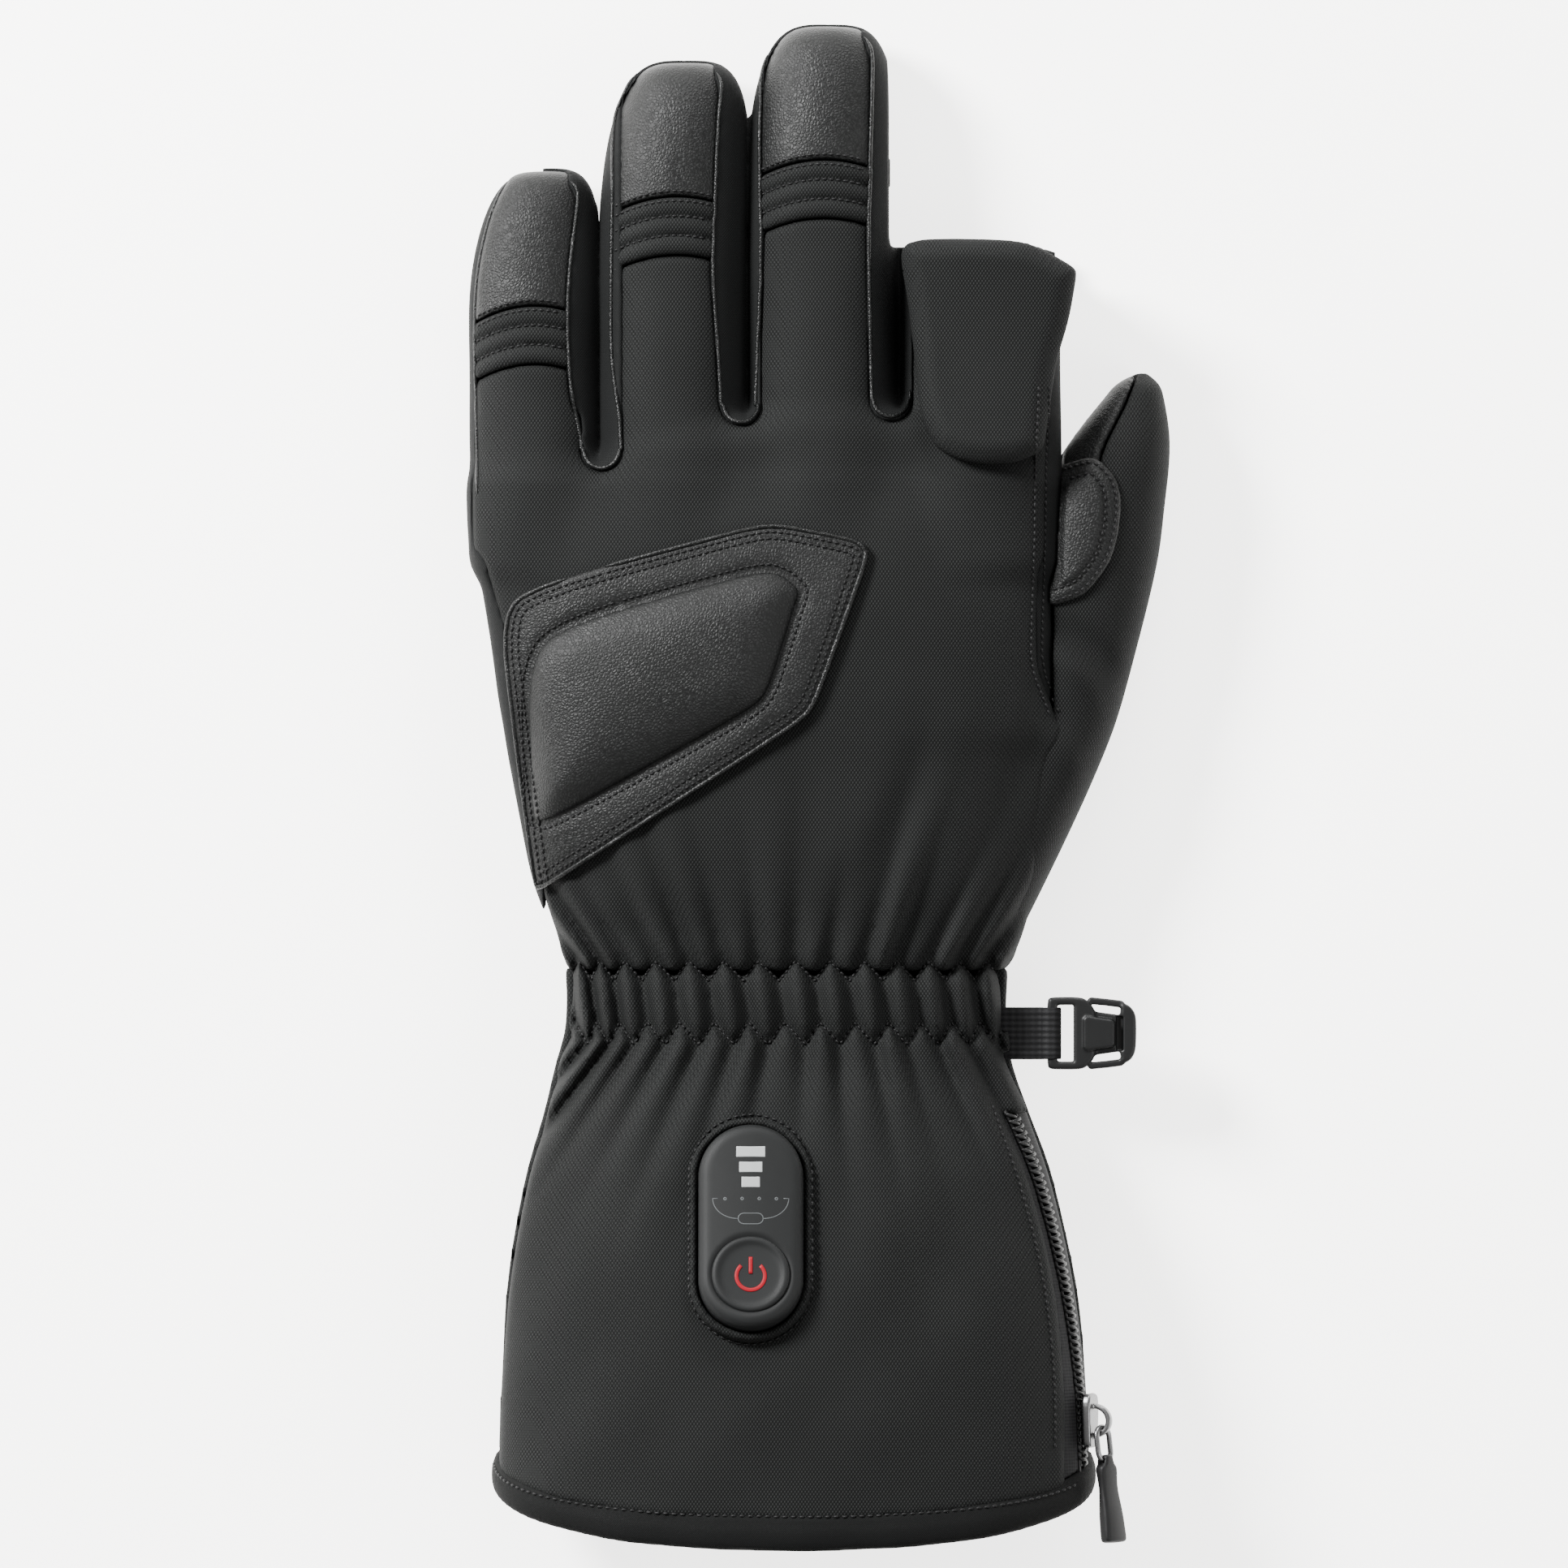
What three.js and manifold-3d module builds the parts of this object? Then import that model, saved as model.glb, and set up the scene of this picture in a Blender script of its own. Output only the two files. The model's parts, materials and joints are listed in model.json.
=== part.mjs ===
// Insulated heated gauntlet glove for the left hand, lying palm down, with its index hood folded back.
// Millimetres. +X is the thumb side, +Y points to the fingertips, +Z rises from the back of the hand.
// The origin is under the middle of the palm, on the plane that the glove rests on.
import * as THREE from "three";
import { mergeVertices } from "three/addons/utils/BufferGeometryUtils.js";
import Module from "manifold-3d";

const wasm = await Module();
wasm.setup();

// Sizes of the hand
const PALM_WIDTH = 122; // across the knuckles
const PALM_HEIGHT = 40; // padded back of the hand above the table
const PALM_CENTRE = -4.5; // middle of the hand, left of the origin
const KNUCKLE_Y = 63.5; // where the little finger parts from the hand
const WRIST_Y = -39.6; // upper elastic row
const WALL = 3.5; // softshell, insulation and lining together
const PALM_WALL = 3; // leather and lining under the hand
const FLAT = 1.2; // depth of the underside that is flattened by the table

// Sizes of the fingers
const PINKY_WIDTH = 28.4;
const RING_WIDTH = 31;
const MIDDLE_WIDTH = 31.4;
const INDEX_WIDTH = 34.8;
const PINKY_LENGTH = 66.3;
const RING_LENGTH = 89.4;
const MIDDLE_LENGTH = 97.2;
const INDEX_LENGTH = 50.5; // to the open end under the hood
const PINKY_HEIGHT = 24;
const FINGER_HEIGHT = 26.5;
const INDEX_HEIGHT = 26;
const FINGER_GAP = 0.5;
const FINGER_ROOT = 18; // length of a finger inside the hand
const WEB_RISE = 10; // how much higher the other crotches are than the little finger's
const WEB_INSET = 2.5; // web's ends inside the fingers
const PINKY_OUT = 2.6; // how far the little finger stands out from the side of the palm
const PINKY_LEAN = 3; // fingertips' lean towards the thumb
const RING_LEAN = 2.6;
const MIDDLE_LEAN = 1.4;
const PINKY_ROOT_SHIFT = 1.5;

// Sizes of the thumb
const THUMB_WIDTH = 30.7;
const THUMB_LENGTH = 126.2;
const THUMB_HEIGHT = 26;
const THUMB_TIP_Y = 87.6;
const THUMB_EDGE = 82; // furthest reach of the thumb to the side
const THUMB_INSET = 1; // seam of the thumb inside the silhouette of the hand
const THUMB_FRONT_LOW = 9; // lowest reach of the thumb's front panel
const THUMB_TIP_LIFT = 6; // underside of the thumb's very tip above the table
const THUMB_TIP_SHARE = 0.05; // share of the thumb that is lifted

// Sizes of the gauntlet
const CUFF_LENGTH = 106; // upper elastic row to the bound hem
const CUFF_WIDTH = 126.6;
const CUFF_HEIGHT = 57;
const CUFF_CENTRE = 2;
const PUCKERS = 14; // gathers across the back of the wrist
const PUCKER_DEPTH = 2.2;
const ELASTIC_ROWS = 13.1; // distance between the two stitched rows
const HEM_BAND = 6.6;
const HEM_PROUD = 0.7;
const HEM_LEAN = 0.3; // how far the back of the hem leans out, for each millimetre of height
const LEAN_FROM = 0.4; // share of the gauntlet above which its sections stand upright
const HEM_PAST = 19.8; // how far the hollow goes past the hem

// Seams
const SEAM_GAP = 0.3;
const PALM_SEAM = 6; // height of the seam round the underside
const BACK_SEAM = 12; // lowest reach of the back panels
const CUFF_SEAM = 20; // side seam of the gauntlet
const CUFF_SEAM_INSET = 0.8;
const ULNAR_STRIP = 3.2; // widest show of the little finger's side strip
const SEAM_INSET = 2.4; // finger seam to silhouette on the little finger's side
const SEAM_INSET_INNER = 5; // the same on the thumb side

// Fingertip caps and ribs
const CAP_LENGTH = 28.5;
const CAP_SAG = 4.2; // how far the cap seam curves down at its ends
const RIB_COUNT = 3;
const RIB_PITCH = 4.1;
const RIB_PROUD = 0.8;

// Hood of the index finger
const HOOD_TOP_Y = 115;
const HOOD_LENGTH = 47;
const HOOD_WIDTH = 37.7;
const HOOD_CENTRE = 43.2;
const HOOD_HEIGHT = 9.5;
const HOOD_WALL = 2;
const HOOD_TAPER = 0.25; // how much thinner the hood's lower tip is, as a share of its height
const HOOD_SIDE = 0.45; // height of the hood's widest part over the finger, as a share of its height
const HOOD_SINK = 0.3; // how deep the hood is cut to the finger, as a share of its height

// Knuckle guard
const GUARD_WIDTH = 78.3;
const GUARD_LENGTH = 77.8;
const GUARD_LEFT = -60.6;
const GUARD_BOTTOM = -22.9;
const GUARD_THICK = 1.4;
const PAD_EDGE = 0.8;
const PAD_RISE = 3.2;

// Thumb patch
const PATCH_WIDTH = 14.3;
const PATCH_LENGTH = 32;
const PATCH_LEFT = 57.3;
const PATCH_BOTTOM = 37.7;
const PATCH_THICK = 1.1;

// Side zip
const ZIP_TOP_Y = -69.2;
const ZIP_LENGTH = 75.4;
const ZIP_DROP = 0.9; // how far the tapes lie below the cloth
const ZIP_TAPE = 1.3;
const CHAIN_WIDTH = 3.4;
const CHAIN_HEIGHT = 2;
const SLIDER_LENGTH = 11.4;
const SLIDER_WIDTH = 6.6;
const SLIDER_PLATE = 1.7;
const BRIDGE_HEIGHT = 4.2;
const BRIDGE_LENGTH = 7.4;
const BRIDGE_WIDTH = 1.9;
const BRIDGE_WALL = 0.9;
const LINK_LENGTH = 8.4;
const LINK_WIDTH = 5.2;
const LINK_WIRE = 1.2;
const LINK_TWIST = 22; // degrees that the link and pull are turned towards the back of the hand
const LINK_SLACK = 0.9; // play of the link in the bridge
const LINK_LIFT = 8; // degrees that the pull's free end stands off the hem
const PULL_LENGTH = 16.4;
const PULL_TOP = 5;
const PULL_END = 6.4;
const PULL_THICK = 3;
const LUG_WIDTH = 2.1;
const LUG_PLAY = 0.5; // room for the link's bend in the lug

// Strap and clip
const STRAP_WIDTH = 11.3;
const STRAP_THICK = 1.6;
const STRAP_Y = -52.9;
const STRAP_Z = 19;
const STRAP_REACH = 8.2;
const CLIP_LENGTH = 19;
const CLIP_WIDTH = 15.4;
const CLIP_THICK = 4.2;
const CLIP_SLOT = 2.9;
const CLIP_BAR = 2.9;

// Heat controller
const CASE_WIDTH = 22.1;
const CASE_LENGTH = 44.1;
const CASE_HEIGHT = 5;
const CASE_BEVEL = 1.4;
const CASE_SINK = 1; // depth of the case below the cloth, before it is cut to the cloth
const CASE_X = -7;
const CASE_Y = -93.9;
const COLLAR_WIDTH = 1.7;
const COLLAR_PROUD = 1.5;
const BUTTON_RADIUS = 8.2;
const BUTTON_THICK = 0.9;
const BUTTON_INSET = 11.15; // middle of the button from the case's lower end
const BAR_WIDTH = 6;
const BAR_HEIGHT = 2.3;
const BAR_THICK = 0.6;
const BAR_PITCH = 3.25;
const BAR_INSET = 6.45; // first bar from the case's upper end
const BAR_TAPER = 0.16; // each bar is this share shorter than the one above
const BAR_COUNT = 3;

// Roundness of a section: 2 is an ellipse, more is boxier
const BACK_ROUND = 2.3;
const FINGER_ROUND = 2.2;
const SOLE_ROUND = 2.8;

// Numbers of facets
const BACK_FACETS = 14;
const SOLE_FACETS = 8;
const FINGER_BACK_FACETS = 8;
const FINGER_SOLE_FACETS = 4;
const PUCKER_FACETS = 2;
const CHAIN_STEPS = 14;
const BAND_STEPS = 6;
const LINK_ARC_STEPS = 4;
const LINK_SIDES = 5;
const MIN_SPACING = 4; // least distance between the hand's last row and the first gather row

// Stations, as shares of the length of the hand, gauntlet, finger, zip or hood
const HAND_STATIONS = [-0.04, 0, 0.1, 0.24, 0.42, 0.5, 0.57, 0.7];
const HAND_SEAM_STATIONS = [0, 0.12, 0.25, 0.38, 0.44, 0.5, 0.56, 0.7, 0.82, 0.92, 1.02];
const THUMB_SEAM_STATIONS = [-0.32, -0.16, 0, 0.13, 0.27, 0.38, 0.5, 0.58, 0.67, 0.77, 0.87, 0.94, 0.997];
const CUFF_STATIONS = [0.56, 0.78, 1];
const CUFF_SEAM_STATIONS = [-0.01, 0.02, 0.075, 0.13, 0.21, 0.3, 0.43, 0.58, 0.75, 0.9, 1.18];
const FINGER_STATIONS = [0.5, 0.75, 1];
const ZIP_STATIONS = [0, 0.1, 0.22, 0.36, 0.52, 0.7, 0.88, 1.2];
const HOOD_STATIONS = [0, 0.35, 0.7, 1];

// Rows from the little finger's crotch (0) to the upper elastic row (1).
// left, right: shares of half the palm width; top, side: shares of the palm height.
const HAND_ROWS = [
  { at: -0.04, left: 0.98, right: 0.97, top: 0.6, side: 0.42 },
  { at: 0, left: 1.01, right: 1.01, top: 0.82, side: 0.5 },
  { at: 0.1, left: 1.005, right: 1.01, top: 0.92, side: 0.52 },
  { at: 0.24, left: 0.97, right: 1.01, top: 0.98, side: 0.54 },
  { at: 0.42, left: 0.93, right: 1.015, top: 1.0, side: 0.55 },
  { at: 0.5, left: 0.905, right: 1.0, top: 1.0, side: 0.55 },
  { at: 0.57, left: 0.885, right: 0.945, top: 1.0, side: 0.53 },
  { at: 0.7, left: 0.845, right: 0.915, top: 1.0, side: 0.51 },
  { at: 0.82, left: 0.8, right: 0.895, top: 0.98, side: 0.49 },
  { at: 0.92, left: 0.74, right: 0.875, top: 0.93, side: 0.47 },
];

// Rows from the upper elastic row (0) to the hem (1).
// left, right: shares of half the gauntlet's width; top, side: shares of its height.
const CUFF_ROWS = [
  { at: 0, left: 0.77, right: 0.72, top: 0.63, side: 0.3 },
  { at: 0.06, left: 0.765, right: 0.715, top: 0.63, side: 0.3 },
  { at: 0.12, left: 0.77, right: 0.715, top: 0.64, side: 0.31 },
  { at: 0.19, left: 0.8, right: 0.74, top: 0.67, side: 0.32 },
  { at: 0.28, left: 0.835, right: 0.795, top: 0.73, side: 0.34 },
  { at: 0.42, left: 0.9, right: 0.875, top: 0.81, side: 0.36 },
  { at: 0.62, left: 0.96, right: 0.95, top: 0.9, side: 0.38 },
  { at: 0.82, left: 0.99, right: 0.99, top: 0.97, side: 0.39 },
  { at: 1.0, left: 1.0, right: 1.0, top: 1.0, side: 0.4 },
];

// Tip of a finger. at: share of its width back from the tip; half, rise: shares of its half width and height.
const TIP_ROWS = [
  { at: 0.0, half: 0.38, rise: 0.3 },
  { at: 0.07, half: 0.63, rise: 0.55 },
  { at: 0.22, half: 0.82, rise: 0.78 },
  { at: 0.5, half: 0.93, rise: 0.94 },
  { at: 1.1, half: 1.0, rise: 1.0 },
];

// Web between the fingers. up: shares of its rise; top: shares of the hand's height there.
const WEB_ROWS = [
  { up: 1, top: 0.66 },
  { up: 0.85, top: 0.84 },
  { up: 0.45, top: 0.95 },
  { up: -0.3, top: 1 },
  { up: -1, top: 0.98 },
];

// Thumb from tip (0) to wrist (1).
// outer: distance inside THUMB_EDGE; wide, top: shares of its width and height.
const THUMB_ROWS = [
  { at: 0, outer: 0.13, wide: 0.12, top: 0.55 },
  { at: 0.018, outer: 0.065, wide: 0.3, top: 0.7 },
  { at: 0.045, outer: 0.03, wide: 0.43, top: 0.8 },
  { at: 0.1, outer: 0, wide: 0.64, top: 0.9 },
  { at: 0.15, outer: 0.005, wide: 0.78, top: 0.95 },
  { at: 0.22, outer: 0.04, wide: 0.9, top: 0.98 },
  { at: 0.32, outer: 0.09, wide: 0.97, top: 1 },
  { at: 0.46, outer: 0.22, wide: 1, top: 1.02 },
  { at: 0.6, outer: 0.38, wide: 0.96, top: 1.05 },
  { at: 0.72, outer: 0.59, wide: 0.85, top: 1.06 },
  { at: 0.86, outer: 0.87, wide: 0.64, top: 1.06 },
  { at: 0.97, outer: 1.09, wide: 0.48, top: 1.04 },
];

// Gathers along the arm, in distances between the elastic rows, from the upper row.
// swell: height of the folds as a share of the pucker depth, negative where ridge and valley change places;
// groove: how far the elastic draws the cloth in.
const GATHER_ROWS = [
  { at: -1.5, swell: 0, groove: 0 },
  { at: -1.1, swell: -0.35, groove: 0 },
  { at: -0.65, swell: -0.8, groove: 0.1 },
  { at: -0.25, swell: -0.95, groove: 0.4 },
  { at: 0, swell: 0, groove: 1 },
  { at: 0.25, swell: 0.85, groove: 0.4 },
  { at: 0.5, swell: 1, groove: 0.2 },
  { at: 0.75, swell: 0.85, groove: 0.4 },
  { at: 1, swell: 0, groove: 1 },
  { at: 1.3, swell: -0.95, groove: 0.4 },
  { at: 1.8, swell: -0.7, groove: 0 },
  { at: 2.4, swell: -0.35, groove: 0 },
  { at: 3.1, swell: 0, groove: 0 },
];

// Outline of the hood, as shares of its width from the middle and of its length from the mouth
const HOOD_OUTLINE = [
  { across: -0.5, down: 0.045 },
  { across: -0.39, down: 0 },
  { across: 0.18, down: 0.005 },
  { across: 0.34, down: 0.06 },
  { across: 0.5, down: 0.14 },
  { across: 0.39, down: 0.52 },
  { across: 0.31, down: 0.88 },
  { across: 0.22, down: 0.97 },
  { across: 0, down: 1.0 },
  { across: -0.18, down: 0.97 },
  { across: -0.31, down: 0.9 },
  { across: -0.39, down: 0.76 },
  { across: -0.42, down: 0.56 },
];

// Outlines of the guard and its pad, as shares of the guard's width and length from its lower left
const GUARD_OUTLINE = [
  { across: 0, up: 0.81 },
  { across: 0.7, up: 1 },
  { across: 0.79, up: 0.996 },
  { across: 0.975, up: 0.957 },
  { across: 1, up: 0.92 },
  { across: 0.99, up: 0.875 },
  { across: 0.862, up: 0.52 },
  { across: 0.82, up: 0.465 },
  { across: 0.11, up: 0 },
  { across: 0.095, up: 0.02 },
  { across: 0.045, up: 0.4 },
];
const PAD_OUTLINE = [
  { across: 0.073, up: 0.706 },
  { across: 0.7, up: 0.88 },
  { across: 0.775, up: 0.87 },
  { across: 0.822, up: 0.82 },
  { across: 0.81, up: 0.775 },
  { across: 0.741, up: 0.551 },
  { across: 0.7, up: 0.5 },
  { across: 0.1, up: 0.165 },
  { across: 0.088, up: 0.24 },
];

// Steps of the pad from its edge to its middle
const PAD_STEPS = [
  { scale: 1, rise: 0 },
  { scale: 0.95, rise: 0.55 },
  { scale: 0.86, rise: 0.85 },
  { scale: 0.6, rise: 1 },
];

const PATCH_OUTLINE = [
  { across: 0.03, up: 0.92 },
  { across: 0.6, up: 1 },
  { across: 0.91, up: 0.86 },
  { across: 1, up: 0.7 },
  { across: 0.83, up: 0.29 },
  { across: 0.46, up: 0.07 },
  { across: 0, up: 0 },
];

// Seam between the thumb's leather front and its fabric back, as shares of the thumb's width from its edge
// and of its length from the tip
const THUMB_SEAM = [
  { inset: 0.2, down: -0.02 },
  { inset: 0.3, down: 0.055 },
  { inset: 0.44, down: 0.12 },
  { inset: 0.48, down: 0.15 },
  { inset: 0.37, down: 0.19 },
  { inset: 0.33, down: 0.24 },
  { inset: 0.4, down: 0.32 },
  { inset: 0.58, down: 0.385 },
  { inset: 0.95, down: 0.405 },
];

// Seam on the thumb side of the index finger, and its strip, down the hand
const RADIAL_SEAM = [
  { at: -0.5, inset: 3.2 },
  { at: 0, inset: 2.6 },
  { at: 0.3, inset: 3.4 },
  { at: 0.38, inset: 3.2 },
  { at: 0.44, inset: 2.2 },
  { at: 0.5, inset: 0.4 },
  { at: 0.56, inset: -3 },
  { at: 1.3, inset: -3 },
];

// Zip along its length. edge, chain: tape's left edge and chain inside the silhouette, as shares of half
// the gauntlet's width.
const ZIP_ROWS = [
  { at: 0, edge: 0.1, chain: 0.06 },
  { at: 0.1, edge: 0.1, chain: 0.05 },
  { at: 0.25, edge: 0.097, chain: 0.04 },
  { at: 0.45, edge: 0.092, chain: 0.032 },
  { at: 0.7, edge: 0.095, chain: 0.024 },
  { at: 1, edge: 0.105, chain: 0.02 },
];

const signedPower = (base, power) => Math.sign(base) * Math.abs(base) ** power;

// Smooth value of one column of a table at a given place.
function columnAt(rows, column, at) {
  const last = rows.length - 1;
  const spot = Math.min(Math.max(at, rows[0].at), rows[last].at);
  let i = 0;
  while (i < last - 1 && spot > rows[i + 1].at) {
    i += 1;
  }
  const a = rows[i];
  const b = rows[i + 1];
  const before = rows[Math.max(i - 1, 0)];
  const after = rows[Math.min(i + 2, last)];
  const span = b.at - a.at;
  const t = (spot - a.at) / span;
  const slopeA = ((b[column] - before[column]) / (b.at - before.at)) * span;
  const slopeB = ((after[column] - a[column]) / (after.at - a.at)) * span;
  const t2 = t * t;
  const t3 = t2 * t;
  return (
    (2 * t3 - 3 * t2 + 1) * a[column] +
    (t3 - 2 * t2 + t) * slopeA +
    (3 * t2 - 2 * t3) * b[column] +
    (t3 - t2) * slopeB
  );
}

const HAND_SPAN = KNUCKLE_Y - WRIST_Y;
const HEM_Y = WRIST_Y - CUFF_LENGTH;

// Cross-section of the hand, wrist and gauntlet at a height up the arm.
function bodySection(y) {
  const inHand = y > WRIST_Y;
  const at = inHand ? (KNUCKLE_Y - y) / HAND_SPAN : (WRIST_Y - y) / CUFF_LENGTH;
  const lowest = HAND_ROWS[HAND_ROWS.length - 1];
  const handPart = (column) => columnAt(HAND_ROWS, column, at);
  const cuffPart = (column) => columnAt(CUFF_ROWS, column, Math.max(at, 0));
  const cuffTop = CUFF_ROWS[0];
  if (!inHand) {
    return {
      y,
      left: CUFF_CENTRE - cuffPart("left") * (CUFF_WIDTH / 2),
      right: CUFF_CENTRE + cuffPart("right") * (CUFF_WIDTH / 2),
      top: cuffPart("top") * CUFF_HEIGHT,
      side: cuffPart("side") * CUFF_HEIGHT,
      round: BACK_ROUND,
    };
  }
  const blend = Math.max(0, (at - lowest.at) / (1 - lowest.at));
  const mix = (handValue, cuffValue) => handValue + (cuffValue - handValue) * blend;
  return {
    y,
    left: mix(
      PALM_CENTRE - handPart("left") * (PALM_WIDTH / 2),
      CUFF_CENTRE - cuffTop.left * (CUFF_WIDTH / 2),
    ),
    right: mix(
      PALM_CENTRE + handPart("right") * (PALM_WIDTH / 2),
      CUFF_CENTRE + cuffTop.right * (CUFF_WIDTH / 2),
    ),
    top: mix(handPart("top") * PALM_HEIGHT, cuffTop.top * CUFF_HEIGHT),
    side: mix(handPart("side") * PALM_HEIGHT, cuffTop.side * CUFF_HEIGHT),
    round: BACK_ROUND,
  };
}

// Height of a section's back at x.
function backHeight(section, x) {
  const middle = (section.left + section.right) / 2;
  const half = (section.right - section.left) / 2;
  const across = Math.min(Math.abs(x - middle) / half, 1);
  const share = (1 - across ** section.round) ** (1 / section.round);
  return section.side + (section.top - section.side) * share;
}

// A section moved outwards, or inwards where grow is negative.
function grown(section, grow, floor = 0) {
  return {
    ...section,
    left: section.left - grow,
    right: section.right + grow,
    top: section.top + grow,
    floor,
  };
}

const SPREAD = 0.94; // keeps gathers near one width across the back

// Ring of points round a section, with its back first from +X to -X.
function ring(section, backFacets, soleFacets, fold = () => 0) {
  const middle = (section.left + section.right) / 2;
  const half = (section.right - section.left) / 2;
  const floor = section.floor ?? 0;
  const lift = section.lift ?? 0;
  const rise = section.top - section.side;
  const drop = section.side + FLAT - floor - (section.under ?? 0);
  const lean = section.lean ?? 0;
  const points = [];
  for (let i = 0; i < backFacets; i += 1) {
    const q = 1 - (2 * i) / backFacets;
    const across = Math.sin(SPREAD * q) / Math.sin(SPREAD);
    const share = Math.max(0, 1 - Math.abs(across) ** section.round) ** (1 / section.round);
    const bump = fold(i / backFacets);
    const z = section.side + (rise + bump) * share;
    points.push({ u: i / backFacets / 2, x: middle + half * across, z });
  }
  for (let i = 0; i < soleFacets; i += 1) {
    const angle = Math.PI * (1 + i / soleFacets);
    const z = section.side + drop * signedPower(Math.sin(angle), 2 / SOLE_ROUND);
    const x = middle + half * signedPower(Math.cos(angle), 2 / section.round);
    points.push({ u: 0.5 + i / soleFacets / 2, x, z: Math.max(z, floor) });
  }
  return points.map((p) => ({
    u: p.u,
    at: new THREE.Vector3(p.x, section.y - lean * (p.z - section.side), p.z + lift),
  }));
}

// Closed solid through rings, which may have unlike numbers of points.
function loft(rings) {
  const vertices = [];
  const faces = [];
  const starts = rings.map((points) => {
    const start = vertices.length / 3;
    points.forEach((p) => vertices.push(p.at.x, p.at.y, p.at.z));
    return start;
  });
  for (let r = 0; r + 1 < rings.length; r += 1) {
    const [a, b] = [rings[r], rings[r + 1]];
    let [i, j] = [0, 0];
    while (i < a.length || j < b.length) {
      const nextA = i + 1 < a.length ? a[i + 1].u : 1;
      const nextB = j + 1 < b.length ? b[j + 1].u : 1;
      const onA = starts[r] + (i % a.length);
      const onB = starts[r + 1] + (j % b.length);
      if (i < a.length && (nextA <= nextB || j >= b.length)) {
        faces.push(onA, starts[r] + ((i + 1) % a.length), onB);
        i += 1;
      } else {
        faces.push(onB, onA, starts[r + 1] + ((j + 1) % b.length));
        j += 1;
      }
    }
  }
  const cap = (index, forward) => {
    const points = rings[index];
    const centre = points.reduce((sum, p) => sum.add(p.at), new THREE.Vector3()).divideScalar(points.length);
    const hub = vertices.length / 3;
    vertices.push(centre.x, centre.y, centre.z);
    points.forEach((_, i) => {
      const one = starts[index] + i;
      const two = starts[index] + ((i + 1) % points.length);
      faces.push(hub, forward ? one : two, forward ? two : one);
    });
  };
  cap(0, false);
  cap(rings.length - 1, true);
  return fromArrays(new Float32Array(vertices), new Uint32Array(faces));
}

// Solid from vertices and faces, turned to face outwards.
function fromArrays(vertProperties, triVerts) {
  const made = new wasm.Manifold(new wasm.Mesh({ numProp: 3, vertProperties, triVerts }));
  if (made.volume() >= 0) {
    return made;
  }
  const turned = triVerts.slice();
  for (let i = 0; i < turned.length; i += 3) {
    [turned[i + 1], turned[i + 2]] = [turned[i + 2], turned[i + 1]];
  }
  return new wasm.Manifold(new wasm.Mesh({ numProp: 3, vertProperties, triVerts: turned }));
}

// Solid from a closed three.js geometry.
function solid(geometry) {
  const plain = geometry.index ? geometry.toNonIndexed() : geometry.clone();
  plain.deleteAttribute("normal");
  plain.deleteAttribute("uv");
  const merged = mergeVertices(plain, 1e-4);
  return fromArrays(merged.attributes.position.array, new Uint32Array(merged.index.array));
}

// Upright prism over an outline of { x, y } points.
function prism(outline, low, high) {
  const shape = new THREE.Shape(outline.map((p) => new THREE.Vector2(p.x, p.y)));
  const geometry = new THREE.ExtrudeGeometry(shape, { depth: high - low, bevelEnabled: false });
  geometry.translate(0, 0, low);
  return solid(geometry);
}

// Block between two corners.
function block(x0, x1, y0, y1, z0, z1) {
  const geometry = new THREE.BoxGeometry(x1 - x0, y1 - y0, z1 - z0);
  geometry.translate((x0 + x1) / 2, (y0 + y1) / 2, (z0 + z1) / 2);
  return solid(geometry);
}

const addAll = (solids) => solids.reduce((whole, next) => whole.add(next));

// Loose bodies of a solid as three.js geometries, largest first, each with its centre.
function bodiesOf(made) {
  const { vertProperties, triVerts, numProp } = made.getMesh();
  const parent = Array.from({ length: vertProperties.length / numProp }, (_, i) => i);
  const find = (i) => {
    while (parent[i] !== i) {
      parent[i] = parent[parent[i]];
      i = parent[i];
    }
    return i;
  };
  for (let t = 0; t < triVerts.length; t += 3) {
    parent[find(triVerts[t])] = find(triVerts[t + 1]);
    parent[find(triVerts[t + 1])] = find(triVerts[t + 2]);
  }
  const point = (i) => new THREE.Vector3().fromArray(vertProperties, i * numProp);
  const bodies = new Map();
  for (let t = 0; t < triVerts.length; t += 3) {
    const corners = [triVerts[t], triVerts[t + 1], triVerts[t + 2]];
    const [a, b, c] = corners.map(point);
    const key = find(corners[0]);
    const body = bodies.get(key) ?? { volume: 0, faces: [] };
    body.volume += a.dot(b.cross(c)) / 6;
    body.faces.push(...corners);
    bodies.set(key, body);
  }
  return [...bodies.values()]
    .sort((one, two) => two.volume - one.volume)
    .map((body) => {
      const indexed = new THREE.BufferGeometry();
      indexed.setAttribute("position", new THREE.BufferAttribute(vertProperties, numProp));
      indexed.setIndex(body.faces);
      const geometry = mergeVertices(indexed.toNonIndexed(), 1e-4);
      geometry.computeBoundingBox();
      return { geometry, centre: geometry.boundingBox.getCenter(new THREE.Vector3()) };
    });
}

const root = new THREE.Group();

function addPiece(name, made, material) {
  const geometry = made.isBufferGeometry ? made : bodiesOf(made)[0].geometry;
  const mesh = new THREE.Mesh(geometry, material);
  mesh.name = name;
  root.add(mesh);
  return mesh;
}

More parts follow.
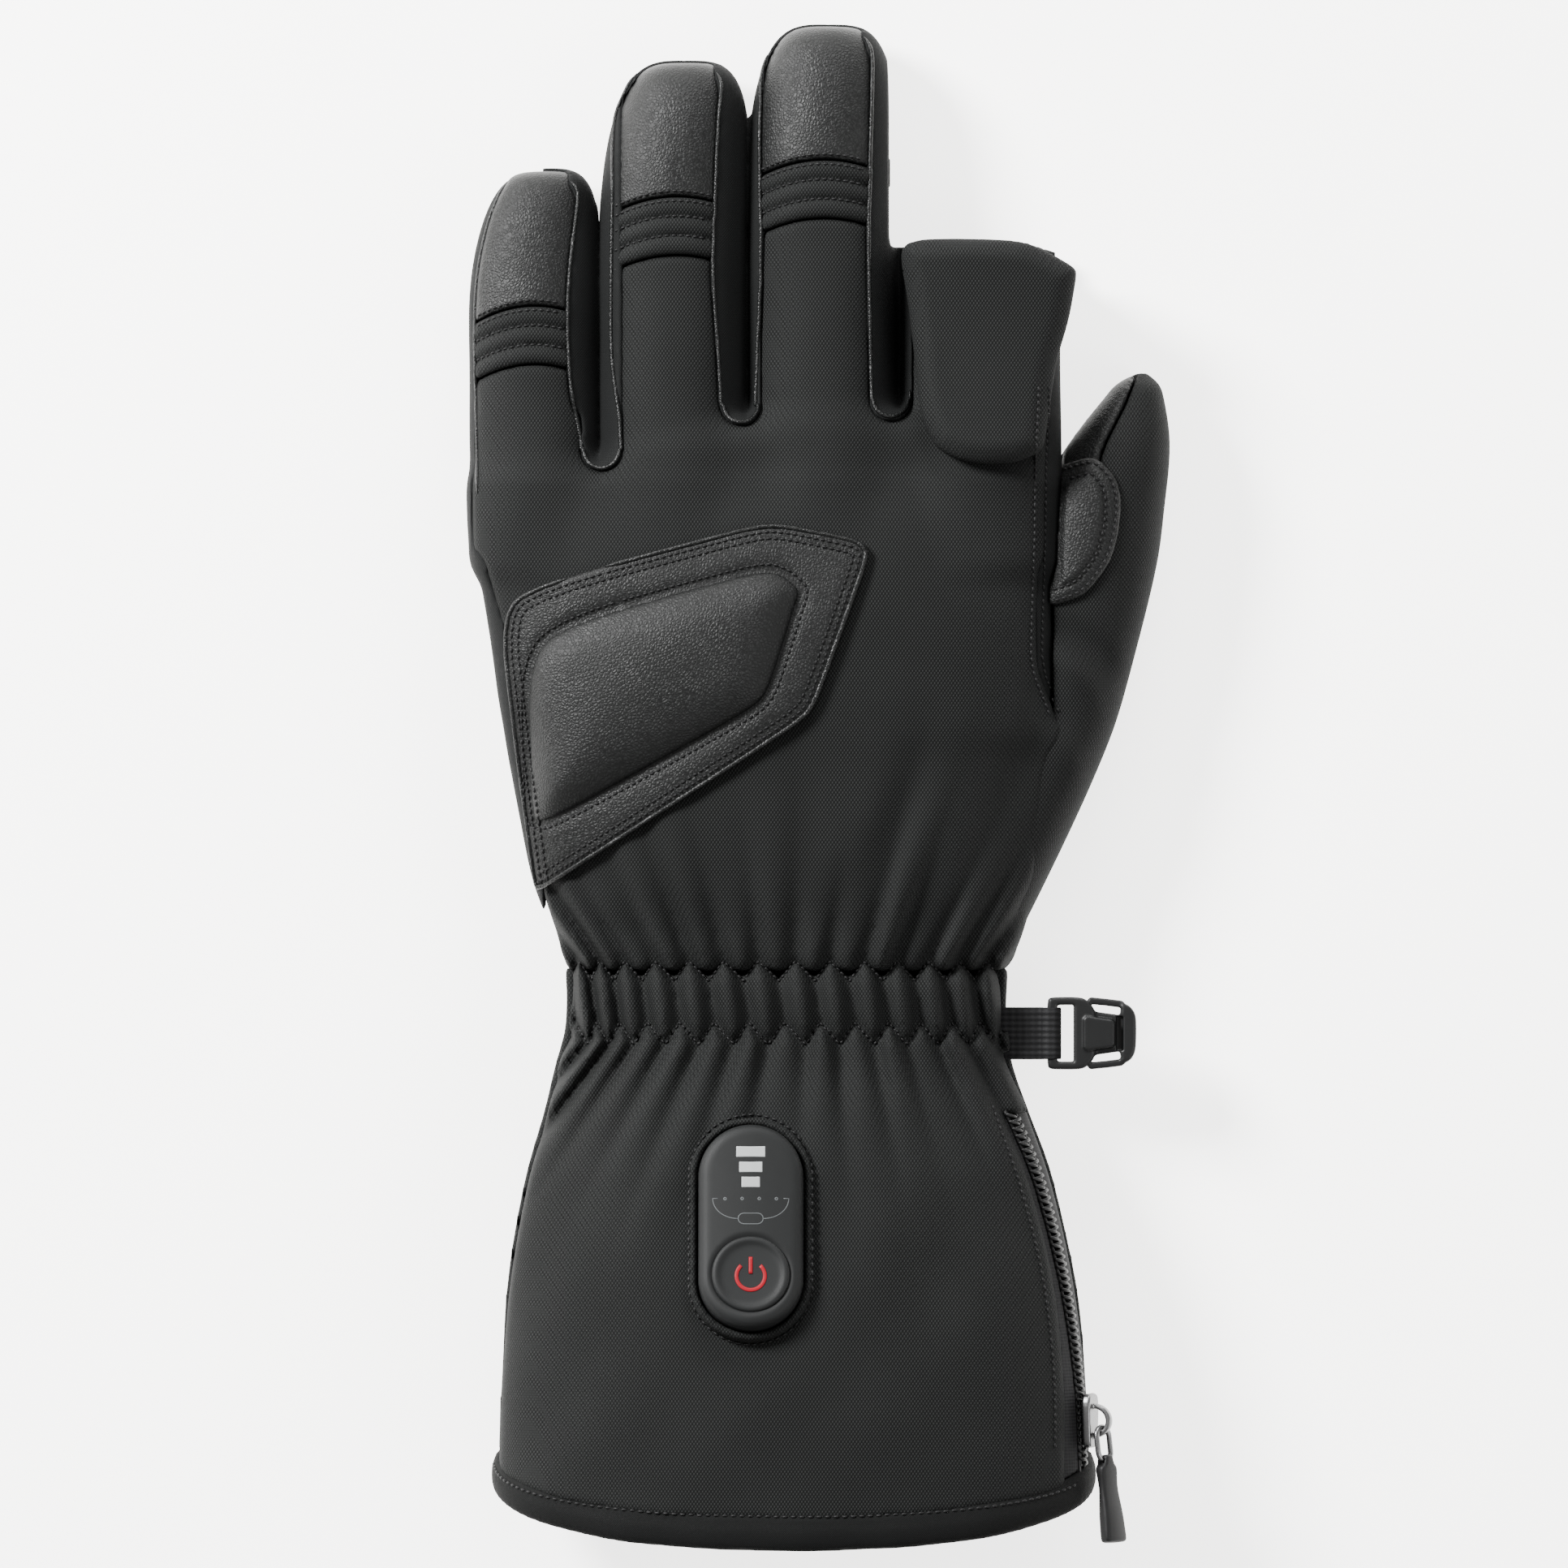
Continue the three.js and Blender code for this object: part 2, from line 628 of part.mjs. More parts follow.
const finish = (color, roughness, metalness = 0) =>
  new THREE.MeshStandardMaterial({ color, roughness, metalness });
const softshell = finish(0x2b2c2d, 0.85);
const sideCloth = finish(0x232425, 0.88);
const leather = finish(0x242527, 0.5);
const bindingCloth = finish(0x1f2021, 0.8);
const tapeCloth = finish(0x1b1c1d, 0.8);
const zipPlastic = finish(0x17181a, 0.45);
const zipMetal = finish(0x9a9da0, 0.3, 1);
const rubber = finish(0x141516, 0.6);
const webbing = finish(0x1c1d1e, 0.75);
const clipPlastic = finish(0x202224, 0.5);
const casePlastic = finish(0x242628, 0.55);
const buttonRubber = finish(0x303234, 0.6);
const barPlastic = finish(0xb9bbbb, 0.4);

// Fingers, side by side from the little finger
const pinkyAxis = PALM_CENTRE - PALM_WIDTH / 2 - PINKY_OUT + PINKY_WIDTH / 2;
const ringAxis = pinkyAxis + (PINKY_WIDTH + RING_WIDTH) / 2 + FINGER_GAP;
const middleAxis = ringAxis + (RING_WIDTH + MIDDLE_WIDTH) / 2 + FINGER_GAP;
const indexAxis = middleAxis + (MIDDLE_WIDTH + INDEX_WIDTH) / 2 + FINGER_GAP;

const fingers = {
  pinky: {
    axis: pinkyAxis,
    width: PINKY_WIDTH,
    length: PINKY_LENGTH,
    height: PINKY_HEIGHT,
    lean: PINKY_LEAN,
    rootShift: PINKY_ROOT_SHIFT,
  },
  ring: {
    axis: ringAxis,
    width: RING_WIDTH,
    length: RING_LENGTH,
    height: FINGER_HEIGHT,
    lean: RING_LEAN,
  },
  middle: {
    axis: middleAxis,
    width: MIDDLE_WIDTH,
    length: MIDDLE_LENGTH,
    height: FINGER_HEIGHT,
    lean: MIDDLE_LEAN,
  },
  index: {
    axis: indexAxis,
    width: INDEX_WIDTH,
    length: INDEX_LENGTH,
    height: INDEX_HEIGHT,
    lean: 0,
    open: true,
  },
};

const FINGER_SIDE = 0.45; // height of a finger's widest part, as a share of its height
const ROOT_RISE = 1.3; // a finger's height where it joins the hand, as a share of its height
const LEAN_LENGTH = 0.6; // share of a finger that leans towards the thumb

// Section of a finger at a distance back from its tip.
function fingerSection(finger, back) {
  const y = KNUCKLE_Y + finger.length - back;
  const share = back / finger.length;
  const tip = finger.open ? TIP_ROWS[TIP_ROWS.length - 1].at : back / finger.width;
  const half = (finger.width / 2) * columnAt(TIP_ROWS, "half", tip);
  const grow = 1 + (ROOT_RISE - 1) * Math.min(1, share) ** 2;
  const top = finger.height * grow;
  const side = finger.height * FINGER_SIDE * grow;
  const rise = columnAt(TIP_ROWS, "rise", tip);
  const root = (finger.rootShift ?? 0) * Math.min(share, 1) ** 2;
  const lean = finger.lean * Math.max(0, 1 - share / LEAN_LENGTH) ** 2 + root;
  return {
    y,
    left: finger.axis + lean - half,
    right: finger.axis + lean + half,
    top: side + (top - side) * rise,
    side,
    under: (side + FLAT) * (1 - rise),
    round: FINGER_ROUND,
  };
}

// Distances back from the tip at which a finger has rings.
function fingerStations(finger) {
  const tip = finger.open ? [0] : TIP_ROWS.map((row) => row.at * finger.width);
  const rest = FINGER_STATIONS.map((share) => share * finger.length).filter(
    (back) => back > tip[tip.length - 1] + 3,
  );
  return [...tip, ...rest, finger.length + FINGER_ROOT];
}

function fingerLoft(finger, grow = 0) {
  return loft(
    fingerStations(finger).map((back, index) => {
      const section = grown(fingerSection(finger, back), grow);
      section.y += index === 0 ? grow : 0;
      return ring(section, FINGER_BACK_FACETS, FINGER_SOLE_FACETS);
    }),
  );
}

// Space for one finger, open into the hand.
function fingerHollow(finger) {
  const stations = fingerStations(finger)
    .filter((back, index) => index % 2 === 0 || back > finger.length)
    .map((back) => back + WALL);
  const start = finger.open ? [-2 * WALL] : [];
  return loft(
    [...start, ...stations].map((back) => {
      const section = fingerSection(finger, Math.max(back, 0));
      section.y = KNUCKLE_Y + finger.length - back;
      const inside = grown(section, -WALL, PALM_WALL);
      inside.side = Math.max(section.side, PALM_WALL + 2);
      return ring(inside, FINGER_BACK_FACETS, FINGER_SOLE_FACETS);
    }),
  );
}

// Thumb
function thumbSection(at) {
  const pick = (column) => columnAt(THUMB_ROWS, column, at);
  const right = THUMB_EDGE - pick("outer") * THUMB_WIDTH;
  return {
    y: THUMB_TIP_Y - at * THUMB_LENGTH,
    left: right - pick("wide") * THUMB_WIDTH,
    right,
    top: pick("top") * THUMB_HEIGHT,
    side: THUMB_HEIGHT * FINGER_SIDE,
    under: THUMB_TIP_LIFT * Math.max(0, 1 - at / THUMB_TIP_SHARE),
    round: FINGER_ROUND,
  };
}

function thumbLoft(grow = 0) {
  return loft(
    THUMB_ROWS.map((row) =>
      ring(grown(thumbSection(row.at), grow), FINGER_BACK_FACETS + 2, FINGER_SOLE_FACETS),
    ),
  );
}

function thumbHollow() {
  const rows = THUMB_ROWS.filter((row) => row.at > 0.03 && row.at < 0.9);
  return loft(
    rows.map((row) => {
      const section = thumbSection(row.at);
      return ring(grown(section, -WALL, PALM_WALL), FINGER_BACK_FACETS, FINGER_SOLE_FACETS);
    }),
  );
}

// Hand, wrist and gauntlet
function gatherFold(y) {
  const at = (WRIST_Y - y) / ELASTIC_ROWS;
  const first = GATHER_ROWS[0].at;
  const last = GATHER_ROWS[GATHER_ROWS.length - 1].at;
  if (at < first || at > last) {
    return () => 0;
  }
  const swell = columnAt(GATHER_ROWS, "swell", at) * PUCKER_DEPTH;
  const groove = columnAt(GATHER_ROWS, "groove", at) * PUCKER_DEPTH;
  return (share) => {
    const wave = Math.cos(2 * Math.PI * share * PUCKERS);
    return (swell * wave - Math.abs(swell)) / 2 - groove / 2;
  };
}

const leanAt = (y) =>
  (HEM_LEAN * Math.max(0, (WRIST_Y - y) / CUFF_LENGTH - LEAN_FROM)) / (1 - LEAN_FROM);

const gatherYs = GATHER_ROWS.map((row) => WRIST_Y - row.at * ELASTIC_ROWS);
const bodyYs = [
  ...HAND_STATIONS.map((at) => KNUCKLE_Y - at * HAND_SPAN).filter((y) => y > gatherYs[0] + MIN_SPACING),
  ...gatherYs,
  ...CUFF_STATIONS.map((at) => WRIST_Y - at * CUFF_LENGTH),
];

function bodyRing(y, grow, options = {}) {
  const section = grown(bodySection(y), grow, options.floor ?? 0);
  section.lean = leanAt(y);
  const gathered = y <= gatherYs[0] + 0.01 && y >= gatherYs[gatherYs.length - 1] - 0.01;
  const facets = gathered && !options.plain ? PUCKERS * PUCKER_FACETS : BACK_FACETS;
  const fold = options.plain ? () => 0 : gatherFold(y);
  return ring(section, facets, SOLE_FACETS, fold);
}

function bodyLoft(grow = 0) {
  return loft(bodyYs.map((y) => bodyRing(y, grow)));
}

function bodyHollow() {
  const ys = bodyYs.filter((y, i) => i % 3 === 1 || y < gatherYs[gatherYs.length - 1]);
  const past = HEM_Y - HEM_PAST;
  return loft(
    [...ys, past].map((y) => {
      const shape = bodyRing(Math.max(y, HEM_Y), -WALL - PUCKER_DEPTH / 3, {
        floor: PALM_WALL,
        plain: true,
      });
      shape.forEach((p) => {
        p.at.y += Math.min(0, y - HEM_Y);
      });
      return shape;
    }),
  );
}

// Raised web behind the crotches of the ring, middle and index fingers
function webLoft(grow = 0) {
  return loft(
    WEB_ROWS.map((row) => {
      const section = bodySection(KNUCKLE_Y);
      section.left = fingers.ring.axis - fingers.ring.width / 2 + WEB_INSET;
      section.right = fingers.index.axis + fingers.index.width / 2 - WEB_INSET;
      section.top *= row.top;
      section.y = KNUCKLE_Y + row.up * WEB_RISE;
      return ring(grown(section, grow), BACK_FACETS, FINGER_SOLE_FACETS);
    }),
  );
}

const fingerList = Object.values(fingers);
const outer = addAll([bodyLoft(), webLoft(), thumbLoft(), ...fingerList.map((f) => fingerLoft(f))]);
const hollow = addAll([bodyHollow(), thumbHollow(), ...fingerList.map(fingerHollow)]);
const shell = outer.subtract(hollow);

// Seam prisms
const HIGH = 90; // above everything
const FAR = 200; // beyond everything

function seamLeft(y) {
  const section = bodySection(y);
  const along = (KNUCKLE_Y - y) / HAND_SPAN;
  const swell = Math.sin(Math.PI * Math.min(Math.max(along, 0) * 0.75 + 0.25, 1));
  return section.left + CUFF_SEAM_INSET + ULNAR_STRIP * swell;
}

function seamRight(y) {
  const along = (KNUCKLE_Y - y) / HAND_SPAN;
  return bodySection(y).right - columnAt(RADIAL_SEAM, "inset", along);
}

const seamYs = HAND_SEAM_STATIONS.map((at) => KNUCKLE_Y - at * HAND_SPAN);

// Region of the back of the hand, grown by a gap.
function backRegion(gap) {
  const leftSide = seamYs.map((y) => ({ x: seamLeft(y) - gap, y }));
  const rightSide = seamYs.map((y) => ({ x: seamRight(y) + gap, y }));
  const hand = prism([...leftSide, ...rightSide.reverse()], BACK_SEAM - gap, HIGH);
  return addAll([hand, ...fingerList.map((finger) => fingerRegion(finger, gap))]);
}

function fingerRegion(finger, gap) {
  const left = finger.axis - finger.width / 2 + SEAM_INSET - gap;
  const right = finger.axis + finger.width / 2 - (finger.open ? SEAM_INSET : SEAM_INSET_INNER) + gap;
  const tip = KNUCKLE_Y + finger.length;
  const lean = finger.lean;
  const bend = tip - finger.length * LEAN_LENGTH;
  return prism(
    [
      { x: left, y: KNUCKLE_Y - FINGER_ROOT / 2 },
      { x: left, y: bend },
      { x: left + lean, y: tip + WALL },
      { x: right + lean, y: tip + WALL },
      { x: right, y: bend },
      { x: right, y: KNUCKLE_Y - FINGER_ROOT / 2 },
    ],
    BACK_SEAM - gap,
    HIGH,
  );
}

// Band across a finger between two curved seams, at distances back from its tip.
function fingerBand(finger, from, to) {
  const curve = (back) =>
    Array.from({ length: BAND_STEPS + 1 }, (_, i) => {
      const q = (2 * i) / BAND_STEPS - 1;
      const y = KNUCKLE_Y + finger.length - back - CAP_SAG * q * q;
      return { x: finger.axis + (q * finger.width) / 2, y };
    });
  return prism([...curve(to), ...curve(from).reverse()], 0, HIGH);
}

const RIB_ZONE = RIB_COUNT * RIB_PITCH;
const capped = ["pinky", "ring", "middle"];
const PAST_TIP = -2 * WALL; // a place beyond a fingertip
const bareBand = (finger) => fingerBand(finger, PAST_TIP, CAP_LENGTH + RIB_ZONE);

// Finger with ribs round it below the cap.
function ribbedLoft(finger) {
  const levels = [];
  for (let i = -1; i <= RIB_COUNT * 2 + 3; i += 1) {
    levels.push({ back: CAP_LENGTH + (i * RIB_PITCH) / 2, proud: i % 2 === 0 ? 0 : RIB_PROUD });
  }
  return loft(
    levels.map((level) =>
      ring(
        grown(fingerSection(finger, level.back), level.proud),
        FINGER_BACK_FACETS,
        FINGER_SOLE_FACETS,
      ),
    ),
  );
}

// Regions across the whole glove
const upToWrist = block(-FAR, FAR, WRIST_Y + SEAM_GAP / 2, FAR, -1, HIGH);
const belowWrist = block(-FAR, FAR, -FAR, WRIST_Y - SEAM_GAP / 2, -1, HIGH);

// Thumb region: everything to the side of the hand.
const thumbYs = THUMB_SEAM_STATIONS.map((at) => KNUCKLE_Y - at * HAND_SPAN);
function thumbRegion(gap) {
  const edge = thumbYs.map((y) => {
    const section = bodySection(Math.min(y, KNUCKLE_Y));
    const x = y > KNUCKLE_Y ? fingers.index.axis + fingers.index.width / 2 : section.right;
    return { x: x - THUMB_INSET - gap, y };
  });
  const far = [
    { x: FAR, y: WRIST_Y + SEAM_GAP },
    { x: FAR, y: thumbYs[0] },
  ];
  return prism([...edge, ...far], -1, HIGH);
}

const handShell = shell.intersect(upToWrist);
const backZone = backRegion(0);
const backZoneWide = backRegion(SEAM_GAP);
const thumbZone = thumbRegion(0);
const thumbZoneWide = thumbRegion(SEAM_GAP);
const thumbOnly = handShell
  .intersect(thumbZone)
  .subtract(bodyLoft(SEAM_GAP))
  .subtract(fingerLoft(fingers.index, SEAM_GAP))
  .subtract(webLoft(SEAM_GAP));
const handOnly = handShell.subtract(thumbZoneWide.subtract(bodyLoft()).subtract(fingerLoft(fingers.index)));

// Caps, ribs and back panel
let backPanel = handOnly.intersect(backZone);
capped.forEach((name) => {
  const finger = fingers[name];
  const region = fingerRegion(finger, 0);
  const cap = handOnly.intersect(region).intersect(fingerBand(finger, PAST_TIP, CAP_LENGTH - SEAM_GAP));
  addPiece(`${name}_cap`, cap, leather);
  const ribs = ribbedLoft(finger)
    .subtract(fingerHollow(finger))
    .intersect(region)
    .intersect(fingerBand(finger, CAP_LENGTH, CAP_LENGTH + RIB_ZONE - SEAM_GAP));
  addPiece(`${name}_ribs`, ribs, softshell);
  backPanel = backPanel.subtract(bareBand(finger));
});
addPiece("back_panel", backPanel, softshell);

// Underside and side strips
const sideSlab = block(-FAR, FAR, -FAR, FAR, PALM_SEAM + SEAM_GAP / 2, HIGH);
const soleSlab = block(-FAR, FAR, -FAR, FAR, -1, PALM_SEAM - SEAM_GAP / 2);
addPiece("palm_panel", handOnly.intersect(soleSlab), leather);

const sides = handOnly.intersect(sideSlab).subtract(backZoneWide);
const tipX = (finger) => finger.axis + finger.lean;
// Part of the side strips between two x, which is cut at the fingertips.
function sideBetween(fromX, toX) {
  return sides.intersect(block(fromX, toX, -FAR, FAR, 0, HIGH));
}
const halfGap = SEAM_GAP / 2;
addPiece("ulnar_gusset", sideBetween(-FAR, tipX(fingers.pinky) - halfGap), sideCloth);
addPiece(
  "fourchette_pinky_ring",
  sideBetween(tipX(fingers.pinky) + halfGap, tipX(fingers.ring) - halfGap),
  sideCloth,
);
addPiece(
  "fourchette_ring_middle",
  sideBetween(tipX(fingers.ring) + halfGap, tipX(fingers.middle) - halfGap),
  sideCloth,
);
addPiece(
  "fourchette_middle_index",
  sideBetween(tipX(fingers.middle) + halfGap, fingers.index.axis - halfGap),
  sideCloth,
);
addPiece("radial_gusset", sideBetween(fingers.index.axis + halfGap, FAR), sideCloth);

// Thumb pieces
const thumbSeam = THUMB_SEAM.map((row) => ({
  x: THUMB_EDGE - row.inset * THUMB_WIDTH,
  y: THUMB_TIP_Y - row.down * THUMB_LENGTH,
}));
const seamEnd = thumbSeam[thumbSeam.length - 1];
const frontOutline = (gap) => [
  ...thumbSeam.map((p) => ({ x: p.x + gap, y: p.y })),
  { x: seamEnd.x, y: seamEnd.y - gap },
  { x: 0, y: seamEnd.y - gap },
  { x: 0, y: thumbSeam[0].y },
];
addPiece("thumb_front", thumbOnly.intersect(prism(frontOutline(0), THUMB_FRONT_LOW, HIGH)), leather);
addPiece(
  "thumb_back",
  thumbOnly.subtract(prism(frontOutline(SEAM_GAP), THUMB_FRONT_LOW - SEAM_GAP, HIGH)),
  softshell,
);

const place = (outline, left, bottom, width, length) =>
  outline.map((row) => ({ x: left + row.across * width, y: bottom + row.up * length }));
const patchOutline = place(PATCH_OUTLINE, PATCH_LEFT, PATCH_BOTTOM, PATCH_WIDTH, PATCH_LENGTH);
const patch = thumbLoft(SEAM_GAP + PATCH_THICK)
  .subtract(thumbLoft(SEAM_GAP))
  .intersect(prism(patchOutline, THUMB_HEIGHT / 2, HIGH))
  .subtract(bodyLoft(SEAM_GAP))
  .subtract(webLoft(SEAM_GAP))
  .subtract(fingerLoft(fingers.index, SEAM_GAP));
addPiece("thumb_patch", patch, leather);

// Knuckle guard, and the pad that is seated on it
const guardOutline = place(GUARD_OUTLINE, GUARD_LEFT, GUARD_BOTTOM, GUARD_WIDTH, GUARD_LENGTH);
const padOutline = place(PAD_OUTLINE, GUARD_LEFT, GUARD_BOTTOM, GUARD_WIDTH, GUARD_LENGTH);
const underGuard = addAll([
  bodyLoft(SEAM_GAP),
  webLoft(SEAM_GAP),
  ...capped.map((name) => fingerLoft(fingers[name], SEAM_GAP)),
]);
const GUARD_TOP = SEAM_GAP + GUARD_THICK;
addPiece(
  "knuckle_guard",
  bodyLoft(GUARD_TOP).subtract(underGuard).intersect(prism(guardOutline, BACK_SEAM, HIGH)),
  leather,
);

// Domed patch that follows the back of the hand.
function domedPad() {
  const centre = padOutline.reduce((sum, p) => ({ x: sum.x + p.x, y: sum.y + p.y }), { x: 0, y: 0 });
  centre.x /= padOutline.length;
  centre.y /= padOutline.length;
  const level = (scale, height) =>
    padOutline.map((p, i) => {
      const x = centre.x + (p.x - centre.x) * scale;
      const y = centre.y + (p.y - centre.y) * scale;
      const z = backHeight(grown(bodySection(y), GUARD_TOP), x) + height;
      return { u: i / padOutline.length, at: new THREE.Vector3(x, y, z) };
    });
  const top = PAD_STEPS.map((step) => level(step.scale, PAD_EDGE + step.rise * PAD_RISE));
  return loft([level(1, -2 * GUARD_TOP), ...top]);
}
addPiece("knuckle_pad", domedPad().subtract(bodyLoft(GUARD_TOP + SEAM_GAP)), leather);

// Index hood: a flattened pocket, open towards the fingertip
function hoodLoft(inset, past) {
  return loft(
    HOOD_STATIONS.map((row) => {
      const y = HOOD_TOP_Y - row * HOOD_LENGTH + (row === 0 ? past : 0) + (row === 1 ? inset : 0);
      const back = KNUCKLE_Y + INDEX_LENGTH - y;
      const finger = fingerSection(fingers.index, Math.max(back, 0));
      const height = HOOD_HEIGHT * (1 - HOOD_TAPER * row);
      const section = {
        y,
        left: HOOD_CENTRE - HOOD_WIDTH / 2 + inset,
        right: HOOD_CENTRE + HOOD_WIDTH / 2 - inset,
        top: finger.top + height - inset,
        side: finger.top + height * HOOD_SIDE,
        floor: finger.top - height * HOOD_SINK + inset * 2.4,
        round: FINGER_ROUND,
      };
      return ring(section, FINGER_BACK_FACETS, FINGER_SOLE_FACETS);
    }),
  );
}
const hoodOutline = HOOD_OUTLINE.map((row) => ({
  x: HOOD_CENTRE + row.across * HOOD_WIDTH,
  y: HOOD_TOP_Y - row.down * HOOD_LENGTH,
}));
const hoodInside = HOOD_OUTLINE.map((row) => ({
  x: HOOD_CENTRE + row.across * (HOOD_WIDTH - 2.4 * HOOD_WALL),
  y: HOOD_TOP_Y - row.down * (HOOD_LENGTH - 2 * HOOD_WALL) + (row.down < 0.2 ? 4 * HOOD_WALL : 0),
}));
const hood = hoodLoft(0, 0)
  .intersect(prism(hoodOutline, 0, HIGH))
  .subtract(fingerLoft(fingers.index, SEAM_GAP))
  .subtract(bodyLoft(SEAM_GAP))
  .subtract(webLoft(SEAM_GAP))
  .subtract(hoodLoft(HOOD_WALL, 4).intersect(prism(hoodInside, 0, HIGH)));
addPiece("index_hood", hood, softshell);

// Gauntlet
const cuffShell = shell.intersect(belowWrist);
const cuffYs = CUFF_SEAM_STATIONS.map((at) => WRIST_Y - at * CUFF_LENGTH);

function cuffBackRegion(gap) {
  const left = cuffYs.map((y) => ({ x: bodySection(Math.max(y, HEM_Y)).left + CUFF_SEAM_INSET - gap, y }));
  const far = [
    { x: FAR, y: cuffYs[cuffYs.length - 1] },
    { x: FAR, y: cuffYs[0] },
  ];
  return prism([...left, ...far], CUFF_SEAM - gap, HIGH);
}

// Places along the zip, measured inwards from the silhouette.
function zipX(y, column) {
  const at = (ZIP_TOP_Y - y) / ZIP_LENGTH;
  return bodySection(Math.max(y, HEM_Y)).right - columnAt(ZIP_ROWS, column, at) * (CUFF_WIDTH / 2);
}

const zipYs = ZIP_STATIONS.map((at) => ZIP_TOP_Y - at * ZIP_LENGTH);
function zipRegion(gap) {
  const left = zipYs.map((y) => ({ x: zipX(y, "edge") - gap, y: y + (y === ZIP_TOP_Y ? gap : 0) }));
  const far = [
    { x: FAR, y: zipYs[zipYs.length - 1] },
    { x: FAR, y: ZIP_TOP_Y + gap },
  ];
  return prism([...left, ...far], CUFF_SEAM - gap, HIGH);
}

const cuffSides = cuffShell.subtract(cuffBackRegion(SEAM_GAP));
const zipWide = zipRegion(SEAM_GAP);
const hemSpace = hemBand(SEAM_GAP, HEM_BAND, 3 * WALL);
addPiece("cuff_back", cuffShell.intersect(cuffBackRegion(0)).subtract(zipWide).subtract(hemSpace), softshell);
addPiece("cuff_palm", cuffSides.subtract(zipWide).subtract(hemSpace), softshell);

// Bound hem, as a ring between two leaning sections.
function hemBand(gap, proud, wall) {
  const ys = [HEM_Y + HEM_BAND / 2 + gap, HEM_Y - HEM_BAND / 2];
  const rings = (grow, floor, past) =>
    ys.map((y, i) => {
      const shape = bodyRing(Math.max(y, HEM_Y), grow, { plain: true, floor });
      const shift = Math.min(0, y - HEM_Y) + (i === 0 ? past : -past);
      shape.forEach((p) => {
        p.at.y += shift;
      });
      return shape;
    });
  return loft(rings(proud, 0, 0)).subtract(loft(rings(-wall, PALM_WALL, HEM_BAND / 3)));
}
addPiece("hem_binding", hemBand(0, HEM_PROUD, WALL), bindingCloth);

// Zip. The chain follows the gauntlet's surface, upright to it.
function chainFrame(at) {
  const y = ZIP_TOP_Y - at * ZIP_LENGTH;
  const x = zipX(y, "chain");
  const section = bodySection(Math.max(y, HEM_Y));
  const z = backHeight(section, x);
  const middle = (section.left + section.right) / 2;
  const width = (section.right - section.left) / 2;
  const rise = section.top - section.side;
  const out = new THREE.Vector3(
    ((x - middle) / width) ** (section.round - 1) / width,
    0,
    ((z - section.side) / rise) ** (section.round - 1) / rise,
  ).normalize();
  const along = new THREE.Vector3(0, -1, 0);
  return {
    point: new THREE.Vector3(x, y - leanAt(y) * (z - section.side), z),
    out,
    across: new THREE.Vector3().crossVectors(out, along),
    along,
  };
}

// Bar along the zip with a box section, between two heights over the cloth.
function zipBar(from, to, width, low, high) {
  const rings = Array.from({ length: CHAIN_STEPS + 1 }, (_, i) => {
    const frame = chainFrame(from + ((to - from) * i) / CHAIN_STEPS);
    const corners = [
      [-1, low],
      [1, low],
      [1, high],
      [-1, high],
    ];
    return corners.map(([side, height], corner) => ({
      u: corner / 4,
      at: frame.point
        .clone()
        .addScaledVector(frame.across, (side * width) / 2)
        .addScaledVector(frame.out, height),
    }));
  });
  return loft(rings);
}

const slot = zipBar(-0.06, 1.1, CHAIN_WIDTH + 2 * SEAM_GAP, -2 * WALL, WALL);
const tapes = bodyLoft(-ZIP_DROP)
  .subtract(bodyLoft(-ZIP_DROP - ZIP_TAPE))
  .intersect(zipRegion(0))
  .subtract(slot)
  .subtract(hemSpace);
const [tapeFront, tapeBack] = bodiesOf(tapes)
  .slice(0, 2)
  .sort((one, two) => two.centre.z - one.centre.z);
addPiece("zip_tape_front", tapeFront.geometry, tapeCloth);
addPiece("zip_tape_back", tapeBack.geometry, tapeCloth);
const chain = zipBar(0.01, 1.1, CHAIN_WIDTH, -ZIP_DROP - CHAIN_HEIGHT / 2, -ZIP_DROP + CHAIN_HEIGHT / 2);
addPiece("zip_chain", chain.subtract(hemSpace), zipPlastic);

// Rounded slab in its own frame, with its length along Y and its underside on z = 0.
function slab(width, length, thick, radius, bevel = 0) {
  const [w, l] = [width / 2 - bevel, length / 2 - bevel];
  const r = Math.min(radius - bevel, w, l);
  const shape = new THREE.Shape();
  shape.moveTo(-w + r, -l);
  shape.lineTo(w - r, -l);
  shape.absarc(w - r, -l + r, r, -Math.PI / 2, 0);
  shape.lineTo(w, l - r);
  shape.absarc(w - r, l - r, r, 0, Math.PI / 2);
  shape.lineTo(-w + r, l);
  shape.absarc(-w + r, l - r, r, Math.PI / 2, Math.PI);
  shape.lineTo(-w, -l + r);
  shape.absarc(-w + r, -l + r, r, Math.PI, 1.5 * Math.PI);
  const geometry = new THREE.ExtrudeGeometry(shape, {
    depth: thick - 2 * bevel,
    curveSegments: 3,
    bevelEnabled: bevel > 0,
    bevelThickness: bevel,
    bevelSize: bevel,
    bevelSegments: 1,
  });
  geometry.translate(0, 0, bevel);
  return geometry;
}

// Disc in its own frame, with its underside on z = 0.
function disc(radius, thick, sides = 16) {
  const geometry = new THREE.CylinderGeometry(radius, radius, thick, sides);
  geometry.rotateX(Math.PI / 2);
  geometry.translate(0, 0, thick / 2);
  return geometry;
}

// Controller, on the slope of the gauntlet's back
const caseFront = backHeight(bodySection(CASE_Y + CASE_LENGTH / 2), CASE_X);
const caseBack = backHeight(bodySection(CASE_Y - CASE_LENGTH / 2), CASE_X);
const caseTilt = -Math.atan2(caseBack - caseFront, CASE_LENGTH);
const caseSeat = backHeight(bodySection(CASE_Y), CASE_X);

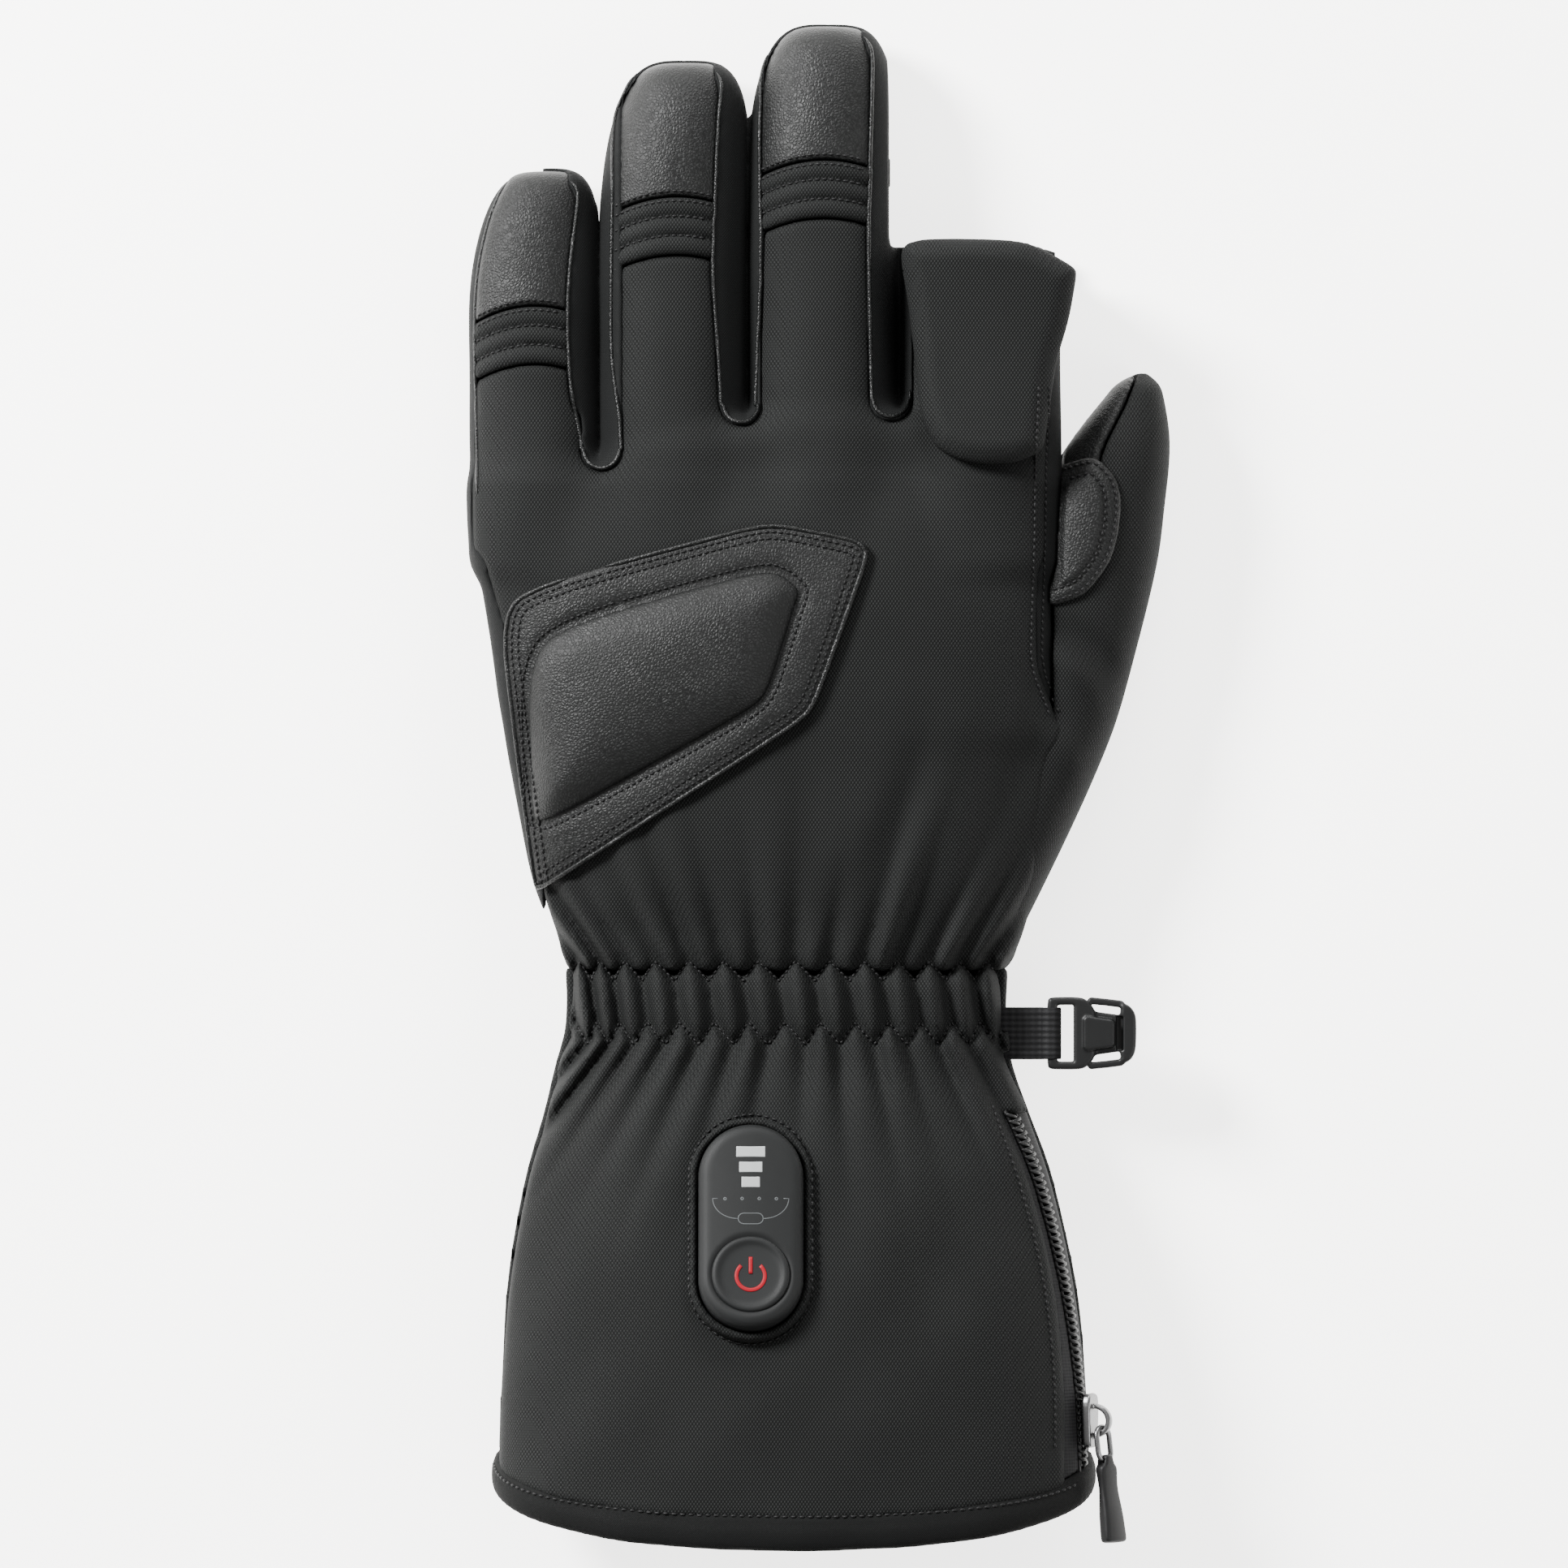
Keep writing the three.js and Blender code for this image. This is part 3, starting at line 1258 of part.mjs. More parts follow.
// Puts a geometry made in the controller's frame on the gauntlet.
function onCuff(geometry, x, y, z) {
  const placed = geometry.clone();
  placed.translate(x, y, z);
  placed.rotateX(caseTilt);
  placed.translate(CASE_X, CASE_Y, caseSeat);
  return placed;
}

const cuffUnder = bodyLoft(SEAM_GAP);
const buttonY = BUTTON_INSET - CASE_LENGTH / 2;
const barY = (index) => CASE_LENGTH / 2 - BAR_INSET - index * BAR_PITCH;
const barWidth = (index) => BAR_WIDTH * (1 - BAR_TAPER * index);
const caseSlab = slab(CASE_WIDTH, CASE_LENGTH, CASE_HEIGHT + CASE_SINK, CASE_WIDTH / 2, CASE_BEVEL);
let controller = solid(onCuff(caseSlab, 0, 0, -CASE_SINK)).subtract(cuffUnder);
const pocket = (geometry, y, thick) => solid(onCuff(geometry, 0, y, CASE_HEIGHT - thick));
controller = controller.subtract(
  pocket(disc(BUTTON_RADIUS + SEAM_GAP, 2 * BUTTON_THICK), buttonY, BUTTON_THICK),
);
for (let i = 0; i < BAR_COUNT; i += 1) {
  const space = new THREE.BoxGeometry(barWidth(i) + 2 * SEAM_GAP, BAR_HEIGHT + 2 * SEAM_GAP, 2 * BAR_THICK);
  space.translate(0, 0, BAR_THICK);
  controller = controller.subtract(pocket(space, barY(i), BAR_THICK));
  const bar = new THREE.BoxGeometry(barWidth(i), BAR_HEIGHT, BAR_THICK - SEAM_GAP);
  const barMiddle = CASE_HEIGHT - (BAR_THICK - SEAM_GAP) / 2;
  addPiece(`level_bar_${i + 1}`, onCuff(bar, 0, barY(i), barMiddle), barPlastic);
}
addPiece("module_case", controller, casePlastic);
const button = disc(BUTTON_RADIUS, BUTTON_THICK - SEAM_GAP);
addPiece("module_button", onCuff(button, 0, buttonY, CASE_HEIGHT - BUTTON_THICK + SEAM_GAP), buttonRubber);
const collarOuter = (SEAM_GAP + COLLAR_WIDTH) * 2;
const collarRing = solid(
  onCuff(
    slab(
      CASE_WIDTH + collarOuter,
      CASE_LENGTH + collarOuter,
      COLLAR_PROUD + 2 * CASE_SINK,
      (CASE_WIDTH + collarOuter) / 2,
      0,
    ),
    0,
    0,
    -2 * CASE_SINK,
  ),
)
  .subtract(
    solid(
      onCuff(
        slab(
          CASE_WIDTH + 2 * SEAM_GAP,
          CASE_LENGTH + 2 * SEAM_GAP,
          COLLAR_PROUD * 4,
          CASE_WIDTH / 2 + SEAM_GAP,
        ),
        0,
        0,
        -3 * CASE_SINK,
      ),
    ),
  )
  .subtract(cuffUnder);
addPiece("module_collar", collarRing, softshell);

// Webbing strap, sewn to the side of the elastic, and the clip that hangs on it
const strapRoot = bodySection(STRAP_Y).right;
const strapEnd = strapRoot + STRAP_REACH;
const strapBlock = block(
  strapRoot - WALL,
  strapEnd,
  STRAP_Y - STRAP_WIDTH / 2,
  STRAP_Y + STRAP_WIDTH / 2,
  STRAP_Z - STRAP_THICK / 2,
  STRAP_Z + STRAP_THICK / 2,
);
addPiece("clip_strap", strapBlock.subtract(cuffUnder), webbing);

const clipLeft = strapEnd + SEAM_GAP;
const clipShape = new THREE.Shape();
const arm = CLIP_WIDTH / 2;
// Outline of the clip: slotted plate, waist, and the hook's curved end
const CLIP_OUTLINE = [
  { along: 0, out: 0.86 },
  { along: 0.06, out: 0.98 },
  { along: 0.42, out: 1 },
  { along: 0.5, out: 0.74 },
  { along: 0.62, out: 0.8 },
  { along: 0.93, out: 0.78 },
  { along: 1, out: 0.5 },
];
clipShape.setFromPoints([
  ...CLIP_OUTLINE.map((row) => new THREE.Vector2(row.along * CLIP_LENGTH, -row.out * arm)),
  ...CLIP_OUTLINE.map((row) => new THREE.Vector2(row.along * CLIP_LENGTH, row.out * arm)).reverse(),
]);
const opening = (left, right, halfWidth) => {
  const hole = new THREE.Path();
  hole.moveTo(left, -halfWidth);
  hole.lineTo(left, halfWidth);
  hole.lineTo(right, halfWidth);
  hole.lineTo(right, -halfWidth);
  return hole;
};
const slotHalf = STRAP_WIDTH / 2;
clipShape.holes.push(opening(CLIP_BAR, CLIP_BAR + CLIP_SLOT, slotHalf));
clipShape.holes.push(opening(CLIP_LENGTH * 0.8, CLIP_LENGTH * 0.88, slotHalf * 0.6));
const clip = new THREE.Mesh(
  new THREE.ExtrudeGeometry(clipShape, { depth: CLIP_THICK, bevelEnabled: false }),
  clipPlastic,
);
clip.name = "clip_buckle";
clip.position.set(clipLeft, STRAP_Y, STRAP_Z - CLIP_THICK / 2);
root.add(clip);

// Slider, ring and pull, in a frame at the lower end of the chain
const SLIDER_AT = 0.84; // share of the zip's length
const seat = chainFrame(SLIDER_AT);
const toWorld = new THREE.Matrix4().makeBasis(seat.across, seat.along.clone().negate(), seat.out);
const pullGroup = new THREE.Group();
pullGroup.applyMatrix4(toWorld.setPosition(seat.point));
root.add(pullGroup);
function addToPull(name, geometry, material) {
  const mesh = new THREE.Mesh(geometry, material);
  mesh.name = name;
  pullGroup.add(mesh);
}
const sliderBase = -ZIP_DROP + CHAIN_HEIGHT / 2 + SEAM_GAP;
const plateTop = sliderBase + SLIDER_PLATE;
const plate = slab(SLIDER_WIDTH, SLIDER_LENGTH, SLIDER_PLATE, SLIDER_WIDTH / 3);
plate.translate(0, 0, sliderBase);

// Side view of the bridge, with its length along the shape's X and its height along Y
const long = BRIDGE_LENGTH / 2;
const BRIDGE_SHOULDER = 0.55; // share of the bridge's height and length at which it turns
const bridgeShape = new THREE.Shape().setFromPoints([
  new THREE.Vector2(-long, -BRIDGE_WALL),
  new THREE.Vector2(long, -BRIDGE_WALL),
  new THREE.Vector2(long, BRIDGE_HEIGHT * BRIDGE_SHOULDER),
  new THREE.Vector2(long * BRIDGE_SHOULDER, BRIDGE_HEIGHT),
  new THREE.Vector2(-long * BRIDGE_SHOULDER, BRIDGE_HEIGHT),
  new THREE.Vector2(-long, BRIDGE_HEIGHT * BRIDGE_SHOULDER),
]);
const eyeLong = long - BRIDGE_WALL;
const eyeHigh = BRIDGE_HEIGHT - BRIDGE_WALL;
bridgeShape.holes.push(
  new THREE.Path().setFromPoints([
    new THREE.Vector2(-eyeLong, 0),
    new THREE.Vector2(eyeLong, 0),
    new THREE.Vector2(eyeLong, eyeHigh * BRIDGE_SHOULDER),
    new THREE.Vector2(long * BRIDGE_SHOULDER, eyeHigh),
    new THREE.Vector2(-long * BRIDGE_SHOULDER, eyeHigh),
    new THREE.Vector2(-eyeLong, eyeHigh * BRIDGE_SHOULDER),
  ]),
);
const arch = new THREE.ExtrudeGeometry(bridgeShape, { depth: BRIDGE_WIDTH, bevelEnabled: false });
arch.translate(0, 0, -BRIDGE_WIDTH / 2);
arch.rotateX(Math.PI / 2);
arch.rotateZ(Math.PI / 2);
arch.translate(0, 0, plateTop);
addToPull("zip_slider", bodiesOf(solid(plate).add(solid(arch)))[0].geometry, zipMetal);

// Link through the bridge, and the pull on the link, in a group that is twisted and lifted at the bridge
const hanging = new THREE.Group();
hanging.position.set(0, -eyeLong + LINK_SLACK, plateTop + eyeHigh / 2);
hanging.rotation.set(THREE.MathUtils.degToRad(-LINK_LIFT), THREE.MathUtils.degToRad(-LINK_TWIST), 0);
pullGroup.add(hanging);
function addHanging(name, geometry, material) {
  const mesh = new THREE.Mesh(geometry, material);
  mesh.name = name;
  hanging.add(mesh);
}
const linkLength = LINK_LENGTH - LINK_WIRE;
const linkRadius = (LINK_WIDTH - LINK_WIRE) / 2;
const linkStraight = (linkLength - 2 * linkRadius) / 2;
const linkPoints = [];
for (const end of [1, -1]) {
  for (let i = 0; i <= LINK_ARC_STEPS; i += 1) {
    const angle = (Math.PI * i) / LINK_ARC_STEPS;
    linkPoints.push({
      x: end * linkRadius * Math.cos(angle),
      y: end * (linkStraight + linkRadius * Math.sin(angle)),
    });
  }
}
// Closed wire along points in a plane.
function wireLoop(points, radius, sides) {
  const rings = points.map((p, i) => {
    const before = points[(i + points.length - 1) % points.length];
    const after = points[(i + 1) % points.length];
    const along = new THREE.Vector2(after.x - before.x, after.y - before.y).normalize();
    return Array.from({ length: sides }, (_, k) => {
      const turn = (2 * Math.PI * k) / sides;
      const offset = radius * Math.cos(turn);
      return [p.x + along.y * offset, p.y - along.x * offset, radius * Math.sin(turn)];
    });
  });
  const faces = [];
  rings.forEach((_, r) => {
    const next = ((r + 1) % rings.length) * sides;
    for (let k = 0; k < sides; k += 1) {
      const [a, b] = [r * sides + k, r * sides + ((k + 1) % sides)];
      const [c, d] = [next + k, next + ((k + 1) % sides)];
      faces.push(a, b, c, b, d, c);
    }
  });
  return fromArrays(new Float32Array(rings.flat(2)), new Uint32Array(faces));
}
const link = bodiesOf(wireLoop(linkPoints, LINK_WIRE / 2, LINK_SIDES))[0].geometry;
link.translate(0, LINK_WIRE / 2 - linkLength / 2, 0);
addHanging("zip_ring", link, zipMetal);

const linkEnd = LINK_WIRE / 2 - linkLength; // middle of the wire at the link's lower end
const lugTop = linkEnd + LINK_WIRE / 2 + SEAM_GAP + LUG_PLAY + BRIDGE_WALL;
const pullTop = linkEnd - LINK_WIRE / 2 - SEAM_GAP;
const pullShape = new THREE.Shape().setFromPoints([
  new THREE.Vector2(-PULL_END / 2, pullTop - PULL_LENGTH),
  new THREE.Vector2(PULL_END / 2, pullTop - PULL_LENGTH),
  new THREE.Vector2(PULL_TOP / 2, pullTop),
  new THREE.Vector2(LUG_WIDTH / 2, pullTop),
  new THREE.Vector2(LUG_WIDTH / 2, lugTop),
  new THREE.Vector2(-LUG_WIDTH / 2, lugTop),
  new THREE.Vector2(-LUG_WIDTH / 2, pullTop),
  new THREE.Vector2(-PULL_TOP / 2, pullTop),
]);
const pullSlab = new THREE.ExtrudeGeometry(pullShape, { depth: PULL_THICK, bevelEnabled: false });
pullSlab.translate(0, 0, -PULL_THICK / 2);
const lugHole = LINK_WIRE / 2 + SEAM_GAP;
const pull = solid(pullSlab).subtract(
  block(-LUG_WIDTH, LUG_WIDTH, linkEnd - lugHole, linkEnd + lugHole + LUG_PLAY, -lugHole, lugHole),
);
addHanging("zip_pull", bodiesOf(pull)[0].geometry, rubber);

export default root;
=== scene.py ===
"""Looks of an insulated heated gauntlet for the left hand, built as cloth pieces over a measured frame."""

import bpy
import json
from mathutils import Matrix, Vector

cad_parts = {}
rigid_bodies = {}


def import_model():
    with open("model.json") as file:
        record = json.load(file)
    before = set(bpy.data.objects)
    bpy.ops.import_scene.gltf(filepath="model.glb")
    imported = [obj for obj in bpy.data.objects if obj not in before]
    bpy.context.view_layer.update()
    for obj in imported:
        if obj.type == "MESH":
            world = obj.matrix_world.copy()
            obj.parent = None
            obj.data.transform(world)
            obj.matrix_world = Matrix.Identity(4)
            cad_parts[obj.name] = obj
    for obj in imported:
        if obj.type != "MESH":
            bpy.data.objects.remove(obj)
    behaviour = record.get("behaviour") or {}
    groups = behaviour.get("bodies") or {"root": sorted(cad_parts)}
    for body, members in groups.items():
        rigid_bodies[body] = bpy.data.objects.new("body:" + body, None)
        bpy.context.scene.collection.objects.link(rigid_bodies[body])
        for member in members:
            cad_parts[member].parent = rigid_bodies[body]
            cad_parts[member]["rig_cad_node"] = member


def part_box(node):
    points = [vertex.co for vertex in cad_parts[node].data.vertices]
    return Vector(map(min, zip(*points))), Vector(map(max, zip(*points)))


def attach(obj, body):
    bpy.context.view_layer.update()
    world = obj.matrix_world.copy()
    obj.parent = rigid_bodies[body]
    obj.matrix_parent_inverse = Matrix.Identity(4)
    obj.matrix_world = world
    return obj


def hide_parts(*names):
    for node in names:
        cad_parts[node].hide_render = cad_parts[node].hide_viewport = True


bl_info = {
    "name": "Heated gauntlet",
    "version": (1, 0, 0),
    "blender": (4, 5, 0),
    "location": "3D View > Sidebar > Gauntlet",
    "description": "Builds the cloth, leather, zip, clip and controller of a heated gauntlet",
    "category": "Object",
}

import json
import math
from types import SimpleNamespace

import bpy
import numpy as np
import openvdb as vdb
from mathutils import Matrix, Vector
from mathutils.bvhtree import BVHTree

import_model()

MM = 0.001


def length(label, millimetres, note):
    """A size property, kept in metres."""
    return bpy.props.FloatProperty(
        name=label, description=note, default=millimetres * MM, unit="LENGTH", precision=4
    )


def shade(label, colour, note):
    """A colour property, linear."""
    return bpy.props.FloatVectorProperty(
        name=label, description=note, default=colour, subtype="COLOR", size=3, min=0, max=1
    )


class GloveSizes(bpy.types.PropertyGroup):
    """Sizes of the glove."""

    palm_width: length("Palm width", 122, "Across the knuckles")
    palm_height: length("Palm height", 40, "Padded back of the hand above the table")
    palm_centre: length("Palm centre", -4.5, "Middle of the hand, from the origin")
    knuckle_y: length("Knuckle line", 63.5, "Where the little finger parts from the hand")
    wrist_y: length("Wrist line", -39.6, "Upper elastic row")
    wall: length("Wall", 3.5, "Softshell, insulation and lining together")
    flat: length("Flat", 1.2, "Depth of the underside that the table flattens")
    palm_seam: length("Palm seam", 6, "Height of the seam round the underside")
    back_seam: length("Back seam", 12, "Lowest reach of the back panels")
    pinky_width: length("Little finger width", 28, "Widest part of the little finger")
    ring_width: length("Ring finger width", 30.5, "Widest part of the ring finger")
    middle_width: length("Middle finger width", 31, "Widest part of the middle finger")
    index_width: length("Index width", 34.4, "Widest part of the index finger")
    pinky_length: length("Little finger length", 66.3, "From the knuckle line")
    ring_length: length("Ring finger length", 89.4, "From the knuckle line")
    middle_length: length("Middle finger length", 97.2, "From the knuckle line")
    index_length: length("Index length", 50.5, "From the knuckle line to the open end")
    finger_height: length("Finger height", 26.5, "Ring and middle finger")
    thumb_width: length("Thumb width", 30.7, "Widest part of the thumb")
    thumb_length: length("Thumb length", 126.2, "Tip to wrist")
    thumb_height: length("Thumb height", 26, "Back of the thumb above the table")
    thumb_tip_y: length("Thumb tip", 87.6, "Place of the thumb's tip")
    thumb_edge: length("Thumb edge", 82, "Furthest reach of the thumb to the side")
    cuff_length: length("Gauntlet length", 106, "Upper elastic row to the bound hem")
    cuff_width: length("Gauntlet width", 126.6, "Across the hem")
    cuff_height: length("Gauntlet height", 57, "Height of the open end")
    cuff_centre: length("Gauntlet centre", 2, "Middle of the hem, from the origin")
    cuff_seam: length("Side seam", 20, "Height of the gauntlet's side seam")
    row_gap: length("Elastic rows", 13.1, "Distance between the two gathered rows")
    pucker: length("Pucker depth", 3.2, "Height of the gathers")
    cap_length: length("Cap length", 28.5, "Leather fingertip cap, from the tip")
    rib_pitch: length("Rib pitch", 4.1, "Distance between the stitched ribs")
    guard_thick: length("Guard thickness", 1.4, "Leather of the knuckle guard")
    pad_rise: length("Pad rise", 3.4, "Height of the padded panel over the guard")
    hood_height: length("Hood height", 9.5, "Folded-back hood over the index finger")
    hem_band: length("Hem band", 6.6, "Width of the bound hem")
    zip_drop: length("Zip drop", 0.9, "How far the zip tape lies below the cloth")
    tooth_pitch: length("Tooth pitch", 1.55, "Distance between neighbouring zip teeth")
    stitch: length("Stitch", 1.9, "Length of one visible stitch")
    thread: length("Thread", 0.3, "Radius of the sewing thread")


class GloveColours(bpy.types.PropertyGroup):
    """Colours of the glove."""

    softshell: shade("Softshell", (0.0056, 0.0059, 0.0058), "Dotted twill softshell")
    side_cloth: shade("Side cloth", (0.0085, 0.009, 0.009), "Stretch cloth between the fingers")
    leather: shade("Leather", (0.0037, 0.0040, 0.0039), "Pebbled leather")
    binding: shade("Binding", (0.0048, 0.0051, 0.0050), "Bound hem")
    thread: shade("Thread", (0.004, 0.004, 0.0042), "Sewing thread")
    zip_tape: shade("Zip tape", (0.007, 0.007, 0.0075), "Woven zip tape")
    zip_teeth: shade("Zip teeth", (0.005, 0.005, 0.0052), "Moulded coil")
    metal: shade("Metal", (0.15, 0.15, 0.152), "Dark nickel of slider and link")
    rubber: shade("Rubber", (0.0042, 0.0042, 0.0044), "Moulded pull")
    webbing: shade("Webbing", (0.007, 0.007, 0.0075), "Narrow strap")
    clip: shade("Clip", (0.0055, 0.0057, 0.0058), "Moulded glove clip")
    case: shade("Case", (0.0046, 0.005, 0.0051), "Controller case")
    light: shade("Level light", (0.25, 0.26, 0.26), "Light-grey windows of the level display")
    symbol: shade("Symbol", (0.17, 0.002, 0.007), "Red power symbol")


def measures(scene):
    """The glove's sizes in millimetres."""
    group = scene.glove_sizes
    return SimpleNamespace(**{key: getattr(group, key) / MM for key in GloveSizes.__annotations__})


# Shape tables. Rows run along the glove, and values are shares of the sizes above.

HAND_ROWS = [
    dict(at=-0.16, left=0.97, right=0.97, top=0.78, side=0.46),
    dict(at=-0.04, left=0.99, right=0.99, top=0.81, side=0.48),
    dict(at=0.0, left=1.01, right=1.01, top=0.84, side=0.5),
    dict(at=0.1, left=1.005, right=1.01, top=0.92, side=0.52),
    dict(at=0.24, left=0.97, right=1.01, top=0.98, side=0.54),
    dict(at=0.42, left=0.93, right=1.015, top=1.0, side=0.55),
    dict(at=0.5, left=0.905, right=1.0, top=1.0, side=0.55),
    dict(at=0.57, left=0.885, right=0.945, top=1.0, side=0.53),
    dict(at=0.7, left=0.845, right=0.915, top=1.0, side=0.51),
    dict(at=0.82, left=0.8, right=0.895, top=0.98, side=0.49),
    dict(at=0.92, left=0.74, right=0.875, top=0.93, side=0.47),
]

CUFF_ROWS = [
    dict(at=0.0, left=0.77, right=0.72, top=0.63, side=0.3),
    dict(at=0.06, left=0.765, right=0.715, top=0.63, side=0.3),
    dict(at=0.12, left=0.77, right=0.715, top=0.64, side=0.31),
    dict(at=0.19, left=0.8, right=0.74, top=0.67, side=0.32),
    dict(at=0.28, left=0.835, right=0.795, top=0.73, side=0.34),
    dict(at=0.42, left=0.9, right=0.875, top=0.81, side=0.36),
    dict(at=0.62, left=0.96, right=0.95, top=0.9, side=0.38),
    dict(at=0.82, left=0.99, right=0.99, top=0.97, side=0.39),
    dict(at=1.0, left=1.0, right=1.0, top=1.0, side=0.4),
]

THUMB_ROWS = [
    dict(at=0.0, outer=0.13, wide=0.12, top=0.55),
    dict(at=0.018, outer=0.065, wide=0.3, top=0.7),
    dict(at=0.045, outer=0.03, wide=0.43, top=0.8),
    dict(at=0.1, outer=0.0, wide=0.64, top=0.9),
    dict(at=0.15, outer=0.005, wide=0.78, top=0.95),
    dict(at=0.22, outer=0.04, wide=0.9, top=0.98),
    dict(at=0.32, outer=0.09, wide=0.97, top=1.0),
    dict(at=0.46, outer=0.22, wide=1.0, top=1.02),
    dict(at=0.6, outer=0.38, wide=0.96, top=1.05),
    dict(at=0.72, outer=0.59, wide=0.85, top=1.06),
    dict(at=0.86, outer=0.87, wide=0.64, top=1.06),
    dict(at=0.97, outer=1.09, wide=0.48, top=1.04),
]

# Seams on the back of each finger: share of its length from the tip, shares of its half width from its axis
FINGER_SEAMS = {
    "pinky": [
        dict(at=0.03, left=-0.36, right=0.62),
        dict(at=0.06, left=-0.45, right=0.725),
        dict(at=0.15, left=-0.62, right=0.7),
        dict(at=0.3, left=-0.78, right=0.62),
        dict(at=0.46, left=-0.838, right=0.585),
        dict(at=0.68, left=-0.825, right=0.63),
        dict(at=0.93, left=-0.8, right=0.82),
        dict(at=1.2, left=-0.8, right=0.82),
    ],
    "ring": [
        dict(at=0.022, left=-0.5, right=0.62),
        dict(at=0.05, left=-0.62, right=0.684),
        dict(at=0.133, left=-0.806, right=0.65),
        dict(at=0.33, left=-0.835, right=0.6),
        dict(at=0.5, left=-0.85, right=0.575),
        dict(at=0.7, left=-0.84, right=0.65),
        dict(at=0.87, left=-0.73, right=0.69),
        dict(at=1.15, left=-0.73, right=0.69),
    ],
    "middle": [
        dict(at=0.022, left=-0.62, right=0.58),
        dict(at=0.05, left=-0.73, right=0.675),
        dict(at=0.12, left=-0.84, right=0.69),
        dict(at=0.34, left=-0.86, right=0.656),
        dict(at=0.46, left=-0.84, right=0.643),
        dict(at=0.73, left=-0.89, right=0.67),
        dict(at=0.87, left=-0.92, right=0.69),
        dict(at=1.15, left=-0.92, right=0.69),
    ],
    "index": [
        dict(at=-0.2, left=-0.86, right=0.8),
        dict(at=0.5, left=-0.88, right=0.78),
        dict(at=0.7, left=-0.885, right=0.764),
        dict(at=0.9, left=-0.885, right=0.735),
        dict(at=1.3, left=-0.885, right=0.72),
    ],
}

# Crotches between the fingers: the slot's round end and its half width, in shares of the palm width
CROTCHES = [
    dict(x=-0.317, y=0.558, half=0.031),
    dict(x=-0.0746, y=0.637, half=0.0305),
    dict(x=0.185, y=0.647, half=0.031),
]

# Seam down the thumb side of the hand, in shares of the palm width
RADIAL_SEAM = [
    dict(y=0.95, x=0.455),
    dict(y=0.66, x=0.45),
    dict(y=0.573, x=0.446),
    dict(y=0.422, x=0.444),
    dict(y=0.277, x=0.439),
    dict(y=0.223, x=0.438),
    dict(y=0.188, x=0.444),
    dict(y=0.141, x=0.463),
    dict(y=0.1, x=0.477),
]

GUARD_OUTLINE = [
    (-60.6, 40.1), (-5.3, 54.9), (0.9, 54.6), (15.8, 51.5), (17.7, 49.1), (16.9, 45.3),
    (6.9, 17.6), (4.0, 13.3), (-52.0, -22.9), (-53.0, -21.2), (-57.0, 8.4),
]
PAD_OUTLINE = [
    (-54.9, 32.0), (-4.1, 46.0), (0.9, 44.1), (4.1, 41.0), (2.9, 37.4), (-2.6, 20.0),
    (-5.6, 15.8), (-52.7, -10.3), (-53.9, -4.0),
]
PATCH_OUTLINE = [
    (55.5, 65.2), (58.7, 67.6), (65.8, 69.7), (70.3, 65.3), (71.6, 60.1), (70.9, 53.0),
    (69.2, 47.0), (63.9, 40.0), (57.3, 37.7), (55.0, 38.5),
]
HOOD_OUTLINE = [
    (24.3, 113.6), (28.9, 115.5), (50.1, 115.2), (56.0, 112.6), (61.6, 109.3), (62.0, 107.8),
    (60.4, 98.5), (57.7, 89.7), (56.2, 80.0), (55.2, 72.5), (54.2, 70.1), (49.1, 68.0),
    (43.0, 67.6), (37.0, 68.4), (31.9, 71.2), (28.9, 77.5), (27.9, 88.0), (26.3, 102.1),
]
THUMB_SEAM = [
    (75.9, 89.5), (74.6, 86.2), (72.3, 80.4), (68.4, 72.8), (67.2, 69.7), (66.0, 64.0),
]

# Upper tips of the gathers across the wrist, in shares of the palm width
PUCKER_TIPS = [
    -0.357, -0.32, -0.277, -0.223, -0.165, -0.104, -0.045, 0.02, 0.079, 0.14, 0.195, 0.251, 0.303, 0.35,
]

# Soft folds: middle, length, width and turn in degrees, and height, in millimetres
FOLDS = [
    dict(x=61.5, y=24.0, long=14, wide=2.6, turn=-48, high=1.3),
    dict(x=64.0, y=30.0, long=15, wide=2.8, turn=-42, high=-1.2),
    dict(x=58.5, y=14.0, long=14, wide=3.0, turn=-58, high=-0.9),
    dict(x=60.0, y=8.0, long=16, wide=3.4, turn=-66, high=0.9),
    dict(x=-20.0, y=-15.0, long=26, wide=5.0, turn=-66, high=0.8),
    dict(x=18.0, y=-8.0, long=28, wide=5.5, turn=-112, high=0.9),
    dict(x=34.0, y=-6.0, long=30, wide=6.0, turn=-104, high=0.7),
    dict(x=-38.0, y=-26.0, long=14, wide=3.4, turn=-52, high=0.9),
    dict(x=5.0, y=-6.0, long=26, wide=5.0, turn=-84, high=-0.8),
    dict(x=26.0, y=-4.0, long=24, wide=4.5, turn=-110, high=-0.7),
    dict(x=-30.0, y=-92.0, long=40, wide=9.0, turn=-78, high=0.9),
    dict(x=22.0, y=-92.0, long=36, wide=8.0, turn=-102, high=1.0),
    dict(x=36.0, y=-96.0, long=34, wide=7.0, turn=-96, high=-0.9),
    dict(x=-44.0, y=-84.0, long=30, wide=6.0, turn=-70, high=-0.8),
]


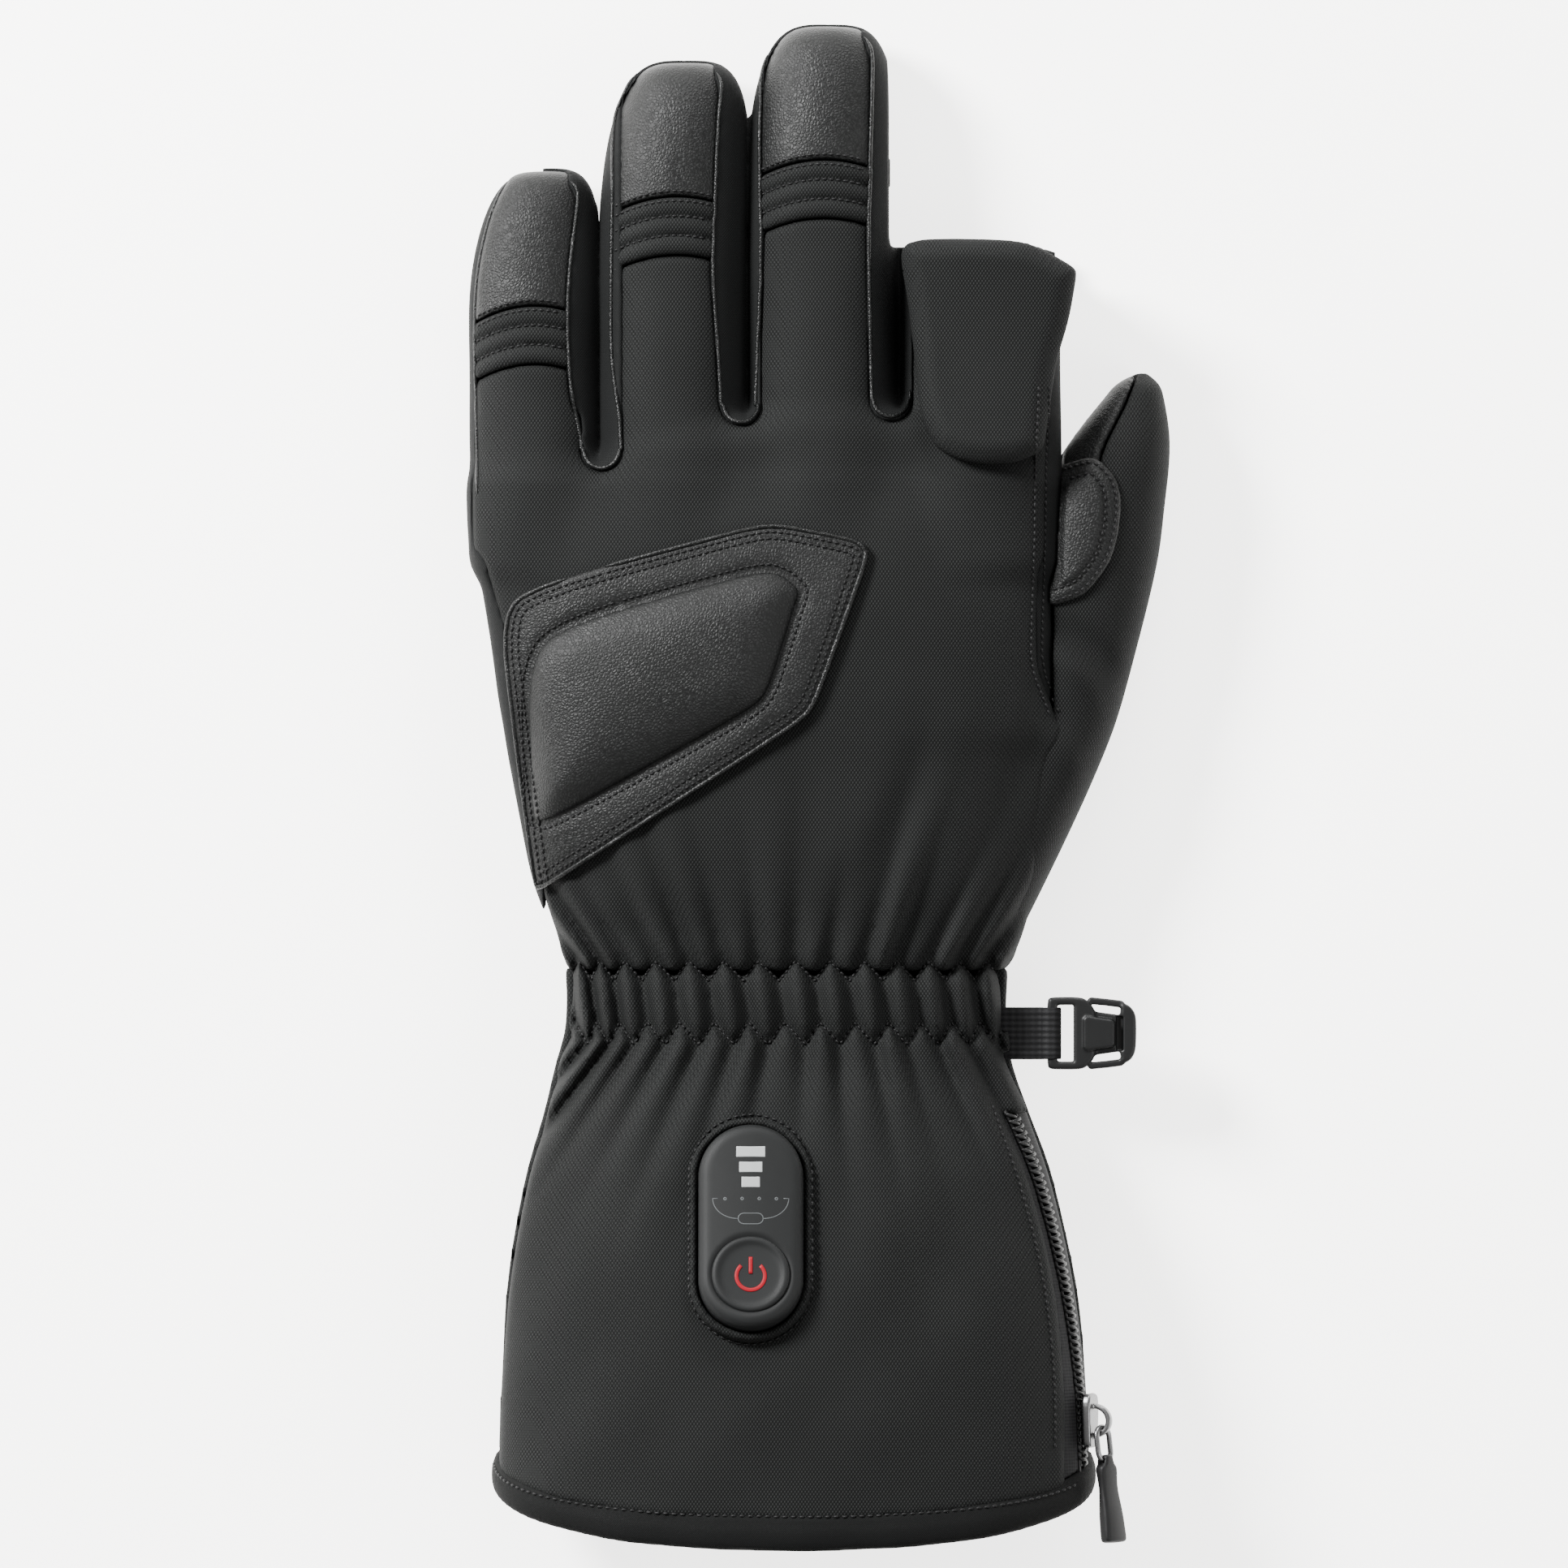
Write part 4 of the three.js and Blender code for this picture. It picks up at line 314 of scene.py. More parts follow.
def column(rows, name, at):
    """Smooth values of one column of a table, at an array of places."""
    spots = np.array([row["at"] for row in rows], float)
    values = np.array([row[name] for row in rows], float)
    slopes = np.empty_like(values)
    slopes[1:-1] = (values[2:] - values[:-2]) / (spots[2:] - spots[:-2])
    slopes[0] = (values[1] - values[0]) / (spots[1] - spots[0])
    slopes[-1] = (values[-1] - values[-2]) / (spots[-1] - spots[-2])
    at = np.clip(at, spots[0], spots[-1])
    i = np.clip(np.searchsorted(spots, at, side="right") - 1, 0, len(spots) - 2)
    span = spots[i + 1] - spots[i]
    t = (at - spots[i]) / span
    t2, t3 = t * t, t * t * t
    return (
        (2 * t3 - 3 * t2 + 1) * values[i]
        + (t3 - 2 * t2 + t) * slopes[i] * span
        + (3 * t2 - 2 * t3) * values[i + 1]
        + (t3 - t2) * slopes[i + 1] * span
    )


def smooth_min(a, b, radius):
    """Union of two distance fields with a fillet."""
    near = np.maximum(radius - np.abs(a - b), 0) / radius
    return np.minimum(a, b) - near * near * radius / 4


def smooth_max(a, b, radius):
    """Intersection of two distance fields with a rounded edge."""
    near = np.maximum(radius - np.abs(a - b), 0) / radius
    return np.maximum(a, b) + near * near * radius / 4


def step_up(values, low, high):
    """0 below low, 1 above high, smooth between."""
    t = np.clip((values - low) / (high - low), 0, 1)
    return t * t * (3 - 2 * t)


class Grid:
    """Sample places in a box, in millimetres."""

    def __init__(self, low, high, step):
        self.low = np.array(low, float)
        self.step = step
        counts = np.ceil((np.array(high, float) - self.low) / step).astype(int) + 1
        axes = [(self.low[i] + step * np.arange(counts[i])).astype(np.float32) for i in range(3)]
        self.x = axes[0][:, None, None]
        self.y = axes[1][None, :, None]
        self.z = axes[2][None, None, :]

    def distance(self, radial):
        """Distance to the surface radial = 1, from a field that grows evenly outwards."""
        slopes = np.gradient(radial.astype(np.float32), self.step)
        size = np.sqrt(sum(s * s for s in slopes))
        return (radial - 1) / np.maximum(size, 1e-3)


def outline_distance(grid, points):
    """Distance to a closed outline seen from above, negative inside it."""
    x, y = np.broadcast_arrays(grid.x, grid.y)
    nearest = np.full(x.shape, 1e9, np.float32)
    inside = np.zeros(x.shape, bool)
    for (x0, y0), (x1, y1) in zip(points, points[1:] + points[:1]):
        dx, dy = x1 - x0, y1 - y0
        t = np.clip(((x - x0) * dx + (y - y0) * dy) / max(dx * dx + dy * dy, 1e-9), 0, 1)
        nearest = np.minimum(nearest, (x - x0 - t * dx) ** 2 + (y - y0 - t * dy) ** 2)
        if y0 != y1:
            inside ^= ((y0 > y) != (y1 > y)) & (x < dx * (y - y0) / dy + x0)
    return np.where(inside, -1, 1) * np.sqrt(nearest)


def rounded(points, times=3, share=0.2):
    """A closed outline with its corners cut round."""
    for _ in range(times):
        cut = []
        for a, b in zip(points, points[1:] + points[:1]):
            cut.append((a[0] + (b[0] - a[0]) * share, a[1] + (b[1] - a[1]) * share))
            cut.append((b[0] + (a[0] - b[0]) * share, b[1] + (a[1] - b[1]) * share))
        points = cut
        share = 0.25
    return points


def fingers_of(g):
    """Axis, width, length and lean of each finger."""
    pinky_axis = g.palm_centre - g.palm_width / 2 - 2.4 + g.pinky_width / 2
    gap = 1.0
    ring_axis = pinky_axis + (g.pinky_width + g.ring_width) / 2 + gap
    middle_axis = ring_axis + (g.ring_width + g.middle_width) / 2 + gap
    index_axis = middle_axis + (g.middle_width + g.index_width) / 2 + gap
    rows = {
        "pinky": (pinky_axis, g.pinky_width, g.pinky_length, g.finger_height * 0.906, 3.0, 1.5),
        "ring": (ring_axis, g.ring_width, g.ring_length, g.finger_height, 2.6, 0),
        "middle": (middle_axis, g.middle_width, g.middle_length, g.finger_height, 1.4, 0),
        "index": (index_axis, g.index_width, g.index_length, g.finger_height * 0.98, 0, 0),
    }
    names = ("axis", "width", "length", "height", "lean", "shift")
    made = {key: SimpleNamespace(name=key, **dict(zip(names, row))) for key, row in rows.items()}
    for finger in made.values():
        finger.tip = g.knuckle_y + finger.length
        finger.open = finger.name == "index"
    return made


def body_section(g, y):
    """Edges and heights of the hand, wrist and gauntlet at places along the arm."""
    span = g.knuckle_y - g.wrist_y
    at = (g.knuckle_y - y) / span
    down = np.maximum((g.wrist_y - y) / g.cuff_length, 0)
    last = HAND_ROWS[-1]["at"]
    blend = np.clip((at - last) / (1 - last), 0, 1)
    hand = {name: column(HAND_ROWS, name, at) for name in ("left", "right", "top", "side")}
    cuff = {name: column(CUFF_ROWS, name, down) for name in ("left", "right", "top", "side")}

    def mix(a, b):
        return a * (1 - blend) + b * blend

    half, wide = g.palm_width / 2, g.cuff_width / 2
    return SimpleNamespace(
        left=mix(g.palm_centre - hand["left"] * half, g.cuff_centre - cuff["left"] * wide),
        right=mix(g.palm_centre + hand["right"] * half, g.cuff_centre + cuff["right"] * wide),
        top=mix(hand["top"] * g.palm_height, cuff["top"] * g.cuff_height),
        side=mix(hand["side"] * g.palm_height, cuff["side"] * g.cuff_height),
    )


# Powers of the curves across the back, the fingers and the underside
BACK_ROUND = 2.3
FINGER_ROUND = 2.2
SOLE_ROUND = 2.5

# Slope of the open end, and shares of a finger's height, height and width
HEM_LEAN = 0.3
FINGER_SIDE = 0.45
ROOT_RISE = 0.3
TIP_REACH = 1.1

# Fingers with a leather cap, ribs below each cap, and the share of the lean that the cap follows
CAPPED = ("pinky", "ring", "middle")
RIBS = 3
CAP_LEAN = 0.4

# Millimetres. Neighbouring panels overlap by MEET at a seam that would let light through.
STEP = 0.95
MEET = 0.4
SEAM_GAP = 0.15
JOIN = 5
SOLE_EDGE = 1.6
CAP_ARC = 4.2
UPPER_TOOTH, LOWER_TOOTH = 2.1, 2.3
HEM_LAP = 1.2
CUFF_PADDING = 0.8
INDEX_BORDER = 22.8
FAR = -50

# Share of each stitch that is the gap to the next one
STITCH_GAP = 0.35


def lean_at(g, y):
    """How far the gauntlet's section leans at a place along it."""
    return HEM_LEAN * np.clip(((g.wrist_y - y) / g.cuff_length - 0.4) / 0.6, 0, 1.3)


def leaned(g, grid):
    """Place along the arm of each sample, with the lean of the open end taken out."""
    side = body_section(g, grid.y).side
    return grid.y + lean_at(g, grid.y) * (grid.z - side)


def tube(grid, section, top_round, flat):
    """Radial field of a padded tube along Y: 1 on its surface."""
    middle = (section.left + section.right) / 2
    half = (section.right - section.left) / 2
    across = np.abs(grid.x - middle) / half
    above = grid.z - section.side
    upper = np.maximum(above, 0) / (section.top - section.side)
    lower = np.maximum(-above, 0) / np.maximum(section.side + flat, 0.5)
    outer = across**top_round + np.where(above > 0, upper**top_round, lower**SOLE_ROUND)
    return np.maximum(outer, 1e-6) ** (1 / top_round)


def crotch_line(g, x):
    """How far up the hand reaches between the fingers."""
    xs = [-90] + [row["x"] * g.palm_width for row in CROTCHES] + [90]
    ys = [row["y"] * g.palm_width for row in CROTCHES]
    return np.interp(x, xs, [ys[0] - 2] + ys + [ys[-1]]) - 1


def body_field(g, grid):
    """Hand, wrist and gauntlet."""
    along = leaned(g, grid)
    field = grid.distance(tube(grid, body_section(g, along), BACK_ROUND, g.flat))
    return smooth_max(field, grid.y - crotch_line(g, grid.x), 6)


def finger_section(finger, y):
    """Edges and heights of a finger at places along it."""
    share = np.clip((finger.tip - y) / finger.length, 0, None)
    grow = 1 + ROOT_RISE * np.minimum(share, 1) ** 2
    side = finger.height * FINGER_SIDE * grow
    shift = finger.lean * np.maximum(0, 1 - share / 0.6) ** 2
    shift = shift + finger.shift * np.minimum(share, 1) ** 2
    centre = finger.axis + shift
    half = finger.width / 2
    return SimpleNamespace(left=centre - half, right=centre + half, top=finger.height * grow, side=side)


def beside(grid, section):
    """Distance to the side of a section, which its surface can't be nearer than."""
    return np.maximum(section.left - grid.x, grid.x - section.right)


def finger_field(g, grid, finger):
    """A finger from its rounded tip into the hand."""
    section = finger_section(finger, grid.y)
    radial = tube(grid, section, FINGER_ROUND, g.flat)
    if not finger.open:
        back = (finger.tip - grid.y) / (TIP_REACH * finger.width)
        radial = (radial**4 + np.maximum(1 - back, 0) ** 2) ** 0.25
    field = np.maximum(grid.distance(radial), beside(grid, section))
    root = finger.tip - grid.y - finger.length - 18
    return smooth_max(field, root, 4)


def thumb_section(g, y):
    """Edges and heights of the thumb at places along it."""
    at = (g.thumb_tip_y - y) / g.thumb_length
    right = g.thumb_edge - column(THUMB_ROWS, "outer", at) * g.thumb_width
    return SimpleNamespace(
        left=right - column(THUMB_ROWS, "wide", at) * g.thumb_width,
        right=right,
        top=column(THUMB_ROWS, "top", at) * g.thumb_height,
        side=g.thumb_height * FINGER_SIDE,
    )


def thumb_field(g, grid):
    """The thumb, from its tip to the wrist."""
    section = thumb_section(g, grid.y)
    radial = tube(grid, section, FINGER_ROUND, g.flat)
    back = (g.thumb_tip_y - grid.y) / 4
    radial = (radial**4 + np.maximum(1 - back, 0) ** 2) ** 0.25
    field = np.maximum(grid.distance(radial), beside(grid, section))
    return smooth_max(field, g.wrist_y + 3 - grid.y, 3)


def outer_field(g, grid, parts):
    """The glove's outside, from the named parts."""
    made = fingers_of(g)
    tubes = [finger_field(g, grid, made[name]) for name in parts if name in made]
    field = None
    if "hand" in parts:
        field = body_field(g, grid)
    if tubes:
        fingers = tubes[0]
        for other in tubes[1:]:
            fingers = np.minimum(fingers, other)
        field = fingers if field is None else smooth_min(field, fingers, JOIN)
    if "thumb" in parts:
        thumb = thumb_field(g, grid)
        field = thumb if field is None else smooth_min(field, thumb, JOIN)
    return smooth_max(field, -grid.z, SOLE_EDGE)


# Displacements


def phase_at(g, x, y):
    """Gather count across the wrist: whole at the upper tips, with the gathers' slant and fan."""
    tips = np.array(PUCKER_TIPS) * g.palm_width
    down = np.clip((g.wrist_y + 2 - y) / (g.row_gap + 4), 0, 1)
    slant = 2.1 * down
    away = np.maximum(y - g.wrist_y - 2, 0) + np.maximum(g.wrist_y - g.row_gap - 2 - y, 0)
    centre = g.cuff_centre - 1 + 5 * down
    spread = centre + (x - slant - centre) / (1 + 0.016 * away)
    first, last = tips[1] - tips[0], tips[-1] - tips[-2]
    reach = np.arange(-6, 0)
    full = np.concatenate([tips[0] + reach * first, tips, tips[-1] + np.arange(1, 7) * last])
    return np.interp(spread, full, np.arange(-6, len(tips) + 6))


def zigzag(phase):
    """1 at whole phases, -1 half way between them, straight between."""
    return 1 - 4 * np.abs(phase - np.round(phase))


def gathers(g, x, y):
    """Height of the gathered cloth over the plain back, near the wrist."""
    phase = phase_at(g, x, y)
    turn = 2 * np.pi * phase
    tooth = zigzag(phase)
    upper = g.wrist_y + UPPER_TOOTH * tooth
    lower = g.wrist_y - g.row_gap - LOWER_TOOTH * tooth
    between = np.clip((upper - y) / (upper - lower), 0, 1)
    leaf = np.sqrt(np.maximum(np.sin(np.pi * between), 0)) * (0.5 + 0.5 * np.cos(turn)) ** 0.7
    which = np.floor(phase)
    reach_up = 17 + 7 * np.sin(which * 2.3) + 3 * np.sin(which * 5.1)
    reach_down = 19 + 8 * np.sin(which * 1.7 + 1) + 4 * np.sin(which * 4.3)
    vary = 0.8 + 0.2 * np.sin(which * 2.9 + 0.5)
    above, below = np.maximum(y - upper, 0), np.maximum(lower - y, 0)
    ridge = (0.5 - 0.5 * np.cos(turn)) ** 0.8
    fade_up = np.exp(-((above / reach_up) ** 1.6)) * (1 - np.exp(-above / 3))
    fade_down = np.exp(-((below / reach_down) ** 1.6)) * (1 - np.exp(-below / 1.5))
    inside = (y < upper) & (y > lower)
    height = np.where(inside, leaf * 1.05, ridge * np.where(y >= upper, fade_up, fade_down) * 1.2 * vary)
    near = np.minimum(np.abs(y - upper), np.abs(y - lower)) * 0.68
    groove = np.exp(-((near / 0.8) ** 2)) * 0.16
    draw = np.exp(-((np.maximum(above, below) / 22) ** 2)) * 0.42
    return g.pucker * (height - groove - draw)


def folds(x, y):
    """Soft folds and wrinkles of the cloth."""
    total = 0
    for row in FOLDS:
        turn = math.radians(row["turn"])
        along = (x - row["x"]) * math.cos(turn) + (y - row["y"]) * math.sin(turn)
        across = (y - row["y"]) * math.cos(turn) - (x - row["x"]) * math.sin(turn)
        bow = across + along * along / (6 * row["long"])
        total = total + row["high"] * np.exp(-((2 * along / row["long"]) ** 2) - (bow / row["wide"]) ** 2)
    return total


def unevenness(x, y, z):
    """Slight rise and fall that padded cloth has everywhere."""
    return (
        0.16 * np.sin(x / 7.3 + y / 19.0 + 1.3)
        + 0.14 * np.sin(y / 11.7 - x / 23.0)
        + 0.10 * np.sin(x / 4.9 - y / 6.1 + z / 8.0)
    )


def cloth_height(g, grid):
    """All displacements of the cloth, over its whole outside."""
    side = body_section(g, grid.y).side
    on_back = step_up(grid.z, side - 6, side + 6)
    flat = gathers(g, grid.x, grid.y) + folds(grid.x, grid.y)
    clear = step_up(grid.z, 1, 7)
    return flat * on_back + unevenness(grid.x, grid.y, grid.z) * clear


def back_from_tip(grid, finger):
    """Distance back from a finger's tip, along arcs like the edge of its cap."""
    middle = finger.axis + finger.lean * CAP_LEAN
    q = (grid.x - middle) / (finger.width / 2)
    return finger.tip - grid.y - CAP_ARC * q * q


def rib_height(g, grid, finger):
    """Stitched ribs across a finger below its cap."""
    place = (back_from_tip(grid, finger) - g.cap_length) / g.rib_pitch
    within = step_up(place, -0.1, 0.1) * (1 - step_up(place, RIBS - 0.1, RIBS + 0.1))
    hump = np.abs(np.sin(np.pi * place)) ** 0.6
    return within * (1.05 * hump - 0.35)


# Regions, seen from above


def finger_outline(finger):
    """Seam round the back of a finger."""
    rows = FINGER_SEAMS[finger.name]
    places = np.linspace(rows[0]["at"], rows[-1]["at"], 24)
    ys = finger.tip - places * finger.length
    half = finger.width / 2
    left = finger.axis + column(rows, "left", places) * half
    right = finger.axis + column(rows, "right", places) * half
    points = list(zip(left, ys)) + list(zip(right[::-1], ys[::-1]))
    if not finger.open:
        past = finger.tip + 4
        points = [(left[0] + 1.2, past), *points, (right[0] - 0.6, past)]
    return [(float(a), float(b)) for a, b in points]


def radial_seam(g, y):
    """Seam on the thumb side of the hand, and below it the panel's rolled edge."""
    spots = [row["y"] * g.palm_width for row in RADIAL_SEAM][::-1]
    values = [row["x"] * g.palm_width for row in RADIAL_SEAM][::-1]
    return np.interp(y, spots, values)


def hand_outline(g):
    """Region of the back panel on the hand, up to the roots of the fingers."""
    ys = np.linspace(g.wrist_y + 0.1, g.knuckle_y + 14, 40)
    section = body_section(g, ys)
    swell = np.sin(np.pi * np.clip((g.knuckle_y - ys) / 100 * 0.75 + 0.25, 0, 1))
    left = section.left + 0.8 + 3.2 * np.maximum(swell, 0) * (1 - 0.85 * step_up(ys, 25, 52))
    edge = 12.2
    right = np.where(ys > edge, radial_seam(g, ys), section.right + 3)
    points = list(zip(left, ys)) + list(zip(right[::-1], ys[::-1]))
    return [(float(a), float(b)) for a, b in points]


def crotch_distance(g, grid):
    """Distance to the three slots between the fingers."""
    total = None
    for row in CROTCHES:
        x, y, half = (row[key] * g.palm_width for key in ("x", "y", "half"))
        below = np.maximum(y + half - 1.2 - grid.y, 0)
        slot = np.sqrt((grid.x - x) ** 2 + below**2) - half
        total = slot if total is None else np.minimum(total, slot)
    return total


def back_region(g, grid):
    """Distance to the region of all back panels, hand and fingers."""
    region = outline_distance(grid, hand_outline(g))
    slots = crotch_distance(g, grid)
    for finger in fingers_of(g).values():
        region = smooth_min(region, outline_distance(grid, finger_outline(finger)), JOIN)
    return np.maximum(region, -slots)


def band_distance(grid, finger, start, end):
    """Distance to a band across a finger, between two places back from its tip."""
    back = back_from_tip(grid, finger)
    return np.maximum(start - back, back - end)


def thumb_edge_line(g, y):
    """Side of the hand, where the thumb joins it."""
    edge = body_section(g, np.minimum(y, g.knuckle_y)).right
    index = fingers_of(g)["index"]
    return np.where(y > g.knuckle_y, index.axis + index.width / 2, edge) - 1


# Meshes


def clean_islands(points, quads):
    """Keeps the largest connected part of a mesh."""
    labels = np.arange(len(points))
    edges = np.concatenate([quads[:, [0, 1]], quads[:, [1, 2]], quads[:, [2, 3]]])
    while True:
        ends = labels[edges]
        ends = ends[ends[:, 0] != ends[:, 1]]
        if not len(ends):
            break
        np.minimum.at(labels, ends.max(axis=1), ends.min(axis=1))
        while not np.array_equal(labels[labels], labels):
            labels = labels[labels]
    names, counts = np.unique(labels[quads[:, 0]], return_counts=True)
    keep = labels == names[counts.argmax()]
    quads = quads[keep[quads].all(axis=1)]
    used = np.unique(quads)
    renumber = np.zeros(len(points), int)
    renumber[used] = np.arange(len(used))
    return points[used], renumber[quads]


def new_object(name, points, faces, material=None):
    """Adds a mesh, given in millimetres, to the scene."""
    mesh = bpy.data.meshes.new(name)
    mesh.from_pydata((np.asarray(points, float) * MM).tolist(), [], [list(f) for f in faces])
    mesh.validate()
    mesh.polygons.foreach_set("use_smooth", [True] * len(mesh.polygons))
    mesh.update()
    made = bpy.data.objects.new(name, mesh)
    bpy.context.scene.collection.objects.link(made)
    if material:
        mesh.materials.append(material)
    return made


def quad_object(name, points, quads, material):
    """Fast mesh from arrays of points and quads, in millimetres."""
    mesh = bpy.data.meshes.new(name)
    mesh.vertices.add(len(points))
    mesh.vertices.foreach_set("co", (points * MM).astype(np.float32).ravel())
    mesh.loops.add(quads.size)
    mesh.loops.foreach_set("vertex_index", quads.astype(np.int32).ravel())
    mesh.polygons.add(len(quads))
    mesh.polygons.foreach_set("loop_start", np.arange(0, quads.size, 4, dtype=np.int32))
    mesh.update(calc_edges=True)
    mesh.validate()
    mesh.polygons.foreach_set("use_smooth", np.ones(len(mesh.polygons), bool))
    mesh.materials.append(material)
    mesh.update()
    made = bpy.data.objects.new(name, mesh)
    bpy.context.scene.collection.objects.link(made)
    return made


def field_object(name, grid, field, material):
    """Closed mesh over the part of the box where the field is negative."""
    band = 3 * grid.step
    field = np.clip(field, -band, band).astype(np.float32)
    for axis in range(3):
        edge = [slice(None)] * 3
        for end in (0, -1):
            edge[axis] = end
            field[tuple(edge)] = band
    cells = vdb.FloatGrid(background=band)
    cells.copyFromArray(np.ascontiguousarray(field), tolerance=1e-5)
    points, quads = cells.convertToQuads(0.0)
    points = points.astype(float) * grid.step + grid.low
    points, quads = clean_islands(points, quads.astype(np.int64))
    a, b, c, d = (points[quads[:, i]] for i in range(4))
    volume = np.einsum("ij,ij->i", a, np.cross(b, c) + np.cross(c, d)).sum()
    if volume < 0:
        quads = quads[:, ::-1]
    return quad_object(name, points, np.ascontiguousarray(quads), material)


def placed(made, slot, *nodes):
    """Fixes a finished piece to the frame, in place of its nodes."""
    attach(made, "root")
    if nodes:
        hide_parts(*nodes)
    return made


def piece(name, grid, field, slot, node, world=None):
    """A finished mesh over a field, moved to its place, for a node of the frame."""
    made = field_object(name, grid, field, material_for(slot))
    if world is not None:
        made.data.transform(world)
    return placed(made, slot, node)


# Materials


class Shader:
    """A material's node tree, with its places in millimetres."""

    def __init__(self, name):
        self.material = bpy.data.materials.new(name)
        self.material.use_nodes = True
        self.tree = self.material.node_tree
        self.tree.nodes.clear()
        self.surface = self.node("ShaderNodeBsdfPrincipled")
        output = self.node("ShaderNodeOutputMaterial")
        self.tree.links.new(self.surface.outputs["BSDF"], output.inputs["Surface"])
        coordinates = self.node("ShaderNodeTexCoord")
        scale = self.node("ShaderNodeVectorMath", operation="SCALE")
        scale.inputs["Scale"].default_value = 1 / MM
        self.tree.links.new(coordinates.outputs["Object"], scale.inputs[0])
        self.place = scale.outputs[0]
        self.normal = coordinates.outputs["Normal"]

    def node(self, kind, **settings):
        made = self.tree.nodes.new(kind)
        for key, value in settings.items():
            setattr(made, key, value)
        return made

    def feed(self, socket, value):
        """Links a socket or sets a plain value."""
        if isinstance(value, bpy.types.NodeSocket):
            self.tree.links.new(value, socket)
        else:
            socket.default_value = value

    def calc(self, operation, *values):
        made = self.node("ShaderNodeMath", operation=operation)
        for socket, value in zip(made.inputs, values):
            self.feed(socket, value)
        return made.outputs[0]

    def axes(self, vector):
        made = self.node("ShaderNodeSeparateXYZ")
        self.feed(made.inputs[0], vector)
        return made.outputs[0], made.outputs[1], made.outputs[2]

    def noise(self, scale, detail=2.0, rough=0.5):
        made = self.node("ShaderNodeTexNoise")
        self.feed(made.inputs["Vector"], self.place)
        made.inputs["Scale"].default_value = scale
        made.inputs["Detail"].default_value = detail
        made.inputs["Roughness"].default_value = rough
        return made.outputs["Fac"]

    def cells(self, scale):
        """Distance from the borders of an uneven net of cells."""
        made = self.node("ShaderNodeTexVoronoi", feature="DISTANCE_TO_EDGE")
        self.feed(made.inputs["Vector"], self.place)
        made.inputs["Scale"].default_value = scale
        return made.outputs["Distance"]

    def spread(self, value, low, high, to_low, to_high):
        """Value moved from one range to another, kept inside it."""
        made = self.node("ShaderNodeMapRange", clamp=True)
        for socket, item in zip(made.inputs, (value, low, high, to_low, to_high)):
            self.feed(socket, item)
        return made.outputs[0]

    def tint(self, colour, amount):
        """Colour times a changing amount."""
        made = self.node("ShaderNodeVectorMath", operation="SCALE")
        made.inputs[0].default_value = tuple(colour)
        self.feed(made.inputs["Scale"], amount)
        return made.outputs[0]

    def all_round(self, pattern):
        """A flat pattern seen from the three axes, mixed by the surface's direction."""
        x, y, z = self.axes(self.place)
        nx, ny, nz = (self.calc("MULTIPLY", n, n) for n in self.axes(self.normal))
        top = self.calc("MULTIPLY", pattern(x, y), nz)
        side = self.calc("MULTIPLY", pattern(z, y), nx)
        front = self.calc("MULTIPLY", pattern(x, z), ny)
        return self.calc("ADD", self.calc("ADD", top, side), front)

    def dots(self, a, b, across, along):
        """Staggered dots of a twill, from 0 to 1."""
        one = self.calc("SINE", self.calc("MULTIPLY", a, 2 * math.pi / across))
        two = self.calc("SINE", self.calc("MULTIPLY", b, 2 * math.pi / along))
        return self.spread(self.calc("MULTIPLY", one, two), -0.25, 0.8, 0, 1)

    def bump(self, height, depth):
        """Sets the surface's relief, with its depth in millimetres."""
        made = self.node("ShaderNodeBump")
        made.inputs["Distance"].default_value = depth * MM
        made.inputs["Strength"].default_value = 1.0
        self.feed(made.inputs["Height"], height)
        self.tree.links.new(made.outputs[0], self.surface.inputs["Normal"])

    def set(self, **values):
        """Sets inputs of the surface, each by a plain value or a socket."""
        names = {
            "colour": "Base Color",
            "rough": "Roughness",
            "metal": "Metallic",
            "specular": "Specular IOR Level",
        }
        for key, value in values.items():
            socket = self.surface.inputs[names[key]]
            if key == "colour" and not isinstance(value, bpy.types.NodeSocket):
                value = (*value, 1)
            self.feed(socket, value)


def cloth_material(name, colour, across, along, depth, contrast=2.2):
    """Dotted twill cloth with slight wear."""
    s = Shader(name)
    weave = s.all_round(lambda a, b: s.dots(a, b, across, along))
    fine = s.noise(2.6, 3)
    wear = s.noise(0.05, 4)
    light = s.calc("MULTIPLY_ADD", weave, contrast, 0.35)
    light = s.calc("MULTIPLY", light, s.spread(fine, 0.3, 0.7, 0.86, 1.14))
    light = s.calc("MULTIPLY", light, s.spread(wear, 0.35, 0.7, 0.94, 1.1))
    rough = s.spread(fine, 0.3, 0.7, 0.74, 0.9)
    s.set(colour=s.tint(colour, light), rough=rough, specular=0.085)
    height = s.calc("MULTIPLY_ADD", fine, 0.4, weave)
    s.bump(height, depth)
    return s.material


def leather_material(name, colour, rough=0.5):
    """Pebbled leather with worn high spots."""
    s = Shader(name)
    pebble = s.spread(s.cells(1.4), 0.0, 0.32, 0, 1)
    small = s.noise(4.2, 3)
    wear = s.noise(0.09, 5, 0.6)
    light = s.spread(pebble, 0, 1, 0.3, 1.35)
    light = s.calc("MULTIPLY", light, s.spread(wear, 0.4, 0.75, 0.95, 1.2))
    polish = s.spread(wear, 0.35, 0.75, rough + 0.06, rough - 0.06)
    s.set(colour=s.tint(colour, light), rough=polish, specular=0.17)
    s.bump(s.calc("MULTIPLY_ADD", small, 0.3, pebble), 0.07)
    return s.material


